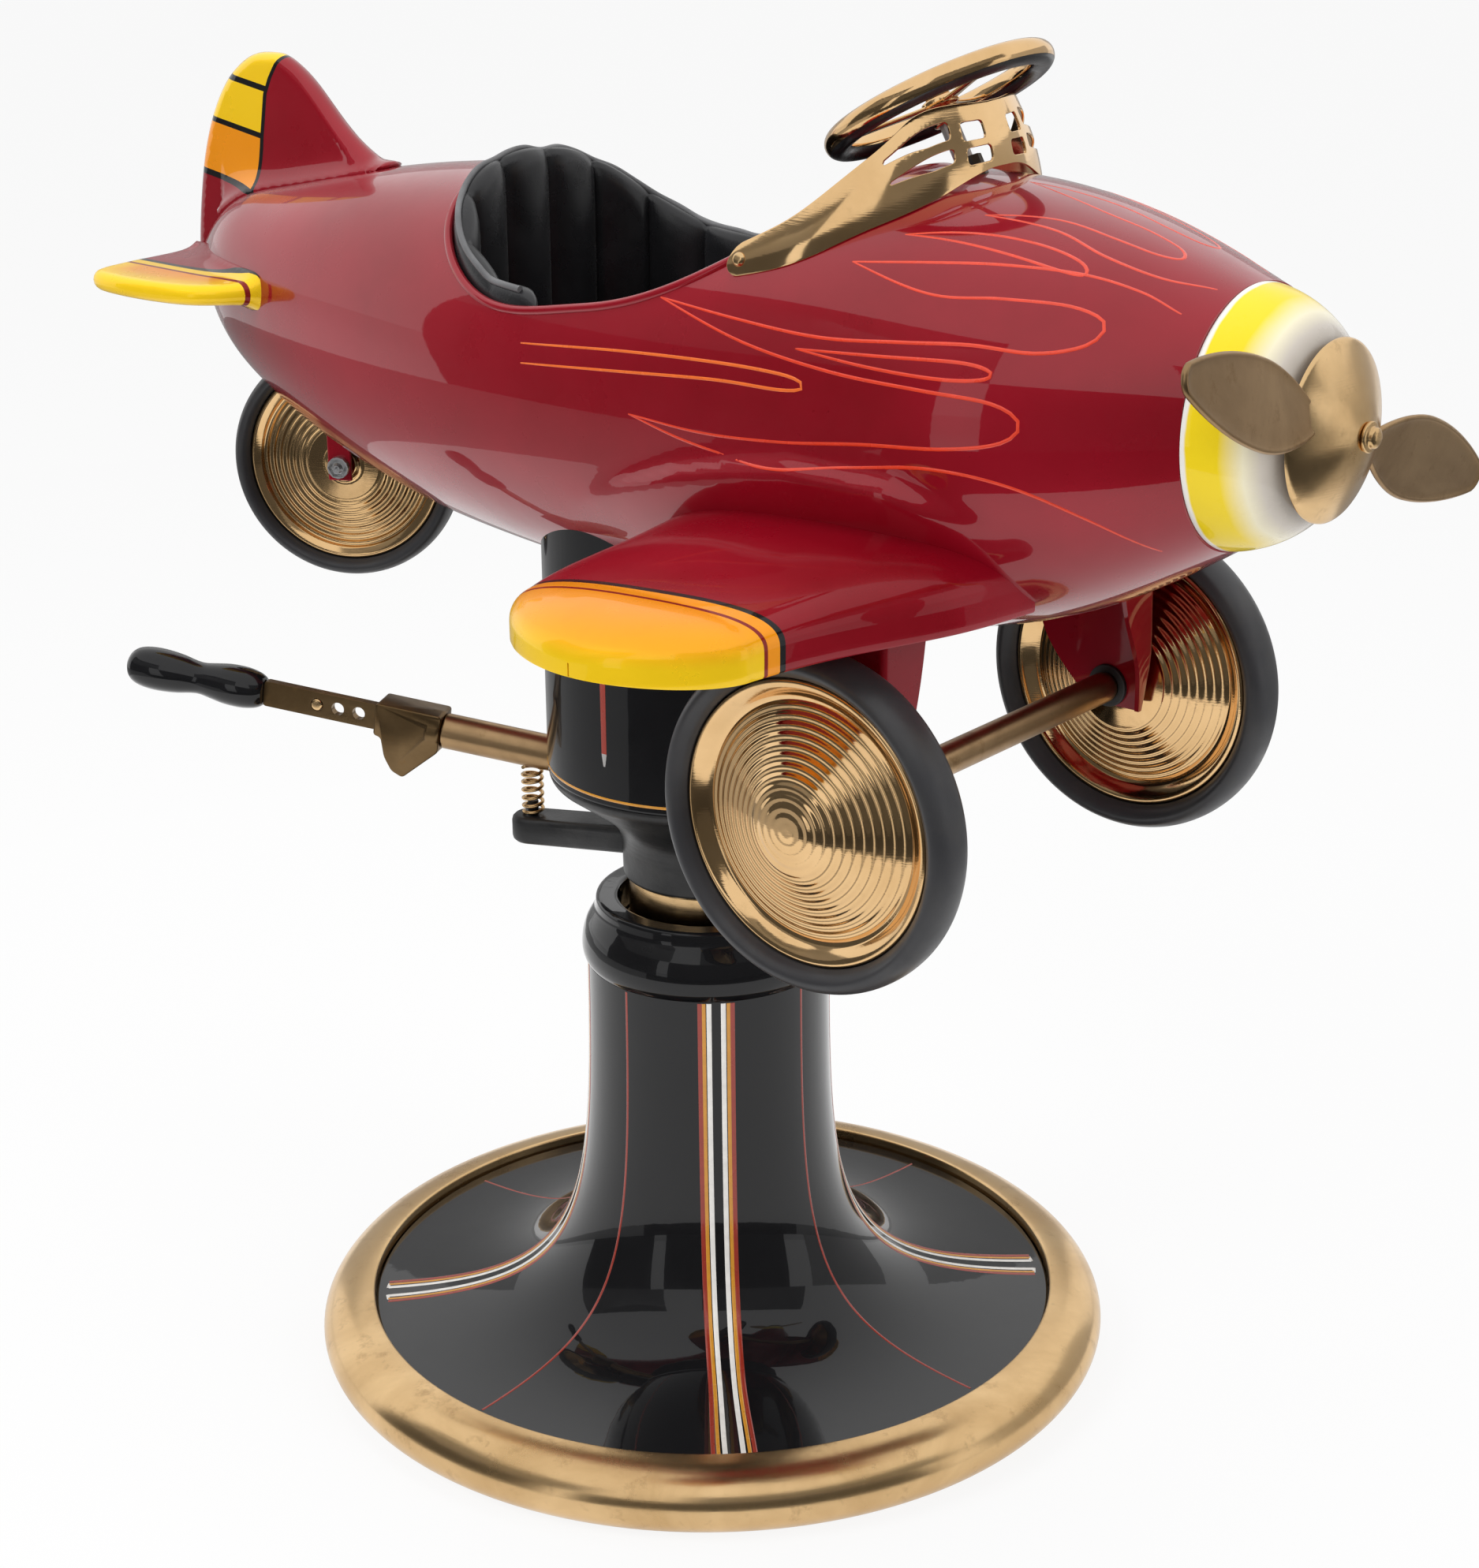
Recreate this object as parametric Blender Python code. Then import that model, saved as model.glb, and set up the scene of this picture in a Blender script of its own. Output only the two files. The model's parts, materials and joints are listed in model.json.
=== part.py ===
"""Airplane chair for a child at a barber's shop: a pressed-steel toy plane on a hydraulic pedestal.

Metres, +Z up, +X towards the nose, +Y to port. The origin is on the floor, on the post's axis.
"""
import math

import bmesh
import bpy
import numpy as np
from mathutils import Matrix, Vector

# Clearances
FIT = 0.0003                # between pieces that are fixed to each other
RUN = 0.0005                # round pieces that turn or slide
FACET_ROOM = 0.003          # between a smooth line and the facets of the skin beside it

# Pedestal, floor to collar
BASE_RADIUS = 0.335
RING_WIDTH = 0.045
RING_HEIGHT = 0.056
RING_WIDEST = 0.026         # height of the ring's widest line
RING_WALL = 0.003
RING_LIP = 0.012            # height of the ring's inner edge
PLATE_THICKNESS = 0.004
DISC_EDGE_HEIGHT = 0.047    # top of the casting where the ring meets it
POST_RADIUS = 0.0985
POST_HEIGHT = 0.335
FLARE_REACH = 0.235         # how far down the post the flare begins to pull
FLARE_TURN_RADIUS = 0.113
FLARE_TURN_HEIGHT = 0.052
CASTING_WALL = 0.007
COLLAR_RADIUS = 0.1047
COLLAR_HEIGHT = 0.075
COLLAR_MOUTH = 0.074

# Lift cylinder and ram
RAM_RADIUS = 0.0645
RAM_LENGTH = 0.330
RAM_WALL = 0.010
RAM_HEAD = 0.020
TUBE_WALL = 0.0055
PISTON_GAP = 0.0025         # ram to tube wall
PISTON_HEIGHT = 0.015
TUBE_RISE = 0.032           # tube above the post's top
GLAND_HEIGHT = 0.016
SPIGOT_RADIUS = 0.034
SPIGOT_LENGTH = 0.070

# Swivel casting, drum and saddle
NECK_LIFT = 0.019           # collar's top to the neck
NECK_RADIUS = 0.0690
NECK_HEIGHT = 0.048
CONE_HEIGHT = 0.039
DRUM_RADIUS = 0.1285
DRUM_FLANGE = 0.0075
DRUM_WALL = 0.003
DRUM_HEIGHT = 0.155         # drum's foot to the belly datum
COLUMN_RADIUS = 0.042
COLUMN_WALL = 0.010
SADDLE_LENGTH = 0.150
SADDLE_WIDTH = 0.110
SADDLE_THICKNESS = 0.014
SADDLE_DROP = 0.020         # saddle's underside below the belly datum
DRUM_BLANK_RISE = 0.0725    # drum above the belly datum before it is cut to the skin

# Pump lever, measured out from the post's axis
LEVER_AZIMUTH = 25.0        # degrees from straight aft towards starboard
LEVER_PITCH = 7.8           # degrees above level
LEVER_PIVOT_OUT = 0.105
LEVER_PIVOT_DROP = 0.0075   # below the casting's top
LEVER_PIN_RADIUS = 0.004
LEVER_EYE_RADIUS = 0.0115
LEVER_TUBE_RADIUS = 0.0150
LEVER_TUBE_LENGTH = 0.120
YOKE_LENGTH = 0.057
YOKE_HALF_WIDTH = 0.015
YOKE_HALF_HEIGHT = 0.017
YOKE_HOOK_DROP = 0.042
BAR_LENGTH = 0.102
BAR_THICKNESS = 0.008
BAR_HEIGHT = 0.022
BAR_HOLE_RADIUS = 0.0055
BAR_HOLE_PITCH = 0.0185
HANDLE_RADIUS = 0.0180
HANDLE_WAIST = 0.0135
HANDLE_LENGTH = 0.122
NOTCH_HALF_WIDTH = 0.0165
NOTCH_RISE = 0.022          # lever slot in the drum, above the drum's foot
LUG_REACH = 0.167
LUG_HALF_WIDTH = 0.017
LUG_THICKNESS = 0.013
LUG_TOP_DROP = 0.058        # casting's top to the lug's top
SPRING_OUT = 0.149
SPRING_COIL_RADIUS = 0.0080
SPRING_WIRE = 0.0030
SPRING_TURNS = 6
SPRING_STUD_RADIUS = 0.0045
SPRING_STUD_HEIGHT = 0.012

# Fuselage lines: station, top, bottom, half width and height of the widest point,
# all heights above the belly datum
FUSELAGE_LINES = (
    (-0.552, 0.220, 0.166, 0.018, 0.192),
    (-0.515, 0.248, 0.126, 0.046, 0.190),
    (-0.450, 0.269, 0.086, 0.077, 0.187),
    (-0.300, 0.298, 0.033, 0.118, 0.182),
    (-0.150, 0.314, 0.011, 0.146, 0.178),
    (0.000, 0.326, 0.003, 0.162, 0.177),
    (0.150, 0.339, 0.006, 0.168, 0.179),
    (0.280, 0.346, 0.020, 0.163, 0.186),
    (0.400, 0.326, 0.058, 0.135, 0.197),
    (0.489, 0.296, 0.111, 0.0925, 0.2035),
)
FULLNESS = 2.15             # exponent of the oval sections
SKIN = 0.003
SEAM_HEIGHT = 0.178         # joint between the upper and lower pressings, above the belly datum
RING_POINTS = 26
SECTION_COUNT = 15

# Cockpit mouth, belly opening and seat
COCKPIT_AFT = -0.190
COCKPIT_FRONT = 0.208
COCKPIT_HALF_WIDTH = 0.1485
COCKPIT_WIDEST = 0.008
COCKPIT_AFT_SQUARENESS = 3.1
COCKPIT_FRONT_SQUARENESS = 2.4
BELLY_OPEN_AFT = -0.500
BELLY_OPEN_FRONT = -0.235
BELLY_OPEN_SHARE = 0.62     # half width of the belly opening over the skin's half width
PAN_HEIGHT = 0.092          # top of the seat pan above the belly datum
PAN_THICKNESS = 0.004
PAN_AFT = -0.205
PAN_FRONT = 0.095
CUSHION_DEPTH = 0.046
CUSHION_CROWN = 0.014
CUSHION_HALF_LENGTH = 0.112
CUSHION_HALF_WIDTH = 0.112
CUSHION_CENTRE = -0.036
PAD_GAP = 0.004             # cockpit mouth to the back pad
PAD_THICKNESS = 0.020
PAD_SEAM_THICKNESS = 0.011
PAD_CHANNELS = 11
PAD_RIGHT_END = -0.040      # station of the pad's end on the entry side
PAD_LEFT_END = 0.150
PAD_RISE_SIDE = 0.003       # pad's top above the mouth's edge at its ends
PAD_RISE_BACK = 0.012

# Nose, propeller
CAP_LENGTH = 0.058
CAP_FACE_RADIUS = 0.052
CAP_LIP = 0.012
BUSH_RADIUS = 0.014
BUSH_FLANGE_RADIUS = 0.022
BUSH_FLANGE_THICKNESS = 0.0025
SHAFT_RADIUS = 0.006
SHAFT_TAIL = 0.060          # shaft behind the cap's face
SPINNER_RADIUS = 0.063
SPINNER_LENGTH = 0.027
SPINNER_TIP_RADIUS = 0.009
SPINNER_WALL = 0.003
SPINNER_BOSS = 0.015
BLADE_COUNT = 2
BLADE_ANGLE = -20.0         # degrees of the first blade above port
BLADE_TIP = 0.220
BLADE_ROOT = 0.030
BLADE_HALF_WIDTH = 0.031
BLADE_WIDEST = 0.42         # share of the blade's length from its root
BLADE_THICKNESS = 0.004
BLADE_PITCH = 12.0          # degrees out of the propeller's plane
NUT_RADIUS = 0.0095
NUT_LENGTH = 0.011

# Wing plan: span, leading edge, trailing edge, depth over the flat underside
WING_PLAN = (
    (0.085, 0.371, 0.085, 0.059),
    (0.160, 0.358, 0.097, 0.059),
    (0.220, 0.337, 0.102, 0.051),
    (0.290, 0.317, 0.106, 0.043),
    (0.330, 0.311, 0.114, 0.038),
    (0.360, 0.294, 0.135, 0.033),
    (0.380, 0.264, 0.164, 0.028),
    (0.390, 0.234, 0.196, 0.024),
)
WING_HEIGHT = 0.065         # underside above the belly datum
WING_EDGE = 0.016           # upright edge of the pressing
WING_ROUNDNESS = 2.3
WING_SKIN = 0.003
WING_POINTS = 12

# Tail: fin outline (station, height above datum), right stabiliser outline (station, span)
FIN_OUTLINE = (
    (-0.330, 0.292), (-0.352, 0.300), (-0.385, 0.322), (-0.420, 0.354), (-0.448, 0.373), (-0.470, 0.376),
    (-0.494, 0.371), (-0.520, 0.352), (-0.541, 0.322), (-0.556, 0.285), (-0.566, 0.240), (-0.571, 0.200),
    (-0.569, 0.186), (-0.500, 0.186), (-0.400, 0.240),
)
FIN_THICKNESS = 0.020
STABILISER_OUTLINE = (
    (-0.360, 0.0), (-0.393, 0.090), (-0.418, 0.124), (-0.448, 0.142), (-0.500, 0.148), (-0.546, 0.143),
    (-0.563, 0.128), (-0.568, 0.090), (-0.568, 0.0),
)
STABILISER_HEIGHT = 0.194
STABILISER_THICKNESS = 0.017
TAIL_EDGE_INSET = 0.006

# Windshield, left side: station, span, height of the sheet over the skin
WINDSHIELD_LINES = (
    (0.138, 0.1325, 0.0120),
    (0.176, 0.1280, 0.0155),
    (0.209, 0.1170, 0.0235),
    (0.241, 0.1030, 0.0335),
    (0.262, 0.0820, 0.0410),
    (0.279, 0.0550, 0.0430),
    (0.287, 0.0280, 0.0440),
    (0.289, 0.0000, 0.0445),
)
WINDSHIELD_LEAN = 0.5       # aft per height
WINDSHIELD_THICKNESS = 0.0022
WINDSHIELD_STATIONS = (0.0, 0.16, 0.32, 0.51, 0.62, 0.72, 0.76, 0.865, 1.0)
WINDSHIELD_ROWS = (0.0, 0.36, 0.51, 0.60, 0.86, 1.0)
LONG_SLOT = (3, 5)          # station numbers between which the long slots run
SHORT_SLOT = (6, 7)
SLOT_ROWS = (1, 3)
SCREW_RADIUS = 0.0060
SCREW_HEIGHT = 0.004

# Steering
WHEEL_CENTRE_X = 0.2238
STEERING_RISE = 0.0479          # wheel's centre above the cowl's top line
STEERING_TILT = 29.6            # degrees, front edge high
STEERING_RADIUS = 0.0770
STEERING_TUBE = 0.0108
GRIP_DEPTH = 0.0034
GRIP_START = 195.0              # degrees round the tube: 0 outside, 90 on top
GRIP_END = 285.0
SPOKE_COUNT = 3
SPOKE_HALF_WIDTH = 0.008
SPOKE_THICKNESS = 0.004
STEERING_DISH = 0.010           # hub below the rim
STEERING_HUB_RADIUS = 0.022
STEERING_HUB_THICKNESS = 0.008
STEERING_SHAFT_RADIUS = 0.007
STEERING_SHAFT_LENGTH = 0.115
COLUMN_BUSH_WALL = 0.005
COLUMN_BUSH_LENGTH = 0.018

# Front wheels and their axle
FRONT_WHEEL_X = 0.273
FRONT_WHEEL_DROP = 0.079        # axle below the belly datum
FRONT_WHEEL_GAP = 0.003     # strut to the wheel's inner disc
FRONT_WHEEL_RADIUS = 0.127
TYRE_DEPTH = 0.032
TYRE_HALF_WIDTH = 0.019
RIM_HALF_WIDTH = 0.010
RIM_LAP = 0.0155                # disc's edge inside the tyre's outside
DISC_BULGE = 0.030
DISC_WALL = 0.0018
DISC_STEPS = 2
DISC_DOME_SHARE = 0.42          # smooth middle of a disc over its radius
AXLE_RADIUS = 0.0105
HUB_WALL = 0.006
STRUT_SPAN = 0.176              # outer side of a strut
STRUT_SHEET = 0.004
STRUT_FLANGE = 0.052            # front flange, at the wing
STRUT_FRONT = 0.311
STRUT_AFT = 0.204
STRUT_FOOT = 0.016              # strut's end below the axle
STRUT_FOOT_HALF = 0.030

# Tail wheel and its fork
TAIL_WHEEL_X = -0.402
TAIL_WHEEL_HEIGHT = 0.033       # axle above the belly datum
TAIL_WHEEL_RADIUS = 0.1013
TAIL_STEER = 27.3               # degrees from straight ahead, front edge to port
TAIL_TYRE_DEPTH = 0.024
TAIL_TYRE_HALF_WIDTH = 0.015
TAIL_RIM_HALF_WIDTH = 0.008
TAIL_RIM_LAP = 0.0125
TAIL_DISC_BULGE = 0.016
TAIL_AXLE_RADIUS = 0.005
FORK_SIDE_GAP = 0.004           # disc to fork leg
FORK_LEG_WIDTH = 0.021
FORK_SHEET = 0.004
FORK_TOP_GAP = 0.010            # tyre to the fork's bridge
KINGPIN_RADIUS = 0.006
KINGPIN_HEAD_RADIUS = 0.011
KINGPIN_HEAD = 0.005
BRACKET_LENGTH = 0.050
BRACKET_THICKNESS = 0.008

# Facets round turned pieces
FINE = 26
MEDIUM = 20
SMALL = 12

# Worked-out levels
RING_INNER = BASE_RADIUS - RING_WIDTH
DISC_RADIUS = RING_INNER - FIT
TUBE_BORE = RAM_RADIUS + PISTON_GAP
TUBE_RADIUS = TUBE_BORE + TUBE_WALL
COLLAR_FOOT = POST_HEIGHT + FIT
COLLAR_TOP = COLLAR_FOOT + COLLAR_HEIGHT
TUBE_TOP = POST_HEIGHT + TUBE_RISE
NECK_FOOT = COLLAR_TOP + NECK_LIFT
RAM_TOP = NECK_FOOT - FIT
RAM_FOOT = RAM_TOP - RAM_LENGTH
CONE_FOOT = NECK_FOOT + NECK_HEIGHT
CASTING_TOP = CONE_FOOT + CONE_HEIGHT + DRUM_FLANGE
DRUM_FOOT = CASTING_TOP + FIT
BELLY_Z = DRUM_FOOT + DRUM_HEIGHT
SEAM_Z = BELLY_Z + SEAM_HEIGHT
NOSE_X = FUSELAGE_LINES[-1][0]
TAIL_X = FUSELAGE_LINES[0][0]
NOSE_RADIUS = FUSELAGE_LINES[-1][3]
NOSE_AXIS_Z = BELLY_Z + FUSELAGE_LINES[-1][4]
CAP_FACE_X = NOSE_X + FIT + CAP_LENGTH
SPINNER_X = CAP_FACE_X + FIT + BUSH_FLANGE_THICKNESS + RUN
FRONT_AXLE_Z = BELLY_Z - FRONT_WHEEL_DROP
TAIL_AXLE_Z = BELLY_Z + TAIL_WHEEL_HEIGHT
LEVER_PIVOT_Z = CASTING_TOP - LEVER_PIVOT_DROP
LUG_TOP = CASTING_TOP - LUG_TOP_DROP
COWL_TOP = max(line[1] for line in FUSELAGE_LINES)
WHEEL_CENTRE_Z = BELLY_Z + COWL_TOP + STEERING_RISE
FRONT_HALF_TRACK = STRUT_SPAN + FRONT_WHEEL_GAP + DISC_BULGE


def clear_scene():
    """Remove whatever the scene holds."""
    for obj in list(bpy.data.objects):
        bpy.data.objects.remove(obj)


def paint(name, color, roughness, metallic):
    """A plain surface: colour, roughness and metallic value."""
    mat = bpy.data.materials.new(name)
    mat.use_nodes = True
    shader = mat.node_tree.nodes["Principled BSDF"]
    shader.inputs["Base Color"].default_value = (*color, 1.0)
    shader.inputs["Roughness"].default_value = roughness
    shader.inputs["Metallic"].default_value = metallic
    mat.diffuse_color = (*color, 1.0)
    return mat


def finish(name, bm, surface):
    """Turn a bmesh into a named, smooth-shaded object."""
    bmesh.ops.recalc_face_normals(bm, faces=bm.faces)
    mesh = bpy.data.meshes.new(name)
    bm.to_mesh(mesh)
    bm.free()
    mesh.materials.append(surface)
    mesh.shade_smooth()
    mesh.set_sharp_from_angle(angle=math.radians(35))
    obj = bpy.data.objects.new(name, mesh)
    bpy.context.scene.collection.objects.link(obj)
    return obj


def place(obj, location=(0, 0, 0), rotation=(0, 0, 0)):
    """Set an object's place and its rotation in degrees."""
    obj.location = location
    obj.rotation_euler = [math.radians(angle) for angle in rotation]
    return obj


def bake(obj):
    """Make the result of an object's modifiers its mesh."""
    bpy.context.view_layer.update()
    graph = bpy.context.evaluated_depsgraph_get()
    mesh = bpy.data.meshes.new_from_object(obj.evaluated_get(graph))
    mesh.name = obj.name
    obj.modifiers.clear()
    obj.data = mesh


def combine(obj, other, operation, keep=False):
    """Cut, join or intersect an object with another one."""
    step = obj.modifiers.new("combine", "BOOLEAN")
    step.operation = operation
    step.solver = "EXACT"
    step.object = other
    bake(obj)
    if not keep:
        bpy.data.objects.remove(other)
    return obj


def loft(name, rings, surface):
    """A closed body through rings of equal length, with flat ends."""
    bm = bmesh.new()
    loops = [[bm.verts.new(point) for point in ring] for ring in rings]
    count = len(loops[0])
    for first, second in zip(loops, loops[1:]):
        for i in range(count):
            j = (i + 1) % count
            bm.faces.new((first[i], first[j], second[j], second[i]))
    bm.faces.new(loops[0])
    bm.faces.new(loops[-1])
    return finish(name, bm, surface)


def turned(name, profile, segments, surface):
    """A body turned about Z from a closed outline of (radius, height) points."""
    bm = bmesh.new()
    rings = []
    for radius, height in profile:
        if radius <= 0:
            rings.append([bm.verts.new((0, 0, height))])
        else:
            angles = [2 * math.pi * i / segments for i in range(segments)]
            rings.append([bm.verts.new((radius * math.cos(a), radius * math.sin(a),
                                        height)) for a in angles])
    for first, second in zip(rings, rings[1:] + rings[:1]):
        if len(first) == 1 and len(second) == 1:
            continue
        for i in range(segments):
            j = (i + 1) % segments
            if len(first) == 1:
                bm.faces.new((first[0], second[j], second[i]))
            elif len(second) == 1:
                bm.faces.new((first[i], first[j], second[0]))
            else:
                bm.faces.new((first[i], first[j], second[j], second[i]))
    return finish(name, bm, surface)


def block(name, low, high, surface):
    """A box between two corners."""
    corners = [(low[0], low[1]), (high[0], low[1]), (high[0], high[1]), (low[0], high[1])]
    return loft(name, [[(x, y, z) for x, y in corners] for z in (low[2], high[2])], surface)


def bored(radius, segments):
    """Radius of a faceted bore that clears a shaft of this radius at any angle."""
    return (radius + RUN) / math.cos(math.pi / segments)


def bezier(start, pull, arrive, end, count):
    """Points along a cubic curve in a plane."""
    points = []
    for i in range(count + 1):
        t = i / count
        weights = ((1 - t) ** 3, 3 * t * (1 - t) ** 2, 3 * t * t * (1 - t), t ** 3)
        corners = zip(weights, (start, pull, arrive, end))
        points.append(sum((w * Vector(p) for w, p in corners), Vector((0, 0))))
    return points


def spline(stations, values):
    """A natural cubic through the rows of values, as a function of the station."""
    stations = np.array(stations)
    values = np.array(values)
    count = len(stations)
    gaps = np.diff(stations)
    system = np.eye(count)
    right = np.zeros_like(values)
    for i in range(1, count - 1):
        system[i, i - 1:i + 2] = (gaps[i - 1], 2 * (gaps[i - 1] + gaps[i]), gaps[i])
        right[i] = 6 * ((values[i + 1] - values[i]) / gaps[i] - (values[i] - values[i - 1]) / gaps[i - 1])
    bends = np.linalg.solve(system, right)

    def at(station):
        i = int(np.clip(np.searchsorted(stations, station) - 1, 0, count - 2))
        a = stations[i + 1] - station
        b = station - stations[i]
        gap = gaps[i]
        curve = (bends[i] * a ** 3 + bends[i + 1] * b ** 3) / (6 * gap)
        low = values[i] / gap - bends[i] * gap / 6
        high = values[i + 1] / gap - bends[i + 1] * gap / 6
        return curve + low * a + high * b

    return at


def power(value, exponent):
    """A signed power, for oval outlines."""
    return math.copysign(abs(value) ** exponent, value)


lines_at = spline([row[0] for row in FUSELAGE_LINES], [row[1:] for row in FUSELAGE_LINES])


def skin_point(x, angle, grow=0.0):
    """A point of the fuselage skin at a station, at an angle from port upwards."""
    top, bottom, half, widest = lines_at(x)
    rise = top - widest if math.sin(angle) >= 0 else widest - bottom
    y = (half + grow) * power(math.cos(angle), 2 / FULLNESS)
    z = BELLY_Z + widest + (rise + grow) * power(math.sin(angle), 2 / FULLNESS)
    return (x, y, z)


def skin_top(x, y):
    """Height of the upper skin over a point of the plan."""
    top, _, half, widest = lines_at(x)
    share = min(abs(y) / half, 1.0)
    return BELLY_Z + widest + (top - widest) * (1 - share ** FULLNESS) ** (1 / FULLNESS)


def skin_low(x, y, inset):
    """Height of the lower skin's inside over a point of the plan."""
    _, bottom, half, widest = lines_at(x)
    share = min(abs(y) / (half - inset), 1.0)
    return BELLY_Z + widest - (widest - bottom - inset) * (1 - share ** FULLNESS) ** (1 / FULLNESS)


def fuselage_solid(name, grow, tail, nose):
    """The fuselage as one solid, grown outwards or inwards."""
    middle = np.linspace(TAIL_X, NOSE_X, SECTION_COUNT)
    stations = [tail] + [x for x in middle if tail + 0.004 < x < nose - 0.004] + [nose]
    angles = [2 * math.pi * i / RING_POINTS for i in range(RING_POINTS)]
    return loft(name, [[skin_point(x, a, grow) for a in angles] for x in stations], MAROON)


def skin_cutter():
    """What a piece that stands on the skin is cut back by."""
    return fuselage_solid("skin_cutter", 1.5 * FIT, TAIL_X - 1.5 * FIT, NOSE_X + FIT)


def skin_inside():
    """The room inside the skin, less the clearance."""
    return fuselage_solid("skin_inside", -(SKIN + FIT), TAIL_X + SKIN, NOSE_X - FIT)


def cockpit_point(angle, inset):
    """A point of the cockpit's mouth in plan, moved inwards."""
    forward = math.cos(angle) >= 0
    squareness = COCKPIT_FRONT_SQUARENESS if forward else COCKPIT_AFT_SQUARENESS
    reach = COCKPIT_FRONT - COCKPIT_WIDEST if forward else COCKPIT_WIDEST - COCKPIT_AFT
    x = COCKPIT_WIDEST + (reach - inset) * power(math.cos(angle), 2 / squareness)
    y = (COCKPIT_HALF_WIDTH - inset) * power(math.sin(angle), 2 / squareness)
    return Vector((x, y))


def resampled(points, count):
    """Points at even steps along a line through the given points."""
    points = np.array(points)
    steps = np.linalg.norm(np.diff(points, axis=0), axis=1)
    along = np.concatenate(([0.0], np.cumsum(steps)))
    wanted = np.linspace(0.0, along[-1], count)
    return np.stack([np.interp(wanted, along, points[:, k]) for k in range(points.shape[1])], axis=1)


def make_pedestal():
    """Base plate, casting, trim ring, collar and the cylinder inside."""
    turned("base_bottom_plate", [(0, 0), (DISC_RADIUS, 0), (DISC_RADIUS, PLATE_THICKNESS),
                                 (0, PLATE_THICKNESS)],
           FINE, IRON)
    foot = PLATE_THICKNESS + FIT
    flare = bezier((POST_RADIUS, POST_HEIGHT), (POST_RADIUS, POST_HEIGHT - FLARE_REACH),
                   (FLARE_TURN_RADIUS, FLARE_TURN_HEIGHT), (DISC_RADIUS, DISC_EDGE_HEIGHT), 9)
    inside = []
    for before, point, after in zip(flare, flare[1:], flare[2:]):
        along = (after - before).normalized()
        inside.append(point + CASTING_WALL * Vector((along.y, -along.x)))
    bore = TUBE_RADIUS + FIT
    profile = [tuple(point) for point in flare]
    profile += [(DISC_RADIUS, foot), (DISC_RADIUS - CASTING_WALL, foot)]
    profile += [tuple(point) for point in reversed(inside[::2])]
    profile += [(POST_RADIUS - CASTING_WALL, POST_HEIGHT - CASTING_WALL),
                (bore, POST_HEIGHT - CASTING_WALL)]
    profile += [(bore, POST_HEIGHT)]
    turned("base_casting", profile, FINE, ENAMEL)

    rise = RING_HEIGHT - RING_WIDEST
    start = -math.asin(RING_WIDEST / rise)
    arc = [start + (0.5 * math.pi - start) * k / 7 for k in range(8)]
    profile = [(RING_INNER + RING_WIDTH * math.cos(a), RING_WIDEST + rise * math.sin(a)) for a in arc]
    profile += [(RING_INNER, RING_LIP), (RING_INNER + RING_WALL, RING_LIP)]
    width = RING_WIDTH - RING_WALL
    rise -= RING_WALL
    start = math.acos(RING_WALL / width)
    end = -math.asin(RING_WIDEST / rise)
    arc = [start + (end - start) * k / 5 for k in range(6)]
    profile += [(RING_INNER + width * math.cos(a), RING_WIDEST + rise * math.sin(a)) for a in arc]
    turned("base_trim_ring", profile, FINE, BRASS)

    top = COLLAR_TOP
    edge = COLLAR_RADIUS
    profile = [(COLLAR_MOUTH, top), (edge - 0.0145, top), (edge - 0.0115, top - 0.004),
               (edge - 0.003, top - 0.024),
               (edge, top - 0.036), (edge - 0.0005, top - 0.054), (edge - 0.003, top - 0.066),
               (edge - 0.005, COLLAR_FOOT), (COLLAR_MOUTH, COLLAR_FOOT)]
    turned("base_collar", profile, FINE, ENAMEL)

    profile = [(TUBE_BORE, foot), (TUBE_RADIUS, foot), (TUBE_RADIUS, TUBE_TOP), (TUBE_BORE, TUBE_TOP)]
    turned("cylinder_tube", profile, FINE, STEEL)
    low = TUBE_TOP + FIT
    hole = bored(RAM_RADIUS, FINE)
    profile = [(hole, low), (TUBE_RADIUS, low), (TUBE_RADIUS, low + GLAND_HEIGHT),
               (hole, low + GLAND_HEIGHT)]
    turned("cylinder_gland", profile, FINE, BRASS)


def make_ram():
    """The ram with its spigot, and the piston at its foot."""
    inner = RAM_RADIUS - RAM_WALL
    profile = [(inner, RAM_FOOT), (RAM_RADIUS, RAM_FOOT), (RAM_RADIUS, RAM_TOP),
               (SPIGOT_RADIUS, RAM_TOP),
               (SPIGOT_RADIUS, RAM_TOP + SPIGOT_LENGTH), (0, RAM_TOP + SPIGOT_LENGTH),
               (0, RAM_TOP - RAM_HEAD),
               (inner, RAM_TOP - RAM_HEAD)]
    turned("ram", profile, FINE, BRASS)
    top = RAM_FOOT - FIT
    radius = TUBE_BORE - RUN
    profile = [(0, top - PISTON_HEIGHT), (radius, top - PISTON_HEIGHT), (radius, top), (0, top)]
    turned("ram_piston", profile, FINE, IRON)


def lever_place(obj):
    """Put a piece that is modelled along +X from the lever's pivot in its place."""
    turn = 180.0 + LEVER_AZIMUTH
    flat = Vector((math.cos(math.radians(turn)), math.sin(math.radians(turn)), 0.0))
    location = LEVER_PIVOT_OUT * flat
    location.z = LEVER_PIVOT_Z
    return place(obj, location, (0, -LEVER_PITCH, turn))


def out_place(obj):
    """Put a piece that is modelled along +X from the post's axis under the lever."""
    return place(obj, (0, 0, 0), (0, 0, 180.0 + LEVER_AZIMUTH))


def lever_underside(out):
    """Height of the lever tube's lower side at a distance from the post's axis."""
    pitch = math.radians(LEVER_PITCH)
    return LEVER_PIVOT_Z + (out - LEVER_PIVOT_OUT) * math.tan(pitch) - LEVER_TUBE_RADIUS / math.cos(pitch)


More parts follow.
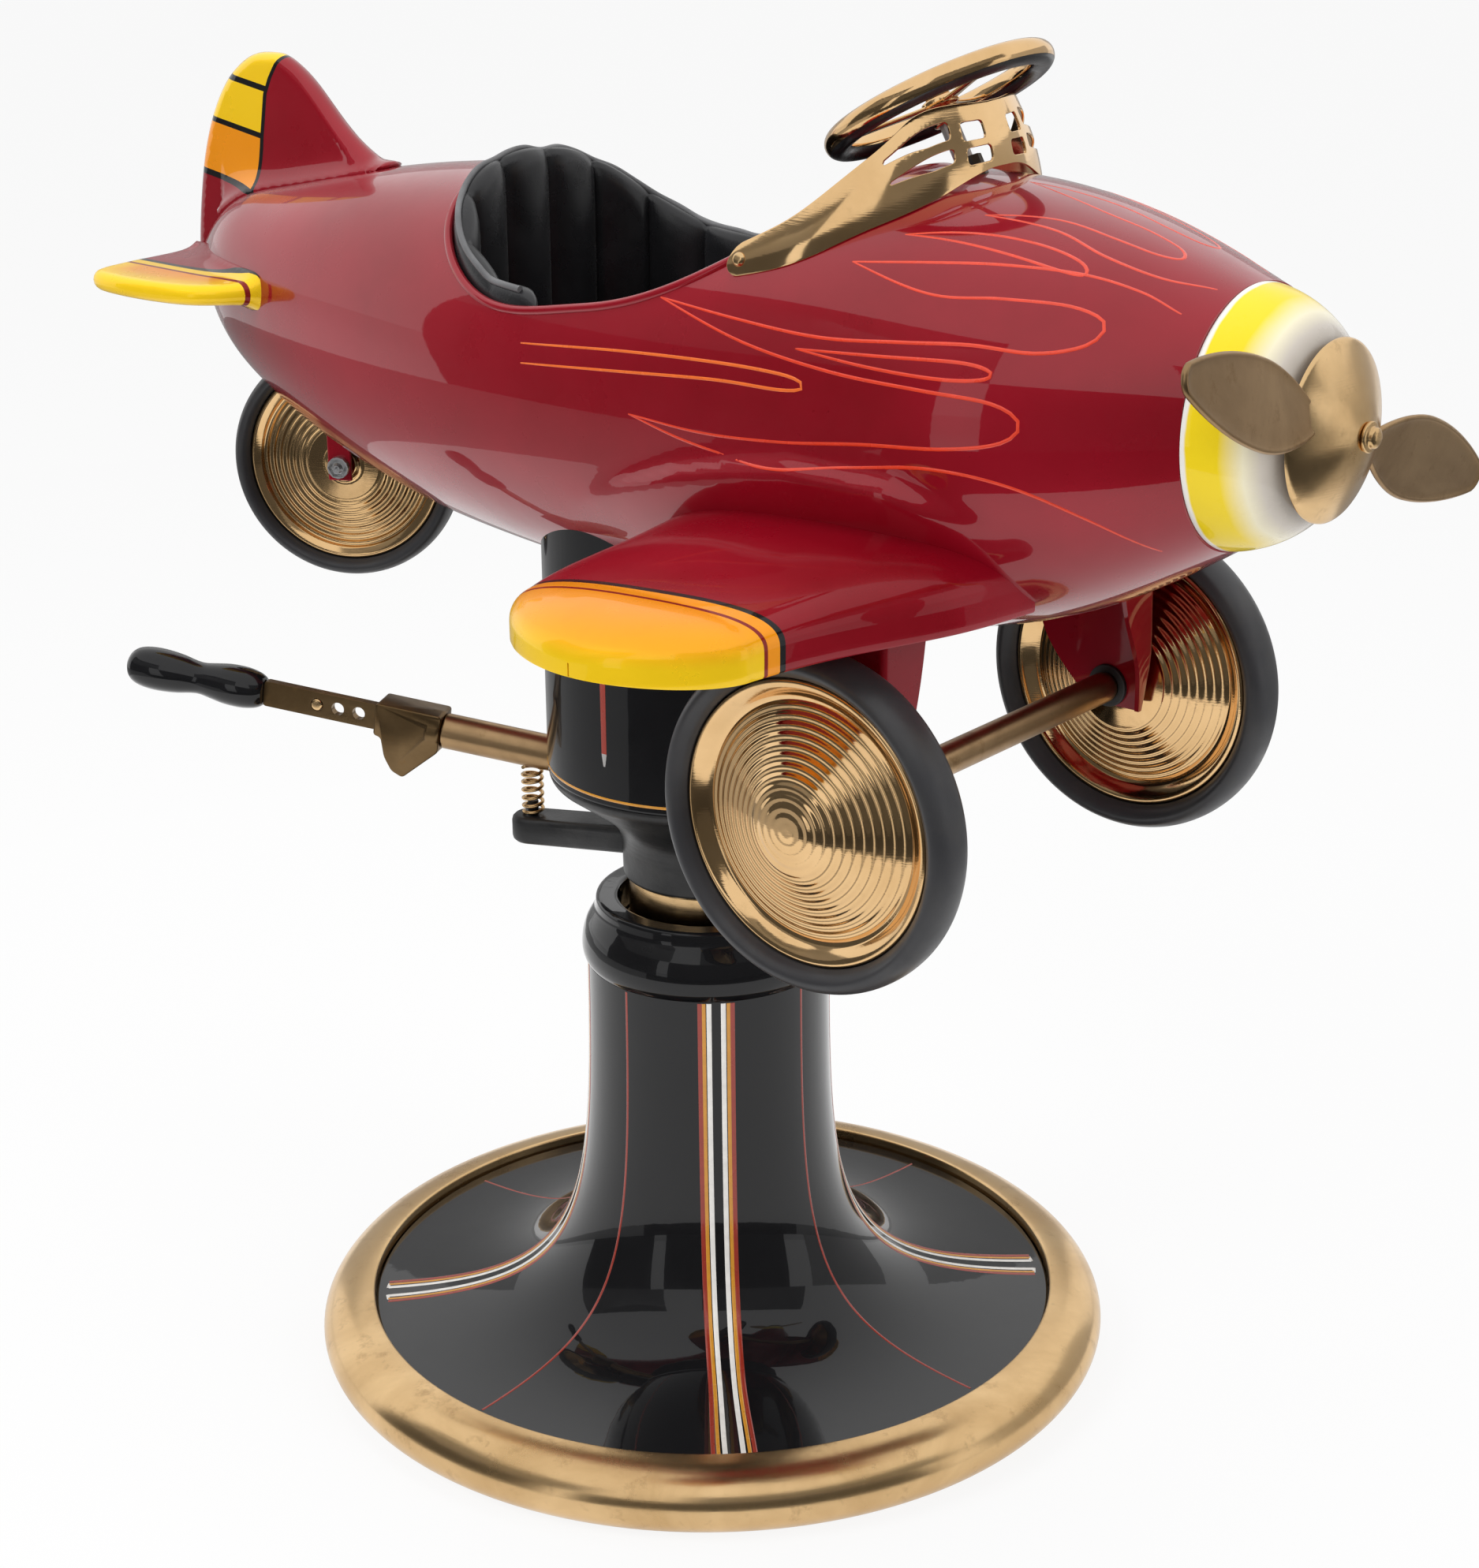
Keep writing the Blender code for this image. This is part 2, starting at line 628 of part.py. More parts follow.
def make_swivel():
    """The turning casting with its spring lug, the lever's pin, the drum and the saddle."""
    bore = bored(SPIGOT_RADIUS, FINE)
    profile = [(bore, NECK_FOOT), (NECK_RADIUS, NECK_FOOT), (NECK_RADIUS + 0.0015, CONE_FOOT),
               (DRUM_RADIUS - 0.001, CASTING_TOP - DRUM_FLANGE), (DRUM_RADIUS, CASTING_TOP),
               (bore, CASTING_TOP)]
    casting = turned("swivel_casting", profile, FINE, ENAMEL)

    tip = [(LUG_REACH - LUG_HALF_WIDTH + LUG_HALF_WIDTH * math.cos(a), LUG_HALF_WIDTH * math.sin(a))
           for a in [math.radians(30 * k - 90) for k in range(7)]]
    inner = NECK_RADIUS - 0.012
    outline = [(inner, -LUG_HALF_WIDTH)] + tip + [(inner, LUG_HALF_WIDTH)]
    lug = loft("lug", [[(x, y, z) for x, y in outline] for z in (LUG_TOP - LUG_THICKNESS, LUG_TOP)],
               ENAMEL)
    combine(casting, out_place(lug), "UNION")
    stud_foot = LUG_TOP - 0.5 * LUG_THICKNESS
    stud_top = LUG_TOP + SPRING_STUD_HEIGHT
    profile = [(0, stud_foot), (SPRING_STUD_RADIUS, stud_foot), (SPRING_STUD_RADIUS, stud_top),
               (0, stud_top)]
    stud = turned("stud", profile, SMALL, ENAMEL)
    stud.data.transform(Matrix.Translation((SPRING_OUT, 0, 0)))
    combine(casting, out_place(stud), "UNION")

    inside = LEVER_PIVOT_OUT - LEVER_EYE_RADIUS - 0.004
    notch_low = LEVER_PIVOT_Z - LEVER_EYE_RADIUS - 0.030
    notch = block("notch", (inside, -NOTCH_HALF_WIDTH, notch_low),
                  (DRUM_RADIUS + 0.02, NOTCH_HALF_WIDTH, CASTING_TOP + 0.01), ENAMEL)
    combine(casting, out_place(notch), "DIFFERENCE")
    pin_half = NOTCH_HALF_WIDTH + 0.012
    hole = bored(LEVER_PIN_RADIUS, SMALL)
    drill = turned("drill", [(0, -pin_half - FIT), (hole, -pin_half - FIT), (hole, pin_half + FIT),
                             (0, pin_half + FIT)], SMALL, ENAMEL)
    drill.data.transform(Matrix.Rotation(math.radians(90), 4, "X"))
    drill.data.transform(Matrix.Translation((LEVER_PIVOT_OUT, 0, LEVER_PIVOT_Z)))
    combine(casting, out_place(drill), "DIFFERENCE")
    pin = turned("lever_pin", [(0, -pin_half), (LEVER_PIN_RADIUS, -pin_half),
                               (LEVER_PIN_RADIUS, pin_half),
                               (0, pin_half)], SMALL, STEEL)
    pin.data.transform(Matrix.Rotation(math.radians(90), 4, "X"))
    pin.data.transform(Matrix.Translation((LEVER_PIVOT_OUT, 0, LEVER_PIVOT_Z)))
    out_place(pin)

    top = BELLY_Z + DRUM_BLANK_RISE
    wall = DRUM_RADIUS - DRUM_WALL
    drum = turned("drum_shell", [(wall, DRUM_FOOT), (DRUM_RADIUS, DRUM_FOOT), (DRUM_RADIUS, top),
                                 (wall, top)],
                  FINE, ENAMEL)
    slot = block("slot", (LEVER_PIVOT_OUT, -NOTCH_HALF_WIDTH, DRUM_FOOT - 0.01),
                 (DRUM_RADIUS + 0.02, NOTCH_HALF_WIDTH, DRUM_FOOT + NOTCH_RISE), ENAMEL)
    combine(drum, out_place(slot), "DIFFERENCE")
    combine(drum, skin_cutter(), "DIFFERENCE")

    low = CASTING_TOP + FIT
    plate_low = BELLY_Z - SADDLE_DROP
    inner = COLUMN_RADIUS - COLUMN_WALL
    turned("support_column", [(inner, low), (COLUMN_RADIUS, low), (COLUMN_RADIUS, plate_low - FIT),
                              (inner, plate_low - FIT)], MEDIUM, STEEL)
    half = (0.5 * SADDLE_LENGTH, 0.5 * SADDLE_WIDTH)
    saddle = block("saddle", (-half[0], -half[1], plate_low),
                   (half[0], half[1], BELLY_Z + 3 * SADDLE_THICKNESS), IRON)
    combine(saddle, skin_cutter(), "DIFFERENCE")


def make_spring():
    """The lever's return spring: one wire with straight ends, square to its seats."""
    low = LUG_TOP + FIT
    end_out = SPRING_OUT + SPRING_COIL_RADIUS
    high = lever_underside(end_out) - FIT
    points = [(end_out, 0.0, low)]
    per_turn = 9
    first = low + SPRING_WIRE
    last = high - SPRING_WIRE
    for i in range(SPRING_TURNS * per_turn + 1):
        angle = 2 * math.pi * i / per_turn
        height = first + (last - first) * i / (SPRING_TURNS * per_turn)
        points.append((SPRING_OUT + SPRING_COIL_RADIUS * math.cos(angle),
                       SPRING_COIL_RADIUS * math.sin(angle), height))
    points.append((end_out, 0.0, high))
    curve = bpy.data.curves.new("lever_spring", "CURVE")
    curve.dimensions = "3D"
    curve.bevel_depth = 0.5 * SPRING_WIRE
    curve.bevel_resolution = 1
    curve.use_fill_caps = True
    line = curve.splines.new("POLY")
    line.points.add(len(points) - 1)
    for point, place_at in zip(line.points, points):
        point.co = (*place_at, 1.0)
    curve.materials.append(BRASS)
    spring = bpy.data.objects.new("lever_spring", curve)
    bpy.context.scene.collection.objects.link(spring)
    out_place(spring)
    coords = np.array(points)
    apart = np.linalg.norm(coords[:, None] - coords[None], axis=2)
    far = np.abs(np.subtract.outer(np.arange(len(coords)), np.arange(len(coords)))) > per_turn // 2
    print("lever_spring least gap to itself: %.2f mm" % (1000 * (apart[far].min() - SPRING_WIRE)))


def make_lever():
    """The pump lever: tube with its eye, yoke, flat bar with holes, and handle."""
    tube_end = LEVER_TUBE_LENGTH
    tube = turned("lever_arm", [(0, 0.010), (LEVER_TUBE_RADIUS, 0.010), (LEVER_TUBE_RADIUS, tube_end),
                                (0, tube_end)],
                  SMALL, BRASS)
    tube.data.transform(Matrix.Rotation(math.radians(90), 4, "Y"))
    half = NOTCH_HALF_WIDTH - 2 * RUN
    eye = turned("eye", [(0, -half), (LEVER_EYE_RADIUS, -half), (LEVER_EYE_RADIUS, half), (0, half)],
                 SMALL, BRASS)
    eye.data.transform(Matrix.Rotation(math.radians(90), 4, "X"))
    combine(tube, eye, "UNION")
    hole = bored(LEVER_PIN_RADIUS, SMALL)
    drill = turned("drill", [(0, -half - 0.01), (hole, -half - 0.01), (hole, half + 0.01),
                             (0, half + 0.01)], SMALL, BRASS)
    drill.data.transform(Matrix.Rotation(math.radians(90), 4, "X"))
    combine(tube, drill, "DIFFERENCE")
    lever_place(tube)

    start = tube_end + FIT
    end = start + YOKE_LENGTH
    side = [(start, -YOKE_HALF_HEIGHT), (start + 0.3 * YOKE_LENGTH, -YOKE_HALF_HEIGHT),
            (start + 0.45 * YOKE_LENGTH, -YOKE_HOOK_DROP), (start + 0.62 * YOKE_LENGTH, -YOKE_HOOK_DROP),
            (end, -0.7 * YOKE_HALF_HEIGHT), (end, YOKE_HALF_HEIGHT), (start, YOKE_HALF_HEIGHT)]
    yoke = loft("lever_yoke", [[(x, y, z) for x, z in side] for y in (-YOKE_HALF_WIDTH,
                                                                      YOKE_HALF_WIDTH)], BRASS)
    lever_place(yoke)

    start = end + FIT
    end = start + BAR_LENGTH
    bar = block("lever_bar", (start, -0.5 * BAR_THICKNESS, -0.5 * BAR_HEIGHT),
                (end, 0.5 * BAR_THICKNESS, 0.5 * BAR_HEIGHT), BRASS)
    for k in range(3):
        drill = turned("drill", [(0, -0.02), (BAR_HOLE_RADIUS, -0.02), (BAR_HOLE_RADIUS, 0.02),
                                 (0, 0.02)], 12, BRASS)
        drill.data.transform(Matrix.Rotation(math.radians(90), 4, "X"))
        drill.data.transform(Matrix.Translation((start + 0.17 * BAR_LENGTH + k * BAR_HOLE_PITCH, 0, 0)))
        combine(bar, drill, "DIFFERENCE")
    lever_place(bar)

    start = end + FIT
    shares = ((0.0, 0.70), (0.06, 0.86), (0.20, 0.97), (0.32, 0.93),
              (0.46, HANDLE_WAIST / HANDLE_RADIUS),
              (0.62, 0.92), (0.80, 1.0), (0.92, 0.88), (1.0, 0.45))
    profile = [(0, start)] + [(HANDLE_RADIUS * r, start + HANDLE_LENGTH * t) for t, r in shares]
    profile += [(0, start + HANDLE_LENGTH)]
    handle = turned("lever_handle", profile, SMALL, RUBBER)
    handle.data.transform(Matrix.Rotation(math.radians(90), 4, "Y"))
    lever_place(handle)


def make_fuselage():
    """Upper and lower pressings, with the cockpit's mouth and the belly opening."""
    def half_shell(name, low, high):
        shell = fuselage_solid(name, 0.0, TAIL_X, NOSE_X)
        hollow = fuselage_solid("hollow", -SKIN, TAIL_X + SKIN, NOSE_X + SKIN)
        combine(shell, hollow, "DIFFERENCE")
        keep = block("keep", (TAIL_X - 0.1, -1.0, low), (NOSE_X + 0.1, 1.0, high), MAROON)
        return combine(shell, keep, "INTERSECT")

    upper = half_shell("fuselage_upper", SEAM_Z + 0.5 * FIT, SEAM_Z + 1.0)
    outline = [cockpit_point(2 * math.pi * i / 40, 0.0) for i in range(40)]
    mouth = loft("mouth", [[(x, y, z) for x, y in outline] for z in (SEAM_Z + 0.01, SEAM_Z + 0.5)],
                 MAROON)
    combine(upper, mouth, "DIFFERENCE")
    combine(upper, column_hole(), "DIFFERENCE")

    lower = half_shell("fuselage_lower", SEAM_Z - 1.0, SEAM_Z - 0.5 * FIT)
    stations = np.linspace(BELLY_OPEN_AFT, BELLY_OPEN_FRONT, 9)
    side = []
    for i, x in enumerate(stations):
        ends = math.sqrt(max(0.0, 1 - (abs(i - 4) / 4) ** 6))
        side.append((x, (0.35 + 0.65 * ends) * BELLY_OPEN_SHARE * lines_at(x)[2]))
    outline = side + [(x, -y) for x, y in reversed(side)]
    opening = loft("opening", [[(x, y, z) for x, y in outline] for z in (BELLY_Z - 0.1, BELLY_Z + 0.16)],
                   MAROON)
    combine(lower, opening, "DIFFERENCE")


def column_axis():
    """Direction of the steering column, upwards."""
    tilt = math.radians(STEERING_TILT)
    return Vector((-math.sin(tilt), 0.0, math.cos(tilt)))


def steering_place(obj):
    """Put a piece that is modelled round Z at the steering wheel's centre."""
    return place(obj, (WHEEL_CENTRE_X, 0, WHEEL_CENTRE_Z), (0, -STEERING_TILT, 0))


def column_bush_depth():
    """Distance down the column from the wheel's centre to the cowl's skin."""
    axis = column_axis()
    depth = 0.0
    while WHEEL_CENTRE_Z - depth * axis.z > skin_top(WHEEL_CENTRE_X - depth * axis.x, 0.0):
        depth += 0.0005
    return depth


def column_hole():
    """The hole in the cowl that the column's bush sits in."""
    depth = column_bush_depth()
    radius = bored(STEERING_SHAFT_RADIUS, SMALL) + COLUMN_BUSH_WALL + FIT
    low = -depth - 0.03
    high = -depth + 0.03
    return steering_place(turned("hole", [(0, low), (radius, low), (radius, high), (0, high)], SMALL,
                                 MAROON))


def make_steering():
    """Steering wheel with its grip, the column and the bush in the cowl."""
    def tube_point(degrees, radius):
        angle = math.radians(degrees)
        return (STEERING_RADIUS + radius * math.cos(angle), radius * math.sin(angle))

    groove = STEERING_TUBE - GRIP_DEPTH
    span = 360.0 - (GRIP_END - GRIP_START)
    outer = [tube_point(GRIP_END - 360.0 + span * k / 8, STEERING_TUBE) for k in range(9)]
    inner = [tube_point(GRIP_START + (GRIP_END - GRIP_START) * k / 2, groove) for k in range(3)]
    wheel = turned("steering_wheel", outer + inner, MEDIUM, BRASS)
    hub_top = -STEERING_DISH
    hub_low = hub_top - STEERING_HUB_THICKNESS
    hub = turned("hub", [(0, hub_low), (STEERING_HUB_RADIUS, hub_low), (STEERING_HUB_RADIUS, hub_top),
                         (0, hub_top)],
                 SMALL, BRASS)
    combine(wheel, hub, "UNION")
    for k in range(SPOKE_COUNT):
        inside = 0.5 * STEERING_HUB_RADIUS
        outside = STEERING_RADIUS - 0.4 * STEERING_TUBE
        low = 0.5 * (hub_low + hub_top)
        ring = [(-SPOKE_HALF_WIDTH, 0), (SPOKE_HALF_WIDTH, 0), (SPOKE_HALF_WIDTH, SPOKE_THICKNESS),
                (-SPOKE_HALF_WIDTH, SPOKE_THICKNESS)]
        heights = ((inside, low - 0.5 * SPOKE_THICKNESS), (outside, 0.1 * STEERING_TUBE))
        spoke = loft("spoke", [[(x, y, z + up) for y, up in ring] for x, z in heights], BRASS)
        spoke.rotation_euler.z = 2 * math.pi * k / SPOKE_COUNT
        combine(wheel, spoke, "UNION")
    shaft_seat = STEERING_SHAFT_RADIUS + FIT
    drill = turned("drill", [(0, hub_low - 0.01), (shaft_seat, hub_low - 0.01),
                             (shaft_seat, hub_top - 0.002),
                             (0, hub_top - 0.002)], SMALL, BRASS)
    combine(wheel, drill, "DIFFERENCE")
    steering_place(wheel)

    outer = [tube_point(GRIP_START + 3 + (GRIP_END - GRIP_START - 6) * k / 4,
                        STEERING_TUBE) for k in range(5)]
    inner = [tube_point(GRIP_END - 3 - (GRIP_END - GRIP_START - 6) * k / 3,
                        groove + FIT) for k in range(4)]
    steering_place(turned("steering_grip", outer + inner, MEDIUM, RUBBER))

    top = hub_top - 0.002 - FIT
    low = top - STEERING_SHAFT_LENGTH
    column = turned("steering_column", [(0, low), (STEERING_SHAFT_RADIUS, low),
                                        (STEERING_SHAFT_RADIUS, top), (0, top)],
                    SMALL, STEEL)
    steering_place(column)

    depth = column_bush_depth()
    bore = bored(STEERING_SHAFT_RADIUS, SMALL)
    low = -depth - 0.5 * COLUMN_BUSH_LENGTH
    high = -depth + 0.5 * COLUMN_BUSH_LENGTH
    wall = bore + COLUMN_BUSH_WALL
    steering_place(turned("column_bush", [(bore, low), (wall, low), (wall, high), (bore, high)], SMALL,
                          RUBBER))


def make_seat():
    """Seat pan, cushion and the channelled pad that wraps round the cockpit's back."""
    top = BELLY_Z + PAN_HEIGHT
    pan = block("seat_pan", (PAN_AFT, -0.3, top - PAN_THICKNESS), (PAN_FRONT, 0.3, top), STEEL)
    combine(pan, skin_inside(), "INTERSECT")

    foot = top + FIT
    count = 28
    shares = ((0.90, 0.0), (0.985, 0.22), (1.0, 0.50), (0.975, 0.78), (0.90, 0.94))
    rings = []
    for share, level in shares:
        rings.append([cushion_point(2 * math.pi * i / count, share,
                                    foot + CUSHION_DEPTH * level) for i in range(count)])
    for share, crown in ((0.66, 0.55), (0.30, 0.92)):
        height = foot + CUSHION_DEPTH + CUSHION_CROWN * crown
        rings.append([cushion_point(2 * math.pi * i / count, share, height) for i in range(count)])
    loft("seat_cushion", rings, LEATHER)

    around = [cockpit_point(2 * math.pi * i / 400, PAD_GAP) for i in range(401)]
    left = [p for p in around[:200] if p.x < PAD_LEFT_END]
    right = [p for p in around[201:] if p.x < PAD_RIGHT_END]
    per_channel = 4
    line = resampled([tuple(p) for p in left + right], PAD_CHANNELS * per_channel + 1)
    tangents = np.gradient(line, axis=0)
    rings = []
    for i, (x, y) in enumerate(line):
        tangent = tangents[i] / np.linalg.norm(tangents[i])
        inward = (-tangent[1], tangent[0])
        swell = abs(math.sin(math.pi * i / per_channel)) ** 0.7
        thick = PAD_SEAM_THICKNESS + (PAD_THICKNESS - PAD_SEAM_THICKNESS) * swell
        back = min(1.0, max(0.0, (PAD_RIGHT_END + 0.03 - x) / (PAD_RIGHT_END + 0.03 - COCKPIT_AFT)))
        back = back * back * (3 - 2 * back)
        crest = skin_top(x, y) + PAD_RISE_SIDE + (PAD_RISE_BACK - PAD_RISE_SIDE) * back
        inner = (x + inward[0] * thick, y + inward[1] * thick)
        outer_foot = max(foot, skin_low(x, y, SKIN + FACET_ROOM))
        inner_foot = max(foot, skin_low(*inner, SKIN + FACET_ROOM))
        section = ((0.0, outer_foot), (thick, inner_foot), (thick, 0.5 * (foot + crest)),
                   (0.93 * thick, crest - 0.014),
                   (0.70 * thick, crest - 0.003), (0.42 * thick, crest), (0.10 * thick, crest - 0.004))
        rings.append([(x + inward[0] * d, y + inward[1] * d, z) for d, z in section])
    loft("seat_back_pad", rings, LEATHER)


def cushion_point(angle, share, height):
    """A point of the seat cushion's outline, drawn in between its corners."""
    squareness = 4.5
    drawn = 1 - 0.03 * math.cos(2 * angle) ** 2
    x = CUSHION_CENTRE + CUSHION_HALF_LENGTH * share * drawn * power(math.cos(angle), 2 / squareness)
    y = CUSHION_HALF_WIDTH * share * drawn * power(math.sin(angle), 2 / squareness)
    return (x, y, height)


def along_nose(obj):
    """Turn a piece modelled round Z so that its axis is the propeller's."""
    return place(obj, (0, 0, NOSE_AXIS_Z), (0, 90, 0))


def make_nose():
    """Nose cap, its bush, and the propeller with its shaft."""
    foot = NOSE_X + FIT
    outer = bezier((NOSE_RADIUS, foot), (NOSE_RADIUS - 0.003, foot + 0.40 * CAP_LENGTH),
                   (0.5 * (NOSE_RADIUS + CAP_FACE_RADIUS), CAP_FACE_X - 0.10 * CAP_LENGTH),
                   (CAP_FACE_RADIUS, CAP_FACE_X), 6)
    lip = NOSE_RADIUS - SKIN - 2 * FIT
    hole = BUSH_RADIUS + FIT
    profile = [(hole, CAP_FACE_X)] + [tuple(p) for p in reversed(outer)]
    profile += [(lip, foot), (lip, foot - CAP_LIP), (lip - SKIN, foot - CAP_LIP),
                (lip - SKIN, foot + 0.2 * CAP_LENGTH),
                (CAP_FACE_RADIUS - SKIN, CAP_FACE_X - 1.5 * SKIN), (hole, CAP_FACE_X - SKIN)]
    along_nose(turned("nose_cap", profile, MEDIUM, YELLOW))

    bore = bored(SHAFT_RADIUS, SMALL)
    back = CAP_FACE_X - SHAFT_TAIL + NUT_LENGTH + RUN
    face = CAP_FACE_X + FIT
    front = face + BUSH_FLANGE_THICKNESS
    profile = [(bore, back), (BUSH_RADIUS, back), (BUSH_RADIUS, face), (BUSH_FLANGE_RADIUS, face),
               (BUSH_FLANGE_RADIUS, front), (bore, front)]
    along_nose(turned("propeller_bush", profile, SMALL, STEEL))

    seat = SHAFT_RADIUS + FIT
    tip = SPINNER_X + SPINNER_LENGTH
    cone = [(SPINNER_TIP_RADIUS, tip), (SPINNER_TIP_RADIUS + 0.3 * (SPINNER_RADIUS - SPINNER_TIP_RADIUS),
                                        SPINNER_X + 0.80 * SPINNER_LENGTH),
            (SPINNER_TIP_RADIUS + 0.7 * (SPINNER_RADIUS - SPINNER_TIP_RADIUS),
             SPINNER_X + 0.43 * SPINNER_LENGTH),
            (SPINNER_RADIUS - 0.0015, SPINNER_X + 0.12 * SPINNER_LENGTH), (SPINNER_RADIUS, SPINNER_X)]
    under = [(SPINNER_RADIUS - 2 * SPINNER_WALL, SPINNER_X),
             (SPINNER_BOSS, SPINNER_X + 0.75 * SPINNER_LENGTH),
             (SPINNER_BOSS, SPINNER_X), (seat, SPINNER_X)]
    along_nose(turned("spinner", cone + under + [(seat, tip)], MEDIUM, BRASS))

    end = tip + 0.6 * NUT_LENGTH
    tail = CAP_FACE_X - SHAFT_TAIL
    head = back - RUN
    profile = [(0, tail), (BUSH_RADIUS, tail), (BUSH_RADIUS, head), (SHAFT_RADIUS, head),
               (SHAFT_RADIUS, end), (0, end)]
    along_nose(turned("propeller_shaft", profile, SMALL, STEEL))
    foot = tip + FIT
    dome = [(NUT_RADIUS * math.cos(math.radians(a)),
             foot + NUT_LENGTH * (0.45 + 0.55 * math.sin(math.radians(a))))
            for a in (0, 30, 60)]
    profile = [(seat, foot), (NUT_RADIUS, foot)] + dome
    profile += [(0, foot + NUT_LENGTH), (0, end + FIT), (seat, end + FIT)]
    along_nose(turned("propeller_nut", profile, SMALL, BRASS))

    for k in range(BLADE_COUNT):
        make_blade("propeller_blade_%d" % (k + 1), BLADE_ANGLE + 360.0 * k / BLADE_COUNT, cone)


def make_blade(name, angle, cone):
    """One leaf-shaped blade, cut back where it meets the spinner."""
    count = 9
    rings = []
    middle = SPINNER_X + 0.30 * SPINNER_LENGTH
    for i in range(count):
        t = i / (count - 1)
        out = BLADE_ROOT + (BLADE_TIP - BLADE_ROOT) * t
        swell = t / BLADE_WIDEST if t < BLADE_WIDEST else (1 - t) / (1 - BLADE_WIDEST)
        half = BLADE_HALF_WIDTH * (0.25 + 0.75 * math.sin(0.5 * math.pi * min(1.0, swell)) ** 0.8)
        twist = math.radians(BLADE_PITCH)
        ring = []
        for side, thick in ((-1, 0), (-0.8, 0.5), (0.8, 0.5), (1, 0), (0.8, -0.5), (-0.8, -0.5)):
            across = half * side
            deep = BLADE_THICKNESS * thick
            ring.append((middle + across * math.sin(twist) + deep * math.cos(twist), out,
                         across * math.cos(twist) - deep * math.sin(twist)))
        rings.append(ring)
    blade = loft(name, rings, BRASS)
    turn = Matrix.Rotation(math.radians(angle), 4, "X")
    blade.data.transform(turn)
    blade.location = (0, 0, NOSE_AXIS_Z)
    grown = [(r + FIT, x + FIT) for r, x in cone[:-1]] + [(SPINNER_RADIUS + FIT, SPINNER_X - 0.03)]
    cutter = along_nose(turned("cutter", [(0, grown[0][1] + 0.01)] + [(grown[0][0],
                                                                       grown[0][1] + 0.01)] + grown
                               + [(0, SPINNER_X - 0.03)], MEDIUM, BRASS))
    combine(blade, cutter, "DIFFERENCE")


def wing_rings(span_sign, wall):
    """Sections of a wing; a wall above zero gives the hollow under its skin."""
    rings = []
    last = len(WING_PLAN) - 1
    for number, (span, lead, trail, depth) in enumerate(WING_PLAN):
        low = BELLY_Z + WING_HEIGHT - 2 * wall
        edge = WING_EDGE + wall
        front = lead - wall
        back = trail + wall
        reach = span - (wall if number == last else 0.0)
        ring = [(front, low)]
        for k in range(WING_POINTS + 1):
            t = 0.5 - 0.5 * math.cos(math.pi * k / WING_POINTS)
            dome = (1 - abs(2 * t ** 0.85 - 1) ** WING_ROUNDNESS) ** (1 / WING_ROUNDNESS)
            top = BELLY_Z + WING_HEIGHT + WING_EDGE - wall + (depth - WING_EDGE) * dome
            ring.append((front + (back - front) * t, max(top, low + edge)))
        ring.append((back, low))
        rings.append([(x, span_sign * reach, z) for x, z in ring])
    return rings


def wing_top(x, span):
    """Height of a wing's upper skin over a point of its plan."""
    spans = [row[0] for row in WING_PLAN]
    lead, trail, depth = [np.interp(span, spans, [row[k] for row in WING_PLAN]) for k in (1, 2, 3)]
    t = (lead - x) / (lead - trail)
    dome = (1 - abs(2 * t ** 0.85 - 1) ** WING_ROUNDNESS) ** (1 / WING_ROUNDNESS)
    return BELLY_Z + WING_HEIGHT + WING_EDGE + (depth - WING_EDGE) * dome


def make_wings():
    """Right and left wing: pressings that are open below."""
    for name, sign in (("right_wing", -1), ("left_wing", 1)):
        wing = loft(name, wing_rings(sign, 0.0), MAROON)
        combine(wing, loft("hollow", wing_rings(sign, WING_SKIN), MAROON), "DIFFERENCE")
        combine(wing, skin_cutter(), "DIFFERENCE")


def rounded_plate(name, outline, thickness, surface):
    """A plate in local XY with softened edges, about Z zero."""
    centre = sum((Vector(p) for p in outline), Vector((0, 0))) / len(outline)
    size = sum((Vector(p) - centre).length for p in outline) / len(outline)
    shrink = 1 - TAIL_EDGE_INSET / size
    layers = ((-0.5, shrink), (-0.28, 1.0), (0.28, 1.0), (0.5, shrink))
    rings = []
    for level, share in layers:
        points = [centre + share * (Vector(p) - centre) for p in outline]
        rings.append([(p.x, p.y, level * thickness) for p in points])
    return loft(name, rings, surface)


def make_tail():
    """Fin and the two stabilisers, each seated on the skin."""
    fin = rounded_plate("tail_fin", FIN_OUTLINE, FIN_THICKNESS, MAROON)
    fin.data.transform(Matrix.Rotation(math.radians(90), 4, "X"))
    fin.location = (0, 0, BELLY_Z)
    combine(fin, skin_cutter(), "DIFFERENCE")
    root = 0.5 * FIN_THICKNESS + FIT
    for name, sign in (("right_stabiliser", -1), ("left_stabiliser", 1)):
        outline = [(x, sign * max(root, span)) for x, span in STABILISER_OUTLINE]
        plate = rounded_plate(name, outline, STABILISER_THICKNESS, MAROON)
        plate.location = (0, 0, BELLY_Z + STABILISER_HEIGHT)
        combine(plate, skin_cutter(), "DIFFERENCE")
        room = block("room", (TAIL_X - 0.1, -root, BELLY_Z), (TAIL_X + 0.1, root, BELLY_Z + 0.4), MAROON)
        combine(plate, room, "DIFFERENCE")


def windshield_line():
    """Stations along the whole windshield: plan point and height."""
    rows = np.array(WINDSHIELD_LINES)
    steps = np.linalg.norm(np.diff(rows[:, :2], axis=0), axis=1)
    along = np.concatenate(([0.0], np.cumsum(steps)))
    curve = spline(along / along[-1], rows)
    half = [curve(share) for share in WINDSHIELD_STATIONS]
    right = [(x, -y, height) for x, y, height in half]
    left = [(x, y, height) for x, y, height in reversed(half[:-1])]
    return right + left


